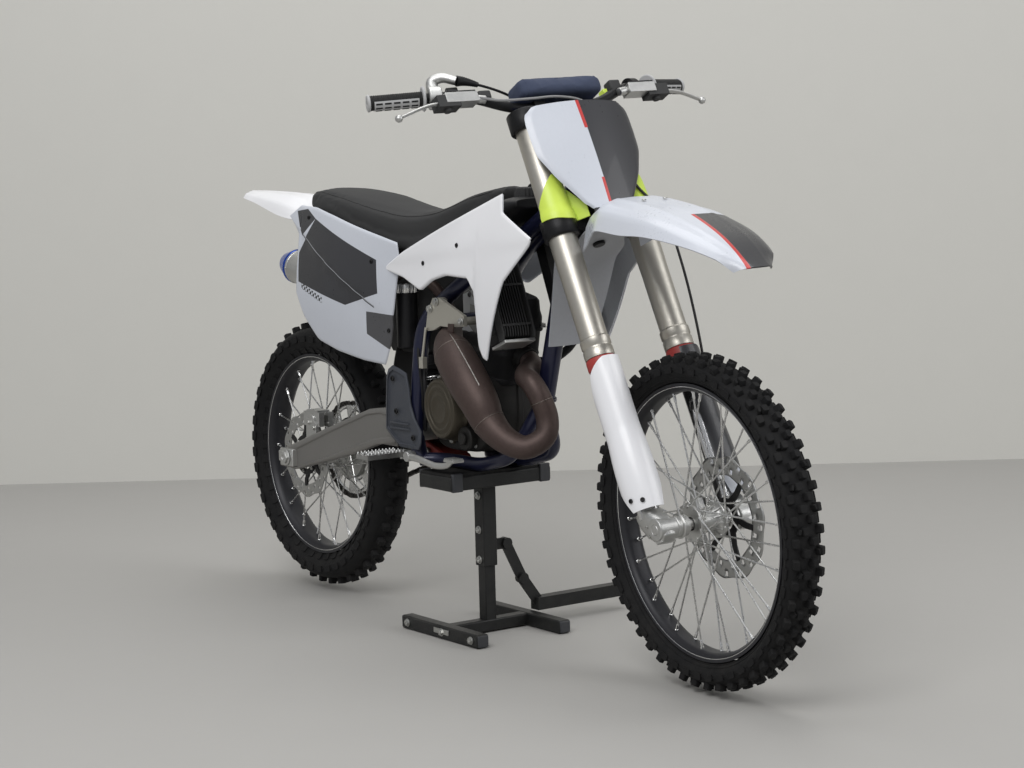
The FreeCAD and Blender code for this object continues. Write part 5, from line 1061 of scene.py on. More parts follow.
@dataclass(frozen=True)
class Wheel:
    """A laced wheel with a knobby tyre: sizes in millimetres, sides positive to the left."""

    name: str
    place: Place
    radius: float
    half: float
    lug: float
    bead: float
    rim: float
    rim_half: float
    rim_depth: float
    hub_half: float
    flange: float
    rows: tuple[KnobRow, ...]
    disc: tuple[float, float, float, float]
    disc_thick: float = 2.8
    spokes: int = 36
    cross_deg: float = 60.0
    sides: int = 120

    def section(self) -> Array:
        """The carcass from bead to bead as (side, radius), through shares of its width and height.

        Returns:
            Points of the outer line.
        """
        w, h = self.half - self.lug * 0.5, self.radius - self.lug - self.bead
        right = np.array([[self.rim_half - 4, 0.02], [w * 0.80, 0.26], [w * 0.97, 0.52], [w * 0.93, 0.74],
                          [w * 0.70, 0.91], [w * 0.32, 0.985], [0, 1.0]])
        line = np.vstack([right, right[-2::-1] * [-1, 1]])
        return smooth(line * [1, h] + [0, self.bead], 49)

    def tyre(self) -> None:
        """Carcass with bead rings on its sides, and knobs that stand square to its curve."""
        outer = self.section()
        tall = self.radius - self.lug - self.bead
        middle = np.array([0.0, self.bead + 0.45 * tall])
        inner = (outer - middle) * 0.86 + middle
        body = wheel_turned(np.vstack([outer, inner[::-1]])[:, ::-1], self.sides)
        for share in (0.10, 0.17, 0.60):
            i = int(np.argmin(np.abs(outer[:, 1] - (self.bead + share * tall))[:24]))
            body = body + self.wires(outer[i, 1], outer[i, 0], 1.3)
        tread = joined(self.row(outer, row, side) for row in self.rows
                       for side in ((1, -1) if row.side else (1,)))
        node_piece(self.name + "_tyre", body, self.place, TYRE, "tyre_black")
        piece(self.name + "_knobs", tread, self.place, TYRE, bevel=0.9, slot="tyre_black")

    def wires(self, radius: float, side: float, thick: float) -> Shape:
        """Two thin round wires, one on each side: a small circle carried round the axle.

        Args:
            radius: distance from the axle.
            side: distance from the wheel's middle.
            thick: half the wire's thickness.

        Returns:
            Both wires.
        """
        a = around(8)
        ring = np.stack([radius + thick * np.sin(a), side + thick * np.cos(a)], -1)
        return wheel_turned(ring, self.sides) + wheel_turned(ring * [1, -1], self.sides)

    def row(self, line: Array, row: KnobRow, sign: int) -> Shape:
        """One row of knobs on one side.

        Args:
            line: the carcass as (side, radius).
            row: the row's sizes.
            sign: which side.

        Returns:
            The knobs: eight-cornered blocks that narrow to their tops.
        """
        half = line[:len(line) // 2 + 1]
        i = int(np.argmin(np.abs(half[:, 0] - row.side) + (half[:, 1] < self.bead + 0.4 * self.lug) * 99))
        i = min(max(i, 1), len(half) - 2)
        tangent = unit(half[i + 1] - half[i - 1])
        normal = np.array([-tangent[1], tangent[0]])
        if normal[1] < 0:
            normal = -normal
        normal = normal * [sign, 1]
        tangent = np.array([normal[1], -normal[0]])
        x, y, c = row.length / 2, row.width / 2, min(row.length, row.width) * 0.16
        ring = np.array([[x - c, y], [x, y - c], [x, c - y], [x - c, -y], [c - x, -y], [-x, c - y], [-x, y - c],
                         [c - x, y]])
        slant = math.radians(row.slant) * sign
        ring = ring @ np.array([[math.cos(slant), math.sin(slant)], [-math.sin(slant), math.cos(slant)]])
        top = self.lug * row.height_share
        levels = ((1.1, -3.0), (1.0, 0.8), (0.9, top - 0.9), (0.84, top))
        block = lofted([np.column_stack([ring * k, np.full(8, z)]) for k, z in levels])
        turn = np.array([[1.0, 0, 0], [0, tangent[0], normal[0]], [0, tangent[1], normal[1]]])
        shape = block.moved([0, half[i, 0] * sign if row.side else 0, half[i, 1]], turn)
        angles = (np.arange(row.count) + row.phase + (0.5 if sign < 0 else 0)) * TURN / row.count
        return repeated(shape, spins(angles), np.zeros((row.count, 3)))

    def hoop(self) -> None:
        """Rim: two flanges, a dropped middle and a rounded inner face, with a thin polished ring near each edge as a
        painted highlight.
        """
        r, w, d = self.rim, self.rim_half, self.rim_depth
        half = np.array([[r, w], [r, w - 2.5], [r - 5, w - 4], [r - 6.5, w * 0.62], [r - d + 4, w * 0.42]])
        under = np.array([[r - d, w * 0.30], [r - d + 1, w * 0.62], [r - d * 0.62, w * 0.86], [r - d * 0.4, w]])
        profile = np.vstack([half, (half * [1, -1])[::-1], (under * [1, -1])[::-1], under])
        node_piece(self.name + "_rim", wheel_turned(profile, self.sides), self.place, BLACK_RIM, "rim_black",
                   sharp=50)
        # The polished rings near the rim's edges are a painted highlight of the black rim's edge.
        piece(self.name + "_rim_highlight_rings", self.wires(r - d * 0.4, w - 0.4, 0.8), self.place, POLISHED)

    def lacing(self) -> None:
        """Crossed spokes from both flanges to the rim, each with a nipple."""
        i = np.arange(self.spokes)
        side = np.where(i % 2 == 0, 1.0, -1.0)
        lean = np.where((i // 2) % 2 == 1, 1.0, -1.0)
        outer = i * TURN / self.spokes
        inner = outer - lean * math.radians(self.cross_deg)
        hub_side = side * (self.hub_half - 7 * (0.5 - lean * 0.25))
        low, high = self.flange - 4, self.rim - self.rim_depth
        a = on_axle(low, hub_side, inner)
        b = on_axle(high, side * 0.3 * self.rim_half, outer)
        way = unit(b - a)
        wires = joined(rod(p, q - w * 5, 1.9, 8) for p, q, w in zip(a, b, way))
        heads = joined(rod(p - w * 3, p + w * 5, 3.4, 8) for p, w in zip(a, way))
        piece(self.name + "_spokes", wires + heads, self.place, SPOKE)
        nipple = turned([(2.0, -19), (3.1, -17), (3.1, -5), (4.2, -4), (4.4, 0.5)], 8)
        piece(self.name + "_nipples", repeated(nipple, aims(way), b), self.place, POLISHED)

    def middle(self) -> None:
        """Hub: barrel between flanges, with stepped ends and webs."""
        h, f = self.hub_half, self.flange
        barrel = f * 0.60
        half = [(f - 1, h), (f, h - 1.5), (f, h - 5.5), (f - 1.5, h - 7), (barrel + 8, h - 7.5), (barrel + 2, h - 13),
                (barrel, h - 19)]
        line = np.array(half + [(r, -s) for r, s in reversed(half)] + [(14.0, -h), (14.0, h)])
        shape = wheel_turned(line, 64)
        web = plate([(barrel - 3, h - 8), (f - 5, h - 8), (barrel - 1, h - 26)], -1.6, 1.6, 0)
        ribs = repeated(web.moved([0, 0, 0], ON_EDGE), spins(around(12)), np.zeros((12, 3)))
        node_piece(self.name + "_hub", shape + ribs.both(), self.place, CAST, "cast_silver", bevel=0.5)

    def brake(self) -> None:
        """Wave disc: a scalloped ring with slots, held by curved arms to a bolted carrier."""
        outer, inner, side, carrier = self.disc
        a = np.linspace(0, TURN, 193)[:-1]
        wave = np.cos(a * 10)
        rows = np.stack([outer - 3 + wave * 3, outer - 7 + wave * 1.5, (outer + inner) / 2 + 4 + 0 * wave,
                         (outer + inner) / 2 - 4 + 0 * wave, inner + 6 + wave, inner + 1 + wave])
        ring = grid(on_axle(rows, side - self.disc_thick / 2, a), wrap_v=True)
        keep = np.ones((5, 192), bool)
        j = np.arange(192)
        keep[1] &= ~((j % 12 > 1) & (j % 12 < 5))
        keep[3] &= ~((j % 12 > 7) & (j % 12 < 11))
        shape = Shape(ring.points, [ring.faces[0][keep.reshape(-1)]])
        made = node_piece(self.name + "_disc", shape, self.place, STEEL, "disc_steel")
        thickened(made, self.disc_thick)
        arm = smooth([[carrier - 6, -7], [carrier + 8, -3], [(inner + carrier) / 2, 2], [inner + 5, 3]], 9)
        left = np.column_stack([arm[:, 1] + np.linspace(9, 6, 9), np.full(9, side - 3.4), arm[:, 0]])
        right = left - [1, 0, 0] * np.linspace(18, 12, 9)[:, None]
        depth = np.array([0, 4.2, 0])
        web = lofted(np.stack([left, right, right + depth, left + depth], 1))
        middle = wheel_turned([(carrier + 3, side - 4), (carrier + 3, side + 0.4), (carrier - 12, side + 0.4),
                               (carrier - 12, side - 4)], 64)
        arms = repeated(web, spins(around(6)), np.zeros((6, 3)))
        piece(self.name + "_disc_arms", arms + middle, self.place, BLACK_METAL, bevel=0.6)
        out = math.copysign(1.0, side)
        spots = on_axle(carrier - 4, side + (0.4 if out > 0 else -4), around(6) + 0.26)
        piece(self.name + "_disc_bolts", studs(spots, (0, out, 0), 4.5, 3.5), self.place, ZINC)

    def build(self) -> None:
        """Makes every piece of the wheel."""
        self.tyre()
        self.hoop()
        self.lacing()
        self.middle()
        self.brake()


@dataclass(frozen=True)
class Sprocket:
    """The rear sprocket: teeth on a windowed disc; sizes in millimetres."""

    place: Place = REAR_WHEEL
    teeth: int = 48
    pitch_radius: float = 121.4
    side: float = 74.0
    thick: float = 5.0
    inner: float = 62.0

    def build(self) -> None:
        """Makes the toothed ring with its eight windows and bolts."""
        n = self.teeth * 8
        a = around(n)
        tooth = np.clip(np.cos(a * self.teeth) * 1.4, -1, 1)
        window = np.abs((a * 8 / TURN) % 1 - 0.5) < 0.30
        flat = [self.pitch_radius - 8, self.pitch_radius - 15, self.inner + 22, self.inner + 12, self.inner]
        rows = np.vstack([self.pitch_radius + 1 + tooth * 4.6, np.repeat(np.array(flat)[:, None], n, 1)])
        sheet = grid(on_axle(rows, self.side, a), wrap_v=True)
        keep = np.ones((5, n), bool)
        keep[2] &= ~window
        toothed = Shape(sheet.points, [sheet.faces[0][keep.reshape(-1)]])
        made = node_piece("rear_sprocket", toothed, self.place, POLISHED, "disc_steel")
        thickened(made, self.thick)
        carrier = wheel_turned([(self.inner + 12, self.side - 3), (self.inner + 12, self.side - 13),
                                (44, self.side - 26), (40, self.side - 26), (40, self.side - 10),
                                (self.inner - 6, self.side - 3)], 64)
        piece("sprocket_carrier", carrier, self.place, CAST, bevel=0.8)
        t = (np.arange(6) + 0.5) * TURN / 6
        spots = on_axle(self.inner + 6, self.side + self.thick / 2, t)
        piece("sprocket_bolts", hexes(spots, (0, 1, 0), 10, 6), self.place, ZINC)


FRONT = Wheel("front", FRONT_WHEEL, 345, 45, 12, 284.6, 284, 25, 18, 34, 38,
              (KnobRow(38.5, 13, 21, 50), KnobRow(27, 14, 19, 50, 0.5), KnobRow(9.5, 15, 17, 50),
               KnobRow(18.5, 6, 12, 25, 0.25, 20, 0.85)), (129, 87, 56, 38))
BACK = Wheel("rear", REAR_WHEEL, 338, 57, 15, 256.6, 256, 33, 19, 40, 48,
             (KnobRow(49, 16, 24, 44), KnobRow(33, 17, 20, 44, 0.5), KnobRow(12, 20, 17, 44)), (109, 75, -62, 48))


@dataclass(frozen=True)
class Fork:
    """Upside-down fork in the steered frame: tubes, polished legs, cast feet and guards; millimetres."""

    leg_x: float = 22.0
    side: float = 100.0
    tube_radius: float = 29.5
    leg_radius: float = 24.0
    guard_radius: float = 44.0
    guard_low: float = 48.0
    guard_high: float = 377.0
    axle_x: float = 55.0

    def tubes(self) -> None:
        """Champagne upper tubes: turned, with a step, a stop ring, seal head and a top cap."""
        r = self.tube_radius
        line = [(r - 4, 382), (r + 2.2, 383), (r + 2.5, 386), (r + 2.5, 401), (r + 1.0, 403), (r + 1.0, 407),
                (r + 2.5, 409), (r + 2.5, 424), (r, 427), (r, 560), (r + 0.8, 600),
                (r + 0.8, 700), (r, 760), (r, 948), (r - 2, 951), (r - 12, 951)]
        both = turned(line, 56).moved([self.leg_x, self.side, 0]).both()
        node_piece("fork_tubes", both, FORK, CHAMPAGNE, "fork_champagne")
        rings = turned([(r - 5, 356), (r + 1.5, 358), (r + 2.5, 362), (r + 2.5, 379), (r + 1.0, 382),
                        (r - 5, 382)], 56)
        piece("fork_red_rings", rings.moved([self.leg_x, self.side, 0]).both(), FORK, RED_RUBBER)
        caps = hexes([[self.leg_x, self.side, 949], [self.leg_x, -self.side, 949]], (0, 0, 1), 28, 7)
        piece("fork_caps", caps, FORK, BLUE_CAP)

    def legs(self) -> None:
        """Polished legs, and cast feet with a ridge, pinch screws and a rounded boss round the axle."""
        leg = turned([(18, 31), (self.leg_radius, 33), (self.leg_radius, 402), (20, 402)], 56)
        node_piece("fork_legs", leg.moved([self.leg_x, self.side, 0]).both(), FORK, CHROME, "fork_chrome")
        z = np.array([46.5, 36, 20, 0, -18, -28])
        front = np.array([46, 54, 70, 78, 74, 60.0])
        back = np.array([-4, -6, -4, 8, 28, 44.0])
        wide = np.array([23, 23, 22, 21, 20, 17.0])
        c, s = boxy(around(20), 0.6)
        foot = lofted([np.column_stack([(f + b) / 2 + (f - b) / 2 * c, self.side + w * s, np.full(20, up)])
                       for up, f, b, w in zip(z, front, back, wide)])
        x = self.axle_x
        boss = pipe_ring([x, self.side - 22.6, 0], [x, self.side + 22.6, 0], 23, 11.2, 40)
        ridge = box([40, self.side - 18, -27.5], [60, self.side + 18, -20])
        piece("fork_feet", (foot + boss + ridge).both(), FORK, CAST, slot="cast_silver", bevel=1.2)
        spots = [[30, s * (self.side + 19), z] for s in (1, -1) for z in (-6, 14)]
        piece("foot_screws", hexes(spots, [[0, s, 0] for s in (1, -1) for _ in range(2)], 7, 5), FORK, ZINC)

    def guards(self) -> None:
        """Moulded guards: a curved sheet round the front and outside, waisted above the foot."""
        share = (np.linspace(48, 392, 44) - 48) / 344
        start = np.radians(-38 + 16 * np.clip(0.14 - share, 0, 1) / 0.14)
        stop = np.radians(117 - 30 * np.clip((share - 0.86) / 0.14, 0, 1) ** 1.5
                          - 34 * np.clip((0.16 - share) / 0.16, 0, 1))
        v = np.linspace(0, 1, 25)[None]
        angle = start[:, None] * (1 - v) + stop[:, None] * v
        r = self.guard_radius - 5.5 + 5.0 * np.cos(np.clip(share * 5 - 1.2, -1.5, 1.5))[:, None] + 0 * v
        r = r + 0.8 * np.exp(-((v - 0.36) / 0.04) ** 2)
        tall = self.guard_high - self.guard_low - 42 * np.clip((angle - 0.45) / 1.4, 0, 1) ** 1.3
        height = self.guard_low + share[:, None] * tall
        points = np.stack([self.leg_x + r * np.cos(angle), self.side + r * np.sin(angle), height], -1)
        left = shell(points, -3.2)
        charcoal = painted(CHARCOAL, FORK, [(-60, 120), (90, 96), (90, 420), (-60, 420)])
        dark = replace(WHITE_PLAIN, name="guard_left", rough=0.36, spread=0.06, relief=0.25, dust=0.02,
                       areas=(charcoal,))
        piece("fork_guard_left", left, FORK, dark, ["fork_guards"], slot="white_plastic", sharp=60)
        piece("fork_guard_right", left.mirrored(), FORK, WHITE_PLAIN, slot="white_plastic", sharp=60)
        t = np.radians([40.0, 74.0])
        spots, out = on_post(43.4, [66, 72], t, (self.leg_x, self.side)), on_post(1, 0, t)
        flip = np.array([1, -1, 1])
        piece("guard_bolts", studs(np.vstack([spots, spots * flip]), np.vstack([out, out * flip]), 5, 2.5), FORK,
              BLACK_METAL)

    def axle(self) -> None:
        """Axle, spacers and the cast crowns beside the hub."""
        x = self.axle_x
        bar = rod([x, -123, 0], [x, 123, 0], 11, 32)
        head = hexes([[x, 117, 0]], (0, 1, 0), 26, 8)
        spacers = joined(pipe_ring([x, a, 0], [x, b, 0], r, 11.2) for a, b, r in (
            (54, 77, 20), (-77, -47, 22), (-66, -60, 26)))
        node_piece("front_axle", bar + head + spacers, FORK, CAST, "cast_silver")

    def build(self) -> None:
        """Makes every piece of the fork."""
        self.tubes()
        self.legs()
        self.guards()
        self.axle()


@dataclass(frozen=True)
class Nose:
    """Number plate and wedges on the fork, and the front fender ahead of it; millimetres."""

    plate_low: float = 690.0
    plate_tall: float = 248.0
    plate_half: float = 131.0
    fender_back: float = 1203.0
    fender_long: float = 508.0
    fender_half: float = 108.0
    fender_low: float = 875.0
    fender_rise: float = 130.0
    fender_drop: float = 62.0

    def number_plate(self) -> None:
        """A blank shield: rows of points across the plate, set back by a parabola, with a rolled rim."""
        edge = np.array([(0.0, 0.30), (0.02, 0.42), (0.32, 0.79), (0.55, 0.985), (0.72, 1.0), (0.86, 1.0),
                         (0.95, 0.97), (0.985, 0.90), (1.0, 0.78)])
        share = np.linspace(0, 1, 36)
        width = np.interp(share, edge[:, 0], edge[:, 1])
        width = np.convolve(np.pad(width, 1, mode="edge"), np.ones(3) / 3, "valid") * self.plate_half
        v = np.linspace(-1, 1, 33)
        y = width[:, None] * v[None]
        z = self.plate_low + self.plate_tall * share[:, None] + 0 * v[None]
        x = 66 + 26 * (1 - (y / self.plate_half) ** 2) + 3.0 * np.sin(share * math.pi)[:, None]
        x = x - 5 * np.clip((np.abs(v[None]) - 0.93) / 0.07, 0, 1) ** 2 + 0 * y
        areas = (painted(CHARCOAL, FORK, [(-1, 600), (160, 600), (160, 1000), (-5, 1000)], (1, 2)),
                 painted(RED, FORK, [(-10, 872), (-2, 872), (-5, 1000), (-13, 1000)], (1, 2)),
                 painted(RED, FORK, [(-1, 756), (-8, 756), (-8, 600), (-1, 600)], (1, 2)))
        finish = replace(WHITE_PLAIN, name="plate_paint", rough=0.33, areas=areas)
        shape = shell(np.stack([x, y, z], -1), -2.6)
        node_piece("number_plate", shape, FORK, finish, "white_plastic", sharp=60)
        lugs = box([60, 15, 915], [70, 25, 934]).both() + box([38, -16, 712], [66, 16, 742])
        piece("plate_mounts", lugs, FORK, BLACK_PLASTIC, bevel=1.5)

    def wedges(self) -> None:
        """Yellow wedges: each wraps the front of a fork tube and ends in a wing behind the plate."""
        t = np.radians(np.linspace(-60, 84, 24))
        share = np.linspace(0, 1, 16)[:, None]
        low = 684 + 9 * np.clip(np.sin(t), 0, 1)[None]
        rise = np.interp(np.degrees(t), [-60, -30, 4, 30, 84], [76, 100, 104, 84, 34])
        z = low + rise[None] * share
        r = np.interp(z, [702, 718, 760], [41.2, 37.5, 35.5])
        wrap = np.stack([22 + r * np.cos(t)[None], 100 + r * np.sin(t)[None], z], -1)
        tip = np.stack([66 + 0 * share, 46 + 0 * share, 683 + 26 * share], -1)
        way = np.linspace(0, 1, 8)[None, :-1, None]
        points = np.concatenate([tip * (1 - way) + wrap[:, :1] * way, wrap], axis=1)
        node_piece("plate_wedges", shell(points, -3.0).both(), FORK, YELLOW, "yellow_plastic", bevel=0.6, sharp=50)

    def fender(self) -> None:
        """Front fender: a long blade with a raised crown, side skirts and a rolled edge."""
        rows = np.array([(0, .82, .66, 1.36), (.07, .92, .78, 1.30), (.14, .97, .90, 1.10), (.20, 1, .96, .98),
                         (.37, .92, 1, .92), (.56, .77, .98, .66), (.80, .44, .80, .34), (1, 0, .40, .10)])
        a, c, h, d = smooth(rows, 67).T
        v = np.linspace(-1, 1, 41)
        drop = np.interp(np.abs(v), [0, 0.30, 0.45, 0.70, 0.86, 1], [0, 0.02, 0.06, 0.20, 0.42, 1])
        crease = 0.04 * np.exp(-((np.abs(v) - 0.42) / 0.05) ** 2)
        x = self.fender_back + self.fender_long * a[:, None] + 0 * v
        x = x - 30 * np.abs(v) ** 3 * (a[:, None] > 0.9) * (a[:, None] - 0.9) * 10
        y = self.fender_half * h[:, None] * v
        z = self.fender_low + self.fender_rise * c[:, None] - self.fender_drop * d[:, None] * (drop - crease)
        dark = [(1500, 0), (1720, -24.2), (1720, 140), (1500, 140)]
        stripe = [(1500, 0), (1720, -24.2), (1720, -32), (1500, -8)]
        areas = (painted(CHARCOAL, NOSE, dark, (0, 1)), painted(RED, NOSE, stripe, (0, 1)))
        finish = replace(WHITE_PLAIN, name="fender_paint", rough=0.32, spread=0.03, relief=0.04, areas=areas)
        node_piece("front_fender", shell(np.stack([x, y, z], -1), -3.0), NOSE, finish, "white_plastic", sharp=60)
        top = self.fender_low + self.fender_rise * 0.97 + 1.4
        spots = [[x, s * 26, top] for x in (1322, 1366) for s in (1, -1)]
        piece("fender_bolts", studs(spots, (0, 0, 1), 5, 2.5), NOSE, ZINC)
        self.flap()

    def flap(self) -> None:
        """The fender's tail: a thin blade, back under the lower clamp, then down before the frame."""
        rows = np.array([(50, 650, 60), (10, 647, 62), (-24, 645, 80), (-44, 642, 84), (-68, 632, 78),
                         (-100, 606, 74), (-140, 572, 69), (-178, 538, 64), (-214, 500, 62)])
        x, z, half = smooth(rows, 64).T
        v = np.linspace(-1, 1, 33)
        down = np.clip((640 - z) / 60, 0, 1)[:, None]
        points = np.stack([x[:, None] + 5 * down * v[None] ** 2, half[:, None] * v[None],
                           z[:, None] + 3 * (1 - down) * v[None] ** 2], -1)
        # Its grey is painted shade of the underside, with some dirt.
        piece("fender_flap", shell(points, 2.6), FORK, FLAP_SHADE_AND_DIRT, sharp=60)

    def build(self) -> None:
        """Makes every piece of the nose."""
        self.number_plate()
        self.wedges()
        self.fender()


@dataclass(frozen=True)
class Cockpit:
    """Bar, grips, controls and pad on the steered frame; millimetres."""

    bar_radius: float = 11.1
    grip_radius: float = 16.5
    tip: float = 400.0

    def half_bar(self) -> Array:
        """Gives the corners of the left half of the bar, from the middle outwards."""
        return np.array([[4, 0, 966], [4, 100, 966], [-18, 205, 1018], [-80, self.tip, 1042]], float)

    def outward(self) -> Array:
        """Gives the direction of the left end of the bar."""
        half = self.half_bar()
        return unit(half[3] - half[2])

    def bar(self) -> None:
        """The bent bar and its clamp blocks."""
        half = self.half_bar()
        corners = np.vstack([half[:0:-1], half[1:] * [1, -1, 1]])
        node_piece("handlebar", tube(rounded_path(corners, 45, 9), self.bar_radius, 24), FORK, BLACK_METAL,
                   "black_metal")
        self.clamps()
        spots = [[x, s * y, 983] for s in (1, -1) for y in (40, 56) for x in (-6, 14)]
        piece("clamp_screws", studs(spots, (0, 0, 1), 4.5, 3), FORK, ZINC)

    def clamps(self) -> None:
        """Upper and lower clamps: split rings round the tubes, waists, stem and bar mounts."""
        parts = []
        for low in (655.0, 904.0):
            ring = turned([(29.7, low), (36.5, low), (38.6, low + 3), (38.6, low + 41), (36.5, low + 44),
                           (29.7, low + 44)], 56, closed=True).moved([22, 100, 0])
            ear = box([-24, 78, low + 8], [-10, 96, low + 36])
            waist = plate([(-22, -72), (44, -72), (30, 0), (44, 72), (-22, 72), (-14, 0)], low + 7, low + 37, 2)
            parts += [ring.both(), ear.both(), waist, rod((0, 0, low), (0, 0, low + 44), 27, 40, 2)]
        parts += [rod((0, 0, 640), (0, 0, 958), 13.5, 32), box([-10, 34, 945], [18, 62, 981]).both()]
        parts.append(plate([(44, -24), (98, -22), (100, 22), (44, 24)], 662, 673, 2))
        node_piece("clamps", joined(parts), FORK, BLACK_METAL, "black_metal", bevel=2.2)
        spots = [[-24, s * 87, z] for z in (670, 684, 919, 933) for s in (1, -1)]
        piece("pinch_bolts", hexes(spots, (-1, 0, 0), 8, 5), FORK, ZINC)
        piece("stem_nut", hexes([[0, 0, 950]], [[0, 0, 1]], 30, 8), FORK, ZINC)

    def grips(self) -> None:
        """Ribbed grips: many low rings on a sleeve, between a flange and an end ring."""
        end, way = self.half_bar()[3], self.outward()
        turn = aims(way)[0]
        s = np.linspace(0, 112, 57)
        r = self.grip_radius - 1.2 + 1.1 * (np.arange(57) % 2)
        line = np.vstack([[11.5, 0], np.column_stack([r, s]), [11.5, 112]])
        sleeve = turned(line, 32).moved(end - way * 116, turn)
        flange = pipe_ring(end - way * 122, end - way * 116, 27, 11.5, 40)
        cap = pipe_ring(end - way * 4.5, end + way * 2.0, 18.5, 5, 40)
        node_piece("grips", sleeve.both(), FORK, GRIP_BLACK, "grip_rubber")
        t = np.radians(np.linspace(196, 300, 14))
        band = np.stack([on_post(17.3, d, t) for d in (8.0, 104.0)])
        band = shell(band, -0.9).moved(end - way * 116, turn)
        piece("grip_bands", band.both(), FORK, GRIP_GREY)
        dash = box([17.0, -1.8, -7], [18.3, 1.8, 7])
        spots = end - way * 116 + way * np.linspace(18, 94, 5)[:, None]
        rows = [repeated(dash, np.repeat(turn[None] @ about_z(angle)[None], 5, 0), spots)
                for angle in np.radians([216, 248, 280])]
        piece("grip_blocks", joined(rows).both(), FORK, GRIP_BLACK, bevel=0.4)
        piece("grip_rings", (flange + cap).both(), FORK, GRIP_GREY, bevel=0.6)

    def controls(self) -> None:
        """Masters with lids, perches, levers with ball ends, and the throttle's drum with its boot."""
        way, mirror = self.outward(), np.array([1, -1, 1])
        for name, sign, centre, size in (("brake", -1, (2.4, -232, 999.3), (17, 39, 13)),
                                         ("clutch", 1, (4.6, 225, 998.5), (17, 35, 13))):
            c, s = np.array(centre), np.array(size, float)
            body = box(c - s, c + s * [1, 1, 0.75])
            nose = rod(c + [2, -sign * s[1], -2], c + [4, -sign * (s[1] + 22), -6], 9, 20)
            piece(name + "_master", body + nose, FORK, CAST, [name + "_master"], slot="cast_silver", bevel=3.5)
            lid = box(c + s * [-0.92, -0.94, 0.75], c + s * [0.92, 0.94, 1.08])
            piece(name + "_lid", lid, FORK, BLACK_METAL, bevel=1.5)
            spots = [c + s * [0.6 * a, 0.8 * b, 1.08] for a, b in ((1, 1), (-1, -1))]
            piece(name + "_lid_screws", studs(spots, (0, 0, 1), 3.2, 1.6), FORK, ZINC)
            at = np.array([-25.5, 229.0, 1020.9]) * [1, sign, 1]
            w = way * mirror if sign < 0 else way
            perch = pipe_ring(at - w * 12, at + w * 12, 19, 11.2) + box(at + [14, -10, -24], at + [27, 10, -6])
            piece(name + "_perch", perch, FORK, BLACK_METAL, bevel=1.5)
            pivot = np.array([2.4, sign * 266.0, 992.4])
            ball = np.array([2.4, sign * 386.0, 963.3])
            bend = pivot + (ball - pivot) * 0.45 + [12, 0, 2]
            blade = smooth([pivot, bend, ball], 21)
            taper = np.interp(np.linspace(0, 1, 21), [0, 0.15, 0.85, 1], [8, 6.6, 5.4, 5])
            ball_end = turned([(0.6, -8.5), (5.2, -6.8), (8.0, -3), (8.5, 0), (8.0, 3), (5.2, 6.8), (0.6, 8.5)], 20)
            piece(name + "_lever", tube(blade, taper, 16, 0.55) + ball_end.moved(ball), FORK, CAST)
            cover = box(pivot - [17, 26, 15], pivot + [16, 28, 12]) + rod(pivot - [0, 0, 22], pivot, 9)
            piece(name + "_lever_cover", cover, FORK, BLACK_PLASTIC, bevel=4)
        drum_at, boot_at = np.array([-36.8, -264, 1025.3]), np.array([-6, -219.5, 1046.8])
        w = way * mirror
        drum = pipe_ring(drum_at - w * 14, drum_at + w * 14, 25, 11.3, 40)
        neck = smooth([drum_at + [4, 0, 10], drum_at + [2, 3, 36], drum_at + [16, 22, 38], boot_at], 18)
        elbow = tube(neck, np.linspace(13.5, 9.5, 18), 20)
        band = box(drum_at + [-3, -12, 18], drum_at + [9, 12, 27])
        node_piece("throttle_housing", drum + elbow + band, FORK, CAST, "cast_silver", bevel=1)
        boot = np.vstack([boot_at, [-5.5, -205, 1045.2], [-6.5, -188, 1041.6], [-8, -170, 1036.4]])
        piece("throttle_boot", tube(smooth(boot, 24), np.linspace(11.5, 5.2, 24) + 0.7 * (np.arange(24) % 2), 20),
              FORK, HOSE)
        cubes = box([-26, -176, 1001], [-2, -146, 1021]) + box([-30, 160, 1004], [-2, 188, 1030])
        piece("switches", cubes, FORK, BLACK_PLASTIC, bevel=4)
        tags = box([-34, -150, 1006], [-14, -141, 1018]) + box([-36, 146, 1000], [-14, 157, 1014])
        piece("cable_tags", tags, FORK, YELLOW, bevel=1.5)

    def lines(self) -> None:
        """The brake hose to the front caliper, and the throttle cable with its end."""
        route = [(9, -191, 998.6), (30, -150, 978), (54, -92, 966), (61, -30, 964), (62, 28, 950), (62, 56, 910),
                 (62, 66, 856), (62, 74, 796), (62, 96, 742), (62, 130, 690), (58, 148, 636), (56, 150, 580),
                 (52, 150, 520), (44, 150, 460), (30, 152, 400), (10, 156, 340), (-6, 156, 280), (-18, 154, 220),
                 (-28, 140, 166), (-40, 112, 128)]
        low_part = painted((0.014, 0.014, 0.015), FORK, [(0, 0), (200, 0), (200, 780), (0, 780)], (1, 2))
        finish = Finish("brake_line", (0.24, 0.24, 0.24), 0.45, pattern=Pattern.WOVEN, scale=1500, relief=0.4,
                        areas=(low_part,))
        node_piece("brake_hose", tube(smooth(route, 150), 3.0, 10), FORK, finish, "hose_black")
        cable = smooth([(-4.8, -217.8, 1046.1), (-8, -168, 1036), (-22, -110, 1024), (-38, -62, 1008),
                        (-46, -30, 975), (-48, -14, 930)], 50)
        node_piece("throttle_cable", tube(cable, 3.0, 10), FORK, HOSE, "hose_black")
        piece("cable_end", rod((-46.6, -27, 970), (-48, -14, 930), 5, 16), FORK, BLACK_METAL)

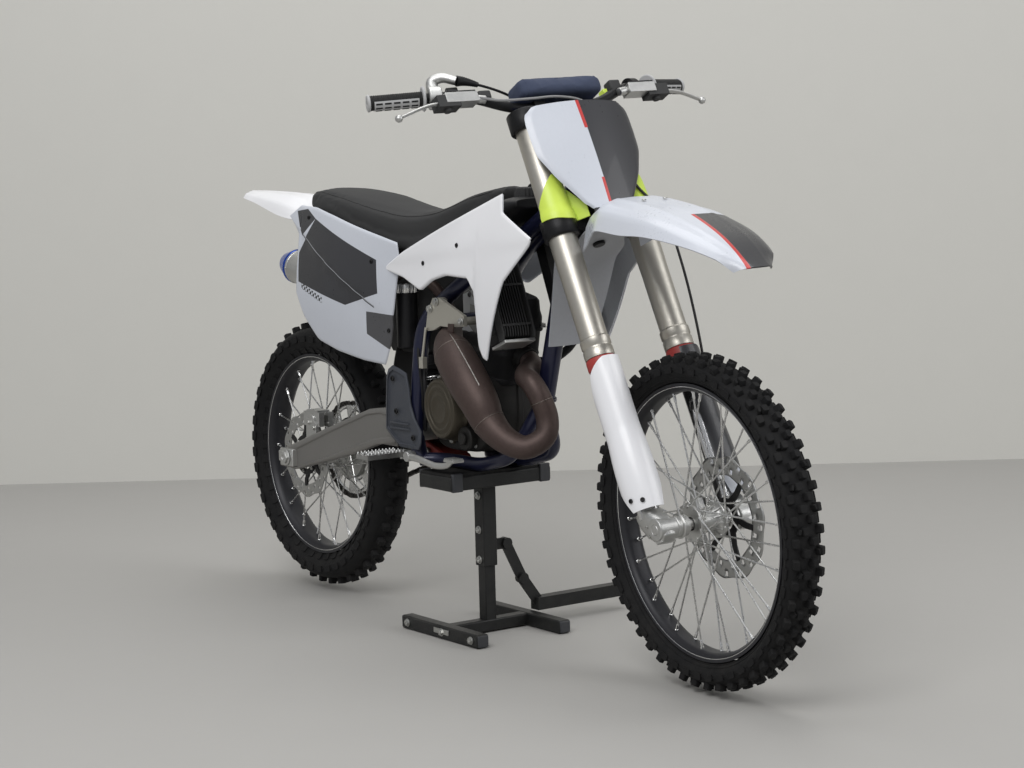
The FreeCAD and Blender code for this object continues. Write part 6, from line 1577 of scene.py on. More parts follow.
    def pad(self) -> None:
        """The padded bar cover: a soft block with bevelled ends, sewn seams and shallow creases."""
        y = np.linspace(-1, 1, 64)
        squeeze = np.clip((1 - np.abs(y)) / 0.16, 0.0, 1.0) ** 0.55
        full = 0.70 + 0.30 * squeeze
        cx, cz = boxy(np.linspace(0, TURN, 49)[:-1], 0.45)
        crease = 1 - 0.018 * np.sin(y * 9)[:, None] * np.abs(cz)[None] - 0.01 * np.sin(y * 23 + 1)[:, None]
        x = 16 + 36 * full[:, None] * cx[None] * crease
        z = 999 + 21 * full[:, None] * cz[None] * crease
        yy = 103 * y[:, None] + 0 * x
        cover = lofted(np.stack([x, yy, z], -1))
        made = node_piece("bar_pad", cover, FORK, PAD_COVER, "pad_cover", sharp=70)
        stuffed(made, 0.004, 0.005, 0.12)
        ends = []
        for side in (1, -1):
            ring = np.stack([16 + 43 * cx, np.full(48, side * 92.0), 999 + 28 * cz], -1)
            ends.append(stitched(made, FORK, np.vstack([ring, ring[:1]]), 1.2))
        flap = np.column_stack([np.full(40, 30.0), np.linspace(-88, 88, 40), np.full(40, 1026.0)])
        ends.append(stitched(made, FORK, flap, 1.0))
        piece("pad_seams", joined(ends), FORK, PAD_COVER)

    def build(self) -> None:
        """Makes every piece of the cockpit."""
        self.bar()
        self.grips()
        self.controls()
        self.lines()
        self.pad()


def about_z(angle: float) -> Array:
    """Gives the turn about +Z by an angle in radians."""
    c, s = math.cos(angle), math.sin(angle)
    return np.array([[c, -s, 0], [s, c, 0], [0, 0, 1.0]])


def caliper(centre: Array, half: Array, pistons: Sequence[Sequence[float]], side: int) -> Shape:
    """A brake caliper: a cast body with a bridge over the disc, piston caps and a pad pin.

    Args:
        centre: its middle.
        half: half its length, width and height.
        pistons: piston caps as shares of the half length and height.
        side: which way the caps face along y.

    Returns:
        The caliper.
    """
    c, h = np.asarray(centre, float), np.asarray(half, float)
    body = box(c - h * [1, 1, 0.9], c + h * [0.9, -0.25, 0.8]) + box(c - h * [0.9, -0.25, 0.9], c + h * [1, 1, 0.8])
    bridge = box(c - h * [0.7, 0.9, -0.4], c + h * [0.6, 0.9, 1.0])
    caps = [rod(c + h * [u, 0.9 * side, v], c + h * [u, 1.22 * side, v], h[2] * 0.52, 28, 1.5)
            for u, v in pistons]
    pin = rod(c + h * [-1.05, 0.2, -0.5], c + h * [1.1, 0.2, -0.5], h[2] * 0.16, 12)
    return joined([body, bridge, pin] + caps)


@dataclass(frozen=True)
class Brakes:
    """Both calipers with their brackets."""

    def build(self) -> None:
        """Makes the front caliper on the fork and the rear one on the swingarm."""
        front = caliper([-39.3, 56, 44], [46, 17, 24], [(-0.45, 0), (0.35, 0)], 1)
        bracket = plate([(-30, 20), (30, 20), (30, 30), (10, 44), (-30, 44)], 68, 76.5)
        node_piece("front_caliper", front + bracket, FORK, CAST, "cast_silver", bevel=2.5)
        piece("front_caliper_bolts", hexes([[-24, 76.5, 27], [22, 76.5, 25]], (0, 1, 0), 9, 5), FORK, ZINC)
        rear = caliper([66, -62, 452], [40, 20, 21], [(0.1, 0.0)], -1)
        arm = plate([(42, 380), (64, 372), (92, 384), (92, 440), (76, 452), (44, 452)], -86, -77.5)
        node_piece("rear_caliper", rear + arm, BIKE, CAST, "cast_silver", bevel=2.5)
        piece("rear_caliper_bolts", hexes([[58, -86, 442], [82, -86, 430]], (0, -1, 0), 9, 5), BIKE, ZINC)


@dataclass(frozen=True)
class Frame:
    """Blue frame tubes, gussets, guards and head stays."""

    def build(self) -> None:
        """Makes the frame: fat round tubes with rounded bends, weld rings and bolted plates."""
        upper = np.array([(1081.9, 12, 1021.8), (860, 25, 892), (720, 66, 810), (590, 84, 720), (575, 102, 462),
                          (593, 102, 405)])
        spars = tube(rounded_path(upper, 60, 9), 18, 28).both()
        tie = rod((590, -84, 720), (590, 84, 720), 14) + rod((575, -102, 462), (575, 102, 462), 13)
        node_piece("frame_spars", spars + tie, BIKE, BLUE_FRAME, "frame_blue")
        rail = np.array([(945, 0, 560), (900, 60, 432), (780, 60, 402.75), (640, 60, 402.75), (593, 102, 402.75)])
        down = rod((1086, 0, 1034), (945, 0, 556), 21, 32)
        node_piece("frame_cradle", down + tube(rounded_path(rail, 40, 9), 15.5, 24).both(), BIKE, BLUE_FRAME,
                   "frame_blue")
        joints = (([948, 3, 563], [0.28, 0, 0.96], 21), ([592, 84, 712], [0.06, -0.05, 1], 18))
        bands = joined(pipe_ring(p - w * 3, p + w * 3, r + 1.6, r - 1, 28)
                       for p, w, r in ((np.array(at, float), np.array(way), size) for at, way, size in joints))
        piece("frame_welds", bands, BIKE, BLUE_FRAME)
        q = np.array([(0, .20), (.02, .52), (.06, .86), (.12, .95), (.24, 1), (.42, .97), (.62, .92), (.69, .74),
                      (.72, .55), (.82, .38), (1, .22), (.98, .08), (.92, 0), (.66, 0), (.40, 0), (.18, .10)])
        outline = np.column_stack([478 + 150 * q[:, 0], 428 + 190 * q[:, 1]])
        middle = outline.mean(axis=0)
        inner = middle + (outline - middle) * 0.9
        rings = [np.insert(outline, 1, 118.6, axis=1), np.insert(outline, 1, 122.4, axis=1),
                 np.insert(inner, 1, 124.6, axis=1), np.insert(inner, 1, 120.0, axis=1)]
        guard = lofted(rings)
        lines = box([500, 124, 470], [582, 126, 474]) + box([500, 124, 482], [580, 126, 486])
        node_piece("frame_guards", (guard + lines).both(), BIKE, GREY_PLASTIC, "guard_grey", bevel=0.8)
        spots = [[478 + 150 * u, s * 124.4, 428 + 190 * v] for u, v in ((.26, .84), (.34, .44), (.8, .14))
                 for s in (1, -1)]
        piece("guard_screws", studs(spots, [[0, p[1], 0] for p in spots], 7, 3), BIKE, BLACK_METAL)
        dressed("head_stay", IVORY)
        stay = rod((646, -112, 712), (634, -116, 642), 3.2, 12) + box([626, -121, 618], [642, -109, 644])
        piece("brake_arm_rod", stay, BIKE, IVORY, bevel=1)
        heads = [[640 + 155 * u, -109, 704 + 78 * v] for u, v in ((.13, .66), (.30, .88), (.94, .36))]
        piece("head_stay_bolts", hexes(heads, (0, -1, 0), 13, 7), BIKE, ZINC)


@dataclass(frozen=True)
class Engine:
    """Crankcase, covers, tilted cylinder with its head, boot and hoses; millimetres."""

    crank: tuple[float, float] = (780.0, 505.0)
    clutch_middle: tuple[float, float] = (697.0, 527.0)
    clutch_radius: float = 66.0
    cylinder_foot: tuple[float, float] = (800.0, 600.0)
    cylinder_half: float = 60.0
    tilt_deg: float = 12.0

    def clutch_width(self, angles: Array) -> Array:
        """Gives the clutch cover's radius: a circle with two soft bulges, up behind and down ahead."""
        behind, ahead = np.maximum(np.cos(angles - 2.2), 0), np.maximum(np.cos(angles + 0.9), 0)
        return self.clutch_radius + 11 * behind + 6 * ahead

    def cases(self) -> None:
        """The crankcase halves: a lofted rounded body with a joint flange, ribs and drain bolts."""
        q = np.array([(618, 478), (624, 560), (668, 596), (742, 602), (838, 602), (850, 560), (846, 486), (806, 440),
                      (742, 431), (668, 432), (630, 448)], float)
        loop = smooth(np.vstack([q, q[:1]]), 67)[:-1]
        half = [(82, .86), (79, .95), (70, .985), (8, 1.0), (7, 1.035)]
        case = stepped(loop, half + [(-y, k) for y, k in reversed(half)])
        webs = joined(plate([(x, z), (x + 5, z), (x + 5 + dx, z + dz), (x + dx, z + dz)], -84.5, -76)
                      for x, z, dx, dz in ((636, 470, 6, 60), (760, 446, 16, 40), (800, 470, 18, 36)))
        node_piece("engine_case", case + webs, BIKE, CASE, "case_grey", bevel=1.5)
        ignition = turned([(66, 82), (66, 96), (61, 103), (54, 106), (30, 106), (27, 104), (8, 104)], 56)
        x, z = self.crank
        piece("ignition_cover", ignition.moved([x, 0, z], ON_EDGE), BIKE, BRONZE)
        spots = on_side(60, 101.5, around(5), self.crank)
        low = [[x, -82, z] for x, z in ((640, 462), (668, 588), (812, 560), (838, 520), (790, 450))]
        piece("case_bolts", hexes(np.vstack([spots, low]), [[0, 1, 0]] * 5 + [[0, -1, 0]] * 5, 8, 5), BIKE, ZINC)

    def clutch(self) -> None:
        """Clutch cover: a shield-shaped dome with concentric raised ribs and a blank middle."""
        t, (mx, mz) = around(72), self.clutch_middle
        wide = self.clutch_width(t)
        levels = [(1.06, 78), (1.06, 86), (1.03, 88), (0.98, 97), (0.95, 110), (0.90, 116), (0.84, 117.5),
                  (0.80, 115.5), (0.74, 116), (0.70, 118.5), (0.64, 118.5), (0.60, 116.2), (0.50, 116.6),
                  (0.46, 118.6), (0.40, 118.6), (0.36, 116.8), (0.12, 117)]
        cover = lofted([np.stack([mx + wide * k * np.cos(t) * 0.94, np.full(72, -y),
                                  mz + wide * k * np.sin(t)], -1)
                        for k, y in levels])
        node_piece("clutch_cover", cover, BIKE, BRONZE, "cover_bronze", bevel=0.8)
        a = around(7) + 0.3
        r = self.clutch_width(a)
        spots = np.stack([mx + r * np.cos(a) * 0.97, np.full(7, -87.5), mz + r * np.sin(a) * 1.02], -1)
        pads = joined(rod(p + [0, 8, 0], p, 8, 16) for p in spots)
        piece("clutch_ears", pads, BIKE, BRONZE)
        piece("clutch_bolts", hexes(spots, (0, -1, 0), 8, 4.5), BIKE, ZINC)
        fill = rod((640, -98, 575), (640, -84, 575), 13, 6)
        pump = rod((770, -100, 466), (770, -80, 466), 28, 32, 3) + rod((770, -108, 466), (770, -99, 466), 14)
        piece("pump_cover", fill + pump, BIKE, CASE, bevel=1)

    def cylinder(self) -> None:
        """Cylinder and head: stacked rounded blocks tilted forward, with a joint line, ribs and ports."""
        c, s = boxy(around(48), 0.5)
        levels = [(0, 1.0), (10, 1.0), (11, .94), (60, .93), (66, .96), (72, .93), (118, .93), (119, 1.0),
                  (127, 1.0), (128, .96), (150, .94), (164, .86), (186, .80), (192, .72)]
        a, half, (fx, fz) = math.radians(self.tilt_deg), self.cylinder_half, self.cylinder_foot

        def tilted(x: float | Array, y: float | Array, z: float) -> Array:
            """Points of the upright cylinder, leaned forward about its foot."""
            ahead, up = x * math.cos(a) + z * math.sin(a), z * math.cos(a) - x * math.sin(a)
            return np.stack([fx + ahead, y, fz + up], -1)

        body = lofted([tilted(half * k * c, half * k * s, z) for z, k in levels])
        plug = rod((840, 0, 784), (846, 0, 812), 11, 20) + rod((846, 0, 808), (838, 0, 838), 9, 16)
        port = rod((858, 0, 650), (888, 0, 641), 29, 32, 2)
        node_piece("engine_cylinder", body, BIKE, BARREL, "case_grey", bevel=1.2)
        piece("plug_cap", plug, BIKE, BLACK_PLASTIC)
        piece("exhaust_flange", port, BIKE, CASE)
        nuts = [tilted(50.0 * i, 50.0 * j, 128) for i in (1, -1) for j in (1, -1)]
        piece("head_nuts", hexes(nuts, (math.sin(a), 0, math.cos(a)), 12, 8), BIKE, ZINC)
        boot = tube(smooth([(560, 0, 672), (640, 0, 672), (720, 0, 668), (790, 0, 664)], 24),
                    24 + 2.2 * np.cos(np.arange(24) * 1.9), 28)
        piece("intake_boot", boot, BIKE, BLACK_PLASTIC)
        hoses = [tube(smooth(p, 30), 9.5, 16) for p in (
            [(868, -40, 768), (900, -56, 774), (930, -70, 748), (946, -84, 716)],
            [(858, 20, 640), (900, 50, 640), (936, 70, 664), (952, 84, 690)])]
        piece("coolant_hoses", joined(hoses), BIKE, HOSE)
        thin = [tube(smooth(p, 30), r, 12) for p, r in (
            ([(560, -60, 640), (610, -96, 600), (616, -98, 540), (600, -92, 470)], 5.0),
            ([(584, -92, 690), (600, -104, 640), (606, -100, 560), (588, -90, 500)], 3.6),
            ([(720, 60, 640), (640, 86, 620), (600, 96, 560), (596, 92, 470)], 4.2))]
        piece("breather_hoses", joined(thin), BIKE, HOSE)

    def build(self) -> None:
        """Makes every piece of the engine."""
        self.cases()
        self.clutch()
        self.cylinder()


@dataclass(frozen=True)
class Exhaust:
    """Expansion chamber, stinger, silencer and cap."""

    axis: tuple[tuple[float, float, float, float], ...] = (
        (885.7, 0, 641.8, 25), (892.9, 0, 638.3, 24.5), (905, -3.4, 633, 24), (917, -13, 628.5, 24),
        (932, -38, 622, 24), (955, -58, 614, 24), (982, -62, 604, 24.5), (1003, -54, 570, 25),
        (1012, -44, 525, 25), (1014, -54, 488, 25), (992, -88, 466, 26), (950, -112, 480, 30),
        (905, -124, 516, 37), (880, -131, 560, 43), (832, -132, 610, 47), (773, -122, 655, 45),
        (722, -100, 679, 34), (680, -64, 700, 25), (640, -40, 740, 17), (600, -44, 790, 13), (560, -62, 822, 13),
        (516, -78, 834, 13), (470, -103, 808, 13), (444, -110, 781, 13), (414.3, -110, 783.7, 14))
    can_front: tuple[float, float, float] = (374.0, -110.0, 790.0)
    can_back: tuple[float, float, float] = (78.0, -110.0, 836.0)

    def build(self) -> None:
        """Makes the chamber as a tube of changing width with weld beads round and along it."""
        line = smooth(self.axis, 193)
        node_piece("exhaust_chamber", tube(line[:, :3], line[:, 3], 44), BIKE, PIPE, "pipe_steel", sharp=60)
        way = unit(np.gradient(line[:, :3], axis=0))
        beads = []
        for share in (0.30, 0.50, 0.63, 0.745):
            i = int(share * (len(line) - 1))
            ring = on_post(line[i, 3], 0, np.arange(49) * TURN / 48)
            beads.append(tube(ring @ aims(way[i])[0].T + line[i, :3], 1.0, 8, caps=False))
        side = unit(np.cross(way, [0, 1, 0]))
        piece("chamber_welds", joined(beads), BIKE, WELD)
        seam = (line[:, :3] + (side * -0.95 + np.array([0, -0.3, 0])) * line[:, 3:4])[106:126]
        piece("chamber_seam", tube(seam, 1.2, 8), BIKE, BRIGHT_WELD)
        tab = plate([(742, 706), (764, 706), (766, 726), (744, 726)], -118, -114)
        piece("chamber_tab", tab, BIKE, PIPE, bevel=1)
        a, b = np.array(self.can_front), np.array(self.can_back)
        length, turn = float(np.linalg.norm(b - a)), aims(b - a)[0]
        can = turned([(14, 0), (15.5, 1), (38, 40), (41, 44), (42.5, 46), (42.5, 52), (41.6, 53), (41.6, length - 8),
                      (42.5, length - 7), (42.5, length - 1), (41, length)], 56)
        node_piece("silencer", can.moved(a, turn), BIKE, CAST, "cast_silver")
        cap = turned([(41.6, 0), (43, 2), (43, 8), (40, 14), (28, 48), (26, 52), (15, 52), (13.5, 44)], 56)
        node_piece("silencer_cap", cap.moved(b, turn), BIKE, BLUE_CAP, "cap_blue")
        rivets = on_post(42, length - 4, around(6)) @ turn.T + a
        piece("silencer_rivets", studs(rivets, on_post(1, 0, around(6)) @ turn.T, 3, 1.5), BIKE, ZINC)


Span = tuple[float, float]
Lift = Callable[[Array, Array], Array]


def bent_panel(outline: Array, x: Span, z: Span, lift: Lift, wall: float, edge: float = 5.0) -> Shape:
    """A curved panel cut to an outline: strips run between the outline's lower and upper line.

    The outline is a closed loop of (x share, z share). At each station along x the loop's lowest and
    highest points are found, and rows between them are lifted to the panel's side distance, which
    falls off near the rim so that the rim is rounded inward.

    Args:
        outline: the closed loop in shares.
        x: start and length along the bike.
        z: start and height.
        lift: gives the side distance from x and z shares.
        wall: thickness.
        edge: how far in from the rim the rounding starts.

    Returns:
        The panel on the left side.
    """
    q = np.asarray(outline, float)
    loop = np.vstack([q, q[:1]])
    stations = np.clip(0.5 - 0.5 * np.cos(np.linspace(0, 1, 90) * math.pi), 0.004, 0.996)
    u0, u1 = q[:, 0].min(), q[:, 0].max()
    stations = u0 + (u1 - u0) * stations
    a, b = loop[:-1], loop[1:]
    with np.errstate(divide="ignore", invalid="ignore"):
        t = (stations[:, None] - a[None, :, 0]) / (b - a)[None, :, 0]
    hit = (t >= 0) & (t <= 1)
    v = a[None, :, 1] + t * (b - a)[None, :, 1]
    low = np.where(hit, v, 9.0).min(axis=1)
    high = np.where(hit, v, -9.0).max(axis=1)
    rows = 0.5 - 0.5 * np.cos(np.linspace(0, 1, 30) * math.pi)
    zs = low[:, None] + (high - low)[:, None] * rows[None]
    us = np.broadcast_to(stations[:, None], zs.shape)
    side = lift(us, zs)
    rim = np.minimum((zs - low[:, None]), (high[:, None] - zs)) * z[1]
    rim = np.minimum(rim, np.minimum(us - u0, u1 - us) * x[1])
    side = side - 3.5 * np.clip(1 - rim / edge, 0, 1) ** 2
    points = np.stack([x[0] + x[1] * us, side, z[0] + z[1] * zs], -1)
    return shell(points, wall)


def panel_screws(name: str, lift: Lift, x: Span, z: Span, out: float,
                 places: Sequence[tuple[float, float]]) -> None:
    """Sets round screws on both panels, at the side distance that the lift gives there.

    Args:
        name: the piece's name.
        lift: gives the side distance from x and z shares.
        x: the panel's start and length.
        z: its start and height.
        out: how far the panel stands out past its lift.
        places: the screws' x and z.
    """
    u, v = ((np.asarray(places, float) - [x[0], z[0]]) / [x[1], z[1]]).T[:, :, None]
    side = lift(u, v)[:, 0] + out
    spots = [[px, s * y, pz] for (px, pz), y in zip(places, side) for s in (1, -1)]
    piece(name, studs(spots, [[0, p[1], 0] for p in spots], 5.5, 2.2), BIKE, BLACK_METAL)


def table_lift(rows: Sequence[float], columns: Sequence[float], shares: Sequence[Sequence[float]],
               scale: float) -> Lift:
    """A side distance that blends smoothly between a few rows and columns of shares.

    Args:
        rows: z shares of the table's rows.
        columns: x shares of its columns.
        shares: the table.
        scale: the side distance of a share of one.

    Returns:
        The lift: cubic along a row, and the one polynomial through all rows across them.
    """
    table = np.asarray(shares, float)

    def lift(u: Array, v: Array) -> Array:
        """Blends the table's cubic columns at each point.

        Args:
            u: x shares.
            v: z shares.

        Returns:
            The side distances.
        """
        fine = np.stack([smooth(row[:, None], 60)[:, 0] for row in table])
        grid_u = np.linspace(columns[0], columns[-1], 60)
        values = np.stack([np.interp(u, grid_u, row) for row in fine])
        total = np.zeros_like(u)
        for i in range(len(rows)):
            weight = np.ones_like(v)
            for k in range(len(rows)):
                if k != i:
                    weight = weight * (v - rows[k]) / (rows[i] - rows[k])
            total = total + weight * values[i]
        return total * scale

    return lift


@dataclass(frozen=True)
class Cooling:
    """Radiators with fins, caps, louvres and the shrouds over them."""

    x: float = 938.0
    z: float = 684.0
    high: float = 242.0
    lean_deg: float = 22.0
    span_x: Span = (527.0, 613.0)
    span_z: Span = (658.0, 360.0)
    stand_out: float = 3.4

    def radiators(self) -> None:
        """Two cores of thin fins between end tanks, with slatted guards in front."""
        a = math.radians(self.lean_deg)
        turn = np.array([[math.cos(a), 0, -math.sin(a)], [0, 1, 0], [math.sin(a), 0, math.cos(a)]])
        core = box([3, 58, 22], [31, 128, self.high - 26])
        fins = rowed(box([1.6, 57, 0], [32.4, 129, 1.0]), np.outer(np.linspace(26, self.high - 30, 48), [0, 0, 1]))
        tanks = box([0, 50, 0], [34, 137, 22]) + box([0, 50, self.high - 26], [34, 137, self.high])
        bars = box([0, 49, 20], [34, 57, self.high - 24]) + box([0, 129, 20], [34, 137.5, self.high - 24])
        body = (core + fins).moved([self.x, 0, self.z], turn)
        node_piece("radiators", body.both(), BIKE, BLACK_METAL, "black_metal")
        ends = (tanks + bars).moved([self.x, 0, self.z], turn)
        piece("radiator_tanks", ends.both(), BIKE, BLACK_METAL, bevel=3)
        slat = plate([(34, 6), (50, 8), (57, 22), (57, self.high - 30), (50, self.high - 14), (34, self.high - 10)],
                     -1.1, 1.1)
        slats = repeated(slat, np.repeat(about_z(0.30)[None], 11, 0),
                         np.column_stack([np.full(11, 1.0), np.linspace(50, 118, 11), np.zeros(11)]))
        bars = joined(box([50, 54, z], [55, 134, z + 5]) for z in (30, self.high / 2, self.high - 40))
        slats = slats + bars
        sides = plate([(34, 0), (50, 0), (56, 14), (56, self.high - 18), (34, self.high - 6)], 132, 136)
        cage = (slats + sides + sides.moved([0, -83, 0])).moved([self.x, 0, self.z], turn)
        piece("radiator_louvres", cage.both(), BIKE, BLACK_PLASTIC, bevel=0.6)
        foot = box([-1, 52, -7], [52, 134, 0.5]).moved([self.x, 0, self.z], turn)
        piece("radiator_feet", foot.both(), BIKE, CAST, bevel=1.5)
        neck = turned([(17, 0), (17, 10), (21, 11), (21, 19), (18, 22), (6, 22)], 24)
        at = turn @ np.array([17, -92, self.high - 4.0]) + [self.x, 0, self.z]
        piece("radiator_cap", neck.moved(at, turn), BIKE, BLACK_METAL)

    def shrouds(self) -> None:
        """Side shrouds: bent panels with a raised crease, white outside."""
        q = [(-.05, .515), (.119, .636), (.40, .80), (.72, .985), (.75, 1), (.78, .889), (1, .744), (.985, .70),
             (.832, .48), (.76, .22), (.70, 0), (.68, .01), (.655, .10), (.65, .40), (.60, .49), (.44, .50),
             (.346, .466), (.26, .395), (.12, .47)]
        table = ((.82, .86, .90, .92), (.74, .88, .98, 1.06), (.56, .60, .64, .80))
        lift = table_lift((-.1, .5, 1.1), (-.1, .3, .7, 1.1), table, 172)

        def creased(u: Array, v: Array) -> Array:
            """The panel's lift with a soft fold from the tail to the upper front."""
            d = (v - 0.60) - 0.16 * (u - 0.3)
            return lift(u, v) + 1.6 * np.tanh(d * 30) - 1.2 * np.exp(-((u - 0.66) / 0.02) ** 2) * (v < 0.55)

        left = bent_panel(q, self.span_x, self.span_z, creased, -3.2).moved([0, self.stand_out, 0])
        node_piece("shrouds", left.both(), BIKE, WHITE_PLAIN, "white_plastic", sharp=55)
        inner = bent_panel(q, (531, 605), (661, 354), creased, 1.0).moved([0, -0.4, 0])
        piece("shroud_linings", inner.both(), BIKE, INSIDE_GREY, sharp=55)
        panel_screws("shroud_screws", creased, self.span_x, self.span_z, self.stand_out,
                     ((910, 800), (845, 905), (700, 862)))

    def build(self) -> None:
        """Makes every piece of the cooling."""
        self.radiators()
        self.shrouds()


@dataclass(frozen=True)
class Bodywork:
    """Tank, seat, airbox, side panels and rear fender; millimetres."""

    tank_back: float = 690.0
    tank_long: float = 265.0
    tank_half: float = 90.0
    tank_low: float = 850.0
    tank_tall: float = 155.0
    seat_back: float = 64.0
    seat_long: float = 795.0
    seat_half: float = 105.0
    seat_top: float = 1032.0
    seat_deep: float = 150.0
    span_x: Span = (100.0, 460.0)
    span_z: Span = (618.0, 372.0)
    tail_front: float = 300.0
    tail_long: float = 642.0
    tail_half: float = 100.0
    tail_top: float = 1018.0
    tail_drop: float = 80.0

    def tank(self) -> None:
        """A black tank that fills the space between the shrouds, with a fluted cap and breather."""
        rows = np.array([(0, 0, .30, .66), (.26, .19, .48, .96), (.60, .50, .74, 1), (.80, .64, 1, 1),
                         (1, .86, 1, .80)])
        a, b, t, w = smooth(rows, 40).T
        cy, cz = boxy(np.linspace(0, TURN, 45)[:-1], 0.6)
        mid, half = self.tank_low + self.tank_tall * (b + t) / 2, self.tank_tall * (t - b) / 2
        points = np.stack([self.tank_back + self.tank_long * a[:, None] + 0 * cy,
                           self.tank_half * w[:, None] * cy, mid[:, None] + half[:, None] * cz], -1)
        node_piece("fuel_tank", lofted(points), BIKE, TANK_PLASTIC, "black_plastic", bevel=2)
        levels = [(0.94, 981), (1, 984), (1, 1018), (0.93, 1026), (0.62, 1028.5), (0.58, 1024), (0.1, 1024)]
        piece("tank_cap", fluted((902, 0), 31, 1.2, 18, levels), BIKE, BLACK_PLASTIC)
        vent = tube(smooth([(902, 0, 1024), (906, 6, 1032), (930, 10, 1026), (980, 8, 996)], 24), 3.6, 10)
        piece("tank_vent", vent, BIKE, HOSE)

    def seat(self) -> None:
        """The long seat: a padded, ribbed cover with a hump, soft edges and sewn joints."""
        rows = np.array([(0, .10, .55, .30), (.07, .03, .80, .38), (.26, .13, 1, .58), (.43, .28, 1, .84),
                         (.58, .38, .95, .98), (.72, .33, .84, .98), (.86, .13, .66, .66), (1, 0, .46, .36)])
        a, t, w, b = smooth(rows, 120).T
        half = np.array([(0, 0), (.45, 0), (.92, .01), (1, .09), (1, .36), (.985, .62), (.94, .83), (.82, .93),
                         (.55, .97), (.25, .995), (0, 1)])
        line = np.vstack([half, (half * [-1, 1])[-2:0:-1]])
        y, s = line.T
        base, top = self.seat_top - self.seat_deep * b, self.seat_top - self.seat_deep * t
        wave = 0.5 * np.sin(a[:, None] * 60) * (np.abs(y)[None] > 0.8)
        points = np.stack([self.seat_back + self.seat_long * a[:, None] + 0 * y,
                           self.seat_half * w[:, None] * y[None] + np.sign(y) * wave,
                           base[:, None] + (top - base - 3)[:, None] * s[None]], -1)
        made = node_piece("seat", lofted(points), BIKE, SEAT_COVER, "seat_cover", sharp=80)
        stuffed(made, 0.006, 0.004, 0.3)
        rims = [stitched(made, BIKE, points[4:-4, 7] * [1, flip, 1] + [0, 3 * flip, 4], 1.3)
                for flip in (1, -1)]
        bands = [stitched(made, BIKE, points[int(at * 119), 5:-4] + [0, 0, 4], 1.1) for at in (0.30, 0.70)]
        piece("seat_seams", joined(rims + bands), BIKE, SEAT_COVER)

    def airbox(self) -> None:
        """The black airbox and subframe under the seat."""
        dressed("airbox", BLACK_PLASTIC)
        rows = np.array([(392, 478, 40), (396, 530, 54), (410, 600, 60), (432, 664, 60)])
        x, z, half = smooth(rows, 30).T
        v = np.linspace(-1, 1, 21)
        points = np.stack([x[:, None] + 10 * v[None] ** 2, half[:, None] * v[None], z[:, None] + 0 * v[None]], -1)
        piece("mud_flap", shell(points, 2.5), BIKE, BLACK_PLASTIC, sharp=60)

    def panels(self) -> None:
        """Side panels: a white shell with charcoal fields, a stripe of squares, a fold, and a painted highlight along
        the fold's seam.
        """
        q = [(0, .93), (.10, 1), (.265, .985), (.465, .93), (.66, .868), (.85, .81), (.975, .77), (1, .66),
             (.96, .36), (.92, .14), (.86, 0), (.70, .02), (.50, .07), (.34, .13), (.22, .28), (.155, .42),
             (.145, .60), (.15, .79), (.07, .87)]
        lift = table_lift((-.1, .5, 1.1), (-.1, .5, 1.1), ((.80, .78, .60), (.94, .92, .62), (.66, .64, .54)), 182)

        def folded(u: Array, v: Array) -> Array:
            """The panel's lift, with the part under the diagonal seam set in.

            Args:
                u: x shares.
                v: z shares.

            Returns:
                The side distances.
            """
            x, z = self.span_x[0] + self.span_x[1] * u, self.span_z[0] + self.span_z[1] * v
            seam = z - (918 - 0.566 * (x - 182))
            return lift(u, v) + 1.6 * np.tanh(seam / 2.0)

        panel = bent_panel(q, self.span_x, self.span_z, folded, -2.8).moved([0, 3.0, 0])
        fields = (painted(CHARCOAL, BIKE, [(182, 806), (379, 756), (492, 786), (486, 864), (232, 958), (176, 876)]),
                  painted(CHARCOAL, BIKE, [(138, 976), (186, 981), (232, 958), (182, 916)]),
                  painted((0.075, 0.075, 0.08), BIKE, [(447, 690), (528, 650), (600, 630), (600, 732), (450, 743)]),
                  painted((0.03, 0.03, 0.03), BIKE, [(197, 804), (289, 771), (289, 757), (197, 790)], checker=0.007),
                  # Light grey line along the upper side of the diagonal seam: a painted highlight; the dark line
                  # under it is the seam's joint.
                  painted((0.3, 0.31, 0.33), BIKE, [(186, 922), (478, 757), (478, 754.4), (186, 919.4)]),
                  painted((0.02, 0.02, 0.022), BIKE, [(186, 919.4), (478, 754.4), (478, 751.4), (186, 916.4)]))
        finish = replace(WHITE_PLAIN, name="panel_paint", areas=fields)
        node_piece("side_panels", panel.both(), BIKE, finish, "white_plastic", sharp=55)
        panel_screws("panel_screws", folded, self.span_x, self.span_z, 3.0, ((520, 700), (470, 860), (200, 960)))

    def tail(self) -> None:
        """Rear fender: a ridged blade whose sides drop to the panels."""
        rows = np.array([(0, .92, .92, .50), (.30, .60, .98, .40), (.40, .40, .96, .46), (.55, .12, .88, .60),
                         (.80, .02, .62, .34), (.94, 0, .46, .20), (1, 0, .14, .10)])
        a, c, h, d = smooth(rows, 71).T
        v = np.linspace(-1, 1, 37)
        drop = np.interp(np.abs(v), [0, 0.25, 0.45, 0.86, 1], [0, 0.03, 0.06, 0.42, 1])
        x = self.tail_front - self.tail_long * a[:, None] + 0 * v
        y = self.tail_half * h[:, None] * v
        z = self.tail_top - self.tail_drop * c[:, None] - self.tail_drop * d[:, None] * drop
        z = z + 1.5 * np.exp(-(v / 0.05) ** 2) * (a[:, None] > 0.2)
        node_piece("rear_fender", shell(np.stack([x, y, z], -1), 3.0), BIKE, WHITE_PLAIN, "white_plastic", sharp=60)

    def build(self) -> None:
        """Makes every piece of the bodywork."""
        self.tank()
        self.seat()
        self.airbox()
        self.panels()
        self.tail()


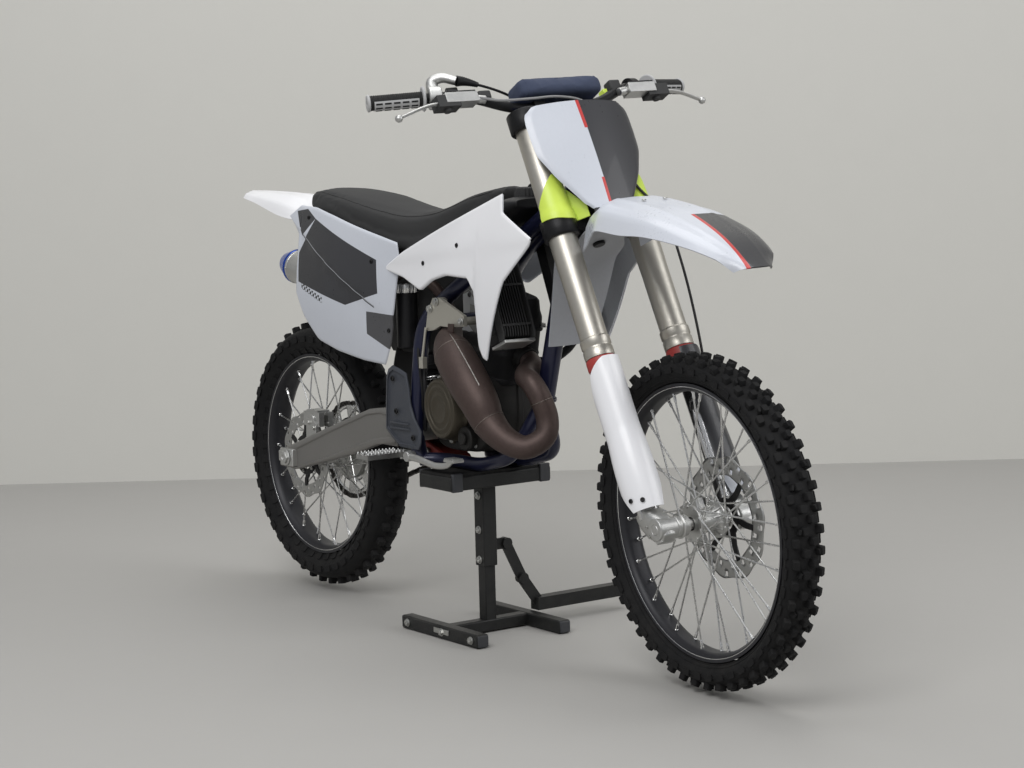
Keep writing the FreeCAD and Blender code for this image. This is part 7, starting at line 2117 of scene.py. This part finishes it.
@dataclass(frozen=True)
class RearEnd:
    """Shock, linkage, swingarm, chain and foot controls."""

    pitch: float = 15.875
    drive_teeth: int = 13

    def shock(self) -> None:
        """The damper with its spring, adjuster ring and reservoir with a knurled cap."""
        top, low = np.array([500, 0, 636.0]), np.array([520, 0, 420.0])
        turn = aims(top - low)[0]
        n = 7 * 28 + 1
        coil = on_post(36, 30 + 150 * np.linspace(0, 1, n), np.arange(n) * TURN / 28)
        piece("shock_spring", tube(coil, 6, 12).moved(low, turn), BIKE, POLISHED)
        body = turned([(12, -8), (16, 0), (16, 24), (40, 25), (41, 30), (26, 33), (26, 178), (41, 180), (42, 192),
                       (30, 194), (30, 214), (14, 222)], 40)
        node_piece("shock", body.moved(low, turn), BIKE, BLACK_METAL, "black_metal", bevel=0.6)
        can = turned([(22, 656), (25, 659), (25, 786), (24, 787)], 40).moved([519, -80, 0])
        arm = tube(smooth([(519, -76, 690), (512, -50, 676), (505, -20, 640)], 12), 11, 16)
        piece("shock_reservoir", can + arm, BIKE, BLACK_METAL)
        levels = [(0.95, 786), (1, 788), (1, 800), (0.96, 806), (0.6, 806), (0.55, 802), (0.1, 802)]
        piece("reservoir_cap", fluted((519, -80), 27.5, 0.7, 36, levels), BIKE, POLISHED)

    def linkage(self) -> None:
        """Red rocker and link arms with their pivots."""
        rocker = plate([(486, 420), (506, 436), (544, 424), (604, 402), (604, 378), (560, 374), (506, 386)], -33, 33)
        pins = joined(rod((x, -40, z), (x, 40, z), r) for x, z, r in ((520, 403.75, 13), (586, 387.75, 12)))
        node_piece("linkage", rocker, BIKE, RED_METAL, "link_red", bevel=4)
        piece("linkage_pins", pins, BIKE, STEEL)

    def arms(self) -> None:
        """Cast swingarm: tapering arms with a long sunk panel, cross brace, necks and adjusters."""
        q = np.array([(0, .02), (.02, .24), (.108, .33), (.42, .64), (.754, .96), (.862, 1), (1, .92), (1, .60),
                      (.90, .56), (.797, .52), (.625, .36), (.36, .16), (.129, 0)])
        outline = np.column_stack([-52 + 582 * q[:, 0], 322 + 190 * q[:, 1]])
        along = np.interp(outline[:, 0], [-52, 24, 318, 530], [328, 348, 440, 482])

        def drawn_in(k: float) -> Array:
            """The outline drawn towards the arm's middle line, and a quarter as much towards its middle."""
            return np.column_stack([outline[:, 0] + (240 - outline[:, 0]) * (1 - k) * 0.25,
                                    along + (outline[:, 1] - along) * k])

        sides = [(86, .90), (90, 1.0), (109, 1.0), (112.5, .93), (113.5, .84), (113.5, .74), (109.5, .66),
                 (109.5, .1)]
        arm = lofted([np.insert(drawn_in(k), 1, y, axis=1) for y, k in sides])
        block = box([-30, 84, 330], [32, 123, 374]) + box([-46, 88, 338], [-28, 118, 366])
        cross = box([402, -90, 420], [476, 90, 480])
        node_piece("swingarm", arm.both() + cross, BIKE, SWING_CAST, "cast_silver", bevel=2.0)
        piece("axle_blocks", block.both(), BIKE, CAST, bevel=2.5)
        necks = plate([(460, 446), (552, 446), (576, 452), (582, 470), (560, 482), (460, 480)], 43, 62)
        pivot = rod((575, -96, 462), (575, 96, 462), 19, 32)
        piece("swingarm_pivot", necks.both() + pivot, BIKE, SWING_CAST, bevel=1.5)
        bolts = joined(rod((-60, s * 103, 352), (-44, s * 103, 352), 4, 12) for s in (1, -1))
        nuts = hexes([[-52, s * 103, 352] for s in (1, -1)], (-1, 0, 0), 10, 7)
        ends = np.array([[0, 124, 352], [0, -124, 352]])
        axle = rod(ends[1], ends[0], 12.5) + hexes(ends, [[0, 1, 0], [0, -1, 0]], 30, 9)
        spacers = joined(pipe_ring([0, a, 352], [0, b, 352], 20, 12.6)
                         for a, b in ((60.5, 85.5), (-85.5, -60.5)))
        node_piece("rear_axle", axle + spacers, BIKE, CAST, "cast_silver", bevel=0.6)
        piece("chain_adjusters", bolts + nuts, BIKE, ZINC)

    def chain(self) -> None:
        """Roller chain: plates and rollers spaced by the pitch along the loop round both sprockets."""
        r1, r2 = 121.4, 33.2
        c1, c2 = np.array([0, 352.0]), np.array([622, 470.0])
        d = c2 - c1
        angle, reach = math.atan2(d[1], d[0]), float(np.linalg.norm(d))
        tip = math.acos((r1 - r2) / reach)

        def arc(c: Array, r: float, start: float, stop: float) -> Array:
            """Points on a circle between two angles."""
            t = np.linspace(start, stop, 60)
            return np.column_stack([c[0] + r * np.cos(t), c[1] + r * np.sin(t)])

        loop = np.vstack([arc(c1, r1, angle + tip, angle + TURN - tip),
                          arc(c2, r2, angle - tip, angle + tip)])
        loop = np.vstack([loop, loop[:1]])
        lengths = np.concatenate([[0], np.cumsum(np.linalg.norm(np.diff(loop, axis=0), axis=1))])
        count = int(round(lengths[-1] / self.pitch / 2)) * 2
        s = np.arange(count + 1) * lengths[-1] / count
        x, z = np.interp(s, lengths, loop[:, 0]), np.interp(s, lengths, loop[:, 1])
        way = unit(np.column_stack([np.diff(x), np.zeros(count), np.diff(z)]))
        turns = np.stack([way, np.tile([0, 1.0, 0], (count, 1)), np.cross(way, [0, 1, 0])], -1)
        t, p = around(12), self.pitch
        eight = np.column_stack([p / 2 + (p / 2 + 5.6) * np.cos(t),
                                 6.6 * np.sin(t) * (0.78 + 0.22 * np.abs(np.cos(t)))])
        inner = plate(eight, -5.0, -3.2) + plate(eight, 3.2, 5.0)
        outer = plate(eight, -7.2, -5.3) + plate(eight, 5.3, 7.2)
        flip = np.array([[1.0, 0, 0], [0, 0, 1], [0, -1, 0]])
        roller = turned([(4.6, -3.1), (5, -2.8), (5, 2.8), (4.6, 3.1)], 12).moved([0, 0, 0], flip)
        pin = turned([(2.5, -8.6), (2.5, 8.6)], 8).moved([0, 0, 0], flip)
        at = np.column_stack([x[:-1], np.full(count, 74.0), z[:-1]])
        shape = joined([repeated(inner, turns[::2], at[::2]), repeated(outer, turns[1::2], at[1::2]),
                        repeated(roller + pin, turns, at)])
        node_piece("chain", shape, BIKE, DARK_STEEL, "chain_steel")
        a = around(self.drive_teeth * 8)
        edge = r2 + 0.6 + 4.2 * np.clip(np.cos(a * self.drive_teeth) * 1.4, -1, 1)
        rings = [on_side(k * edge, y, a, (622, 470)) for k, y in ((0.4, 71.2), (1, 71.2), (1, 76.8), (0.4, 76.8))]
        piece("drive_sprocket", lofted(rings), BIKE, STEEL)

    def guide(self) -> None:
        """Chain guide: two cheeks with a block between them and bolts."""
        q = [(130, 300), (150, 262), (170, 252), (204, 268), (210, 310), (202, 360), (190, 375), (150, 372)]
        cheeks = plate(q, 61, 66) + plate(q, 81, 86)
        block = plate([(140, 290), (154, 262), (200, 272), (202, 292), (170, 300)], 66, 81)
        node_piece("chain_guide", cheeks + block, BIKE, BLACK_PLASTIC, "black_plastic", bevel=1.5)
        spots = [[x, 86, z] for x, z in ((160, 345), (192, 330), (172, 268))]
        piece("guide_bolts", hexes(spots, (0, 1, 0), 8, 4), BIKE, ZINC)

    def pedals(self) -> None:
        """Foot pegs with serrated rims, brake pedal and shift lever."""
        bars = [box([x0, y0, 402], [x1, y1, z]) for x0, x1, y0, y1, z in (
            (474, 526, 100, 108, 414), (474, 526, 198, 205, 414), (474, 481, 100, 205, 414),
            (519, 526, 100, 205, 414), (497, 503, 100, 205, 412), (474, 526, 132, 138, 412),
            (474, 526, 166, 172, 412))]
        spike = turned([(3.6, 0), (2.6, 4), (0.8, 7)], 4)
        y = np.linspace(104, 201, 11)
        at = np.vstack([np.column_stack([np.full(11, x), y, np.full(11, 413.0)]) for x in (477.5, 522.5, 500)])
        spikes = rowed(spike, at)
        bracket = box([512, 92, 398], [575, 104, 420]) + rod((516, 104, 396), (516, 104, 420), 5, 12)
        node_piece("foot_controls", (joined(bars) + spikes + bracket).both(), BIKE, STEEL, "peg_steel", bevel=0.8)
        arm = smooth([(590, -134, 412), (640, -136, 410), (700, -136, 402), (748, -134, 406), (772, -134, 420)], 30)
        pedal = tube(arm, np.linspace(9, 6.5, 30), 16, 0.7)
        tip = box([759, -150, 417], [798, -120, 423])
        teeth = rowed(box([0, -149, 422], [2.4, -121, 426]), np.outer(np.linspace(761, 793, 5), [1, 0, 0]))
        pivot = rod((590, -142, 412), (590, -118, 412), 12, 24)
        piece("brake_pedal", pedal + tip + teeth + pivot, BIKE, CAST, bevel=0.6)
        shaft = rod((684, 80, 468), (684, 146, 468), 10, 24)
        lever = tube(smooth([(684, 138, 468), (722, 142, 462), (760, 140, 455)], 16), np.linspace(8, 5.5, 16), 16)
        toe = rod((760, 136, 455), (760, 164, 455), 8, 20)
        piece("shift_lever", shaft + lever + toe, BIKE, CAST)

    def build(self) -> None:
        """Makes every piece of the rear end."""
        self.shock()
        self.linkage()
        self.arms()
        self.chain()
        self.guide()
        self.pedals()


@dataclass(frozen=True)
class Stand:
    """The black lift stand."""

    def build(self) -> None:
        """Makes the stand's tubes, platform with a rubber mat, links and pedal, and its zinc bolts."""
        feet = box([535, 99.5, 0], [845, 130.5, 31]).both()
        cross = box([686, -116, 2], [718, 116, 30])
        node_piece("stand_base", feet + cross, BIKE, STAND_PAINT, "stand_black", bevel=3.5)
        caps = joined(box([x, 101, 2], [x + 4, 129, 29]) for x in (532, 844)).both()
        piece("stand_caps", caps, BIKE, CORNER, bevel=2)
        inner = box([687.5, -14.5, 20], [716.5, 14.5, 250])
        outer = box([683.5, -18.5, 155], [720.5, 18.5, 348])
        node_piece("stand_post", inner + outer, BIKE, STAND_PAINT, "stand_black", bevel=2)
        deck = box([641, -140, 348], [771, 140, 380])
        node_piece("stand_platform", deck, BIKE, STAND_PAINT, "stand_black", bevel=3)
        mat = box([644, -137, 380], [768, 137, 386])
        ridges = rowed(box([650, -136, 385.6], [653, 136, 387]), np.outer(np.arange(14) * 8.0, [1, 0, 0]))
        piece("stand_mat", mat + ridges, BIKE, RUBBER_MAT, bevel=0.5)
        pads = joined(box([x, s * 122 - 14, 346], [x + 10, s * 122 + 14, 388]) for x in (636, 764)
                      for s in (1, -1))
        piece("stand_corners", pads, BIKE, CORNER, bevel=2)
        dressed("stand_lever", STAND_PAINT)
        spots = [[x, -131, 16] for x in (560, 702, 820)] + [[702, -19, z] for z in (170, 240, 320)]
        piece("stand_bolts", hexes(spots, (0, -1, 0), 13, 6), BIKE, ZINC)
        piece("stand_strip", box([672, -133, 12], [732, -130.6, 24]), BIKE, ZINC, bevel=0.8)


@dataclass(frozen=True)
class Studio:
    """Pale floor and wall, soft lamps and the photo's camera."""

    floor: Colour = (0.40, 0.39, 0.37)
    wall: Colour = (0.62, 0.61, 0.57)

    def plane(self, name: str, points: Sequence[Sequence[float]], colour: Colour) -> bpy.types.Object:
        """Makes one flat sheet of the room with a quiet speckle.

        Args:
            name: its name.
            points: four corners.
            colour: its colour.

        Returns:
            The object.
        """
        mesh = bpy.data.meshes.new(name)
        mesh.from_pydata([tuple(p) for p in points], [], [(0, 1, 2, 3)])
        made = placed(name, mesh)
        paint = Finish(name + "_paint", colour, 0.8, spread=0.03, relief=0.02, dust=0.0)
        mesh.materials.append(paint.material())
        return made

    def one_sided(self, made: bpy.types.Object) -> None:
        """Lets a sheet show from its front only, so that the bike can be seen from behind it too.

        Args:
            made: the sheet.
        """
        tree = made.data.materials[0].node_tree
        g = Graph(tree)
        front = g.maths("SUBTRACT", 1.0, g.add("NewGeometry", {}).outputs["Backfacing"])
        shader = next(node for node in tree.nodes if node.type == "BSDF_PRINCIPLED")
        tree.links.new(front, shader.inputs["Alpha"])

    def lamp(self, name: str, at: Sequence[float], aim: Sequence[float], size: float, power: float) -> None:
        """Hangs one square soft lamp.

        Args:
            name: the lamp's name.
            at: its place.
            aim: the point that it faces.
            size: its side in metres.
            power: its power in watts.
        """
        data = bpy.data.lights.new(name, "AREA")
        data.size, data.energy = size, power
        made = placed(name, data)
        made.location = at
        made.rotation_euler = (Vector(aim) - Vector(at)).to_track_quat("-Z", "Y").to_euler()

    def camera(self) -> None:
        """Sets the camera at the photo's place, turn and lens."""
        data = bpy.data.cameras.new("camera")
        data.lens, data.sensor_width = 77.6, 36.0
        data.clip_start, data.clip_end = 0.1, 60
        made = placed("camera", data)
        look = Vector((-0.8094, 0.578, -0.1038)).normalized()
        right = Vector((0.5831, 0.812, -0.0256))
        right = (right - look * right.dot(look)).normalized()
        up = right.cross(look)
        turn = Matrix((right, up, -look)).transposed().to_4x4()
        made.matrix_world = Matrix.Translation((4.116, -2.876, 1.102)) @ turn
        bpy.context.scene.camera = made

    def build(self) -> None:
        """Makes the room, the lamps and the camera."""
        n, f = -0.001, 9.0
        floor = self.plane("floor", [(-f, -f, n), (f, -f, n), (f, f, n), (-f, f, n)], self.floor)
        away = Vector((-0.8094, 0.578, 0)).normalized()
        side = Vector((0.5831, 0.812, 0)).normalized()
        middle = away * 2.6
        corners = [middle - side * 9 + Vector((0, 0, n)), middle + side * 9 + Vector((0, 0, n)),
                   middle + side * 9 + Vector((0, 0, 7)), middle - side * 9 + Vector((0, 0, 7))]
        wall = self.plane("wall", corners, self.wall)
        self.one_sided(wall)
        self.lamp("lamp_key", (2.6, -3.6, 4.6), (0, 0, 0.5), 3.0, 168)
        self.lamp("lamp_fill", (4.2, 3.0, 3.0), (0, 0, 0.5), 3.0, 72)
        self.lamp("lamp_top", (-0.4, 0.2, 4.8), (0, 0, 0.4), 3.2, 78)
        world = bpy.data.worlds.new("room")
        bpy.context.scene.world = world
        world.use_nodes = True
        world.node_tree.nodes["Background"].inputs[0].default_value = (0.80, 0.82, 0.86, 1)
        world.node_tree.nodes["Background"].inputs[1].default_value = 0.50
        bpy.context.scene.view_settings.view_transform = "Standard"
        self.camera()


def main() -> None:
    """Builds the bike in order."""
    logging.basicConfig(level=logging.INFO, format="%(message)s")
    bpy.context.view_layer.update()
    build_groups()
    for part in (FRONT, BACK, Sprocket(), Fork(), Nose(), Cockpit(), Brakes(), Frame(), Engine(), Exhaust(),
                 Cooling(), Bodywork(), RearEnd(), Stand(), Studio()):
        part.build()
        log.info("built %s", type(part).__name__)


if __name__ == "__main__":
    main()
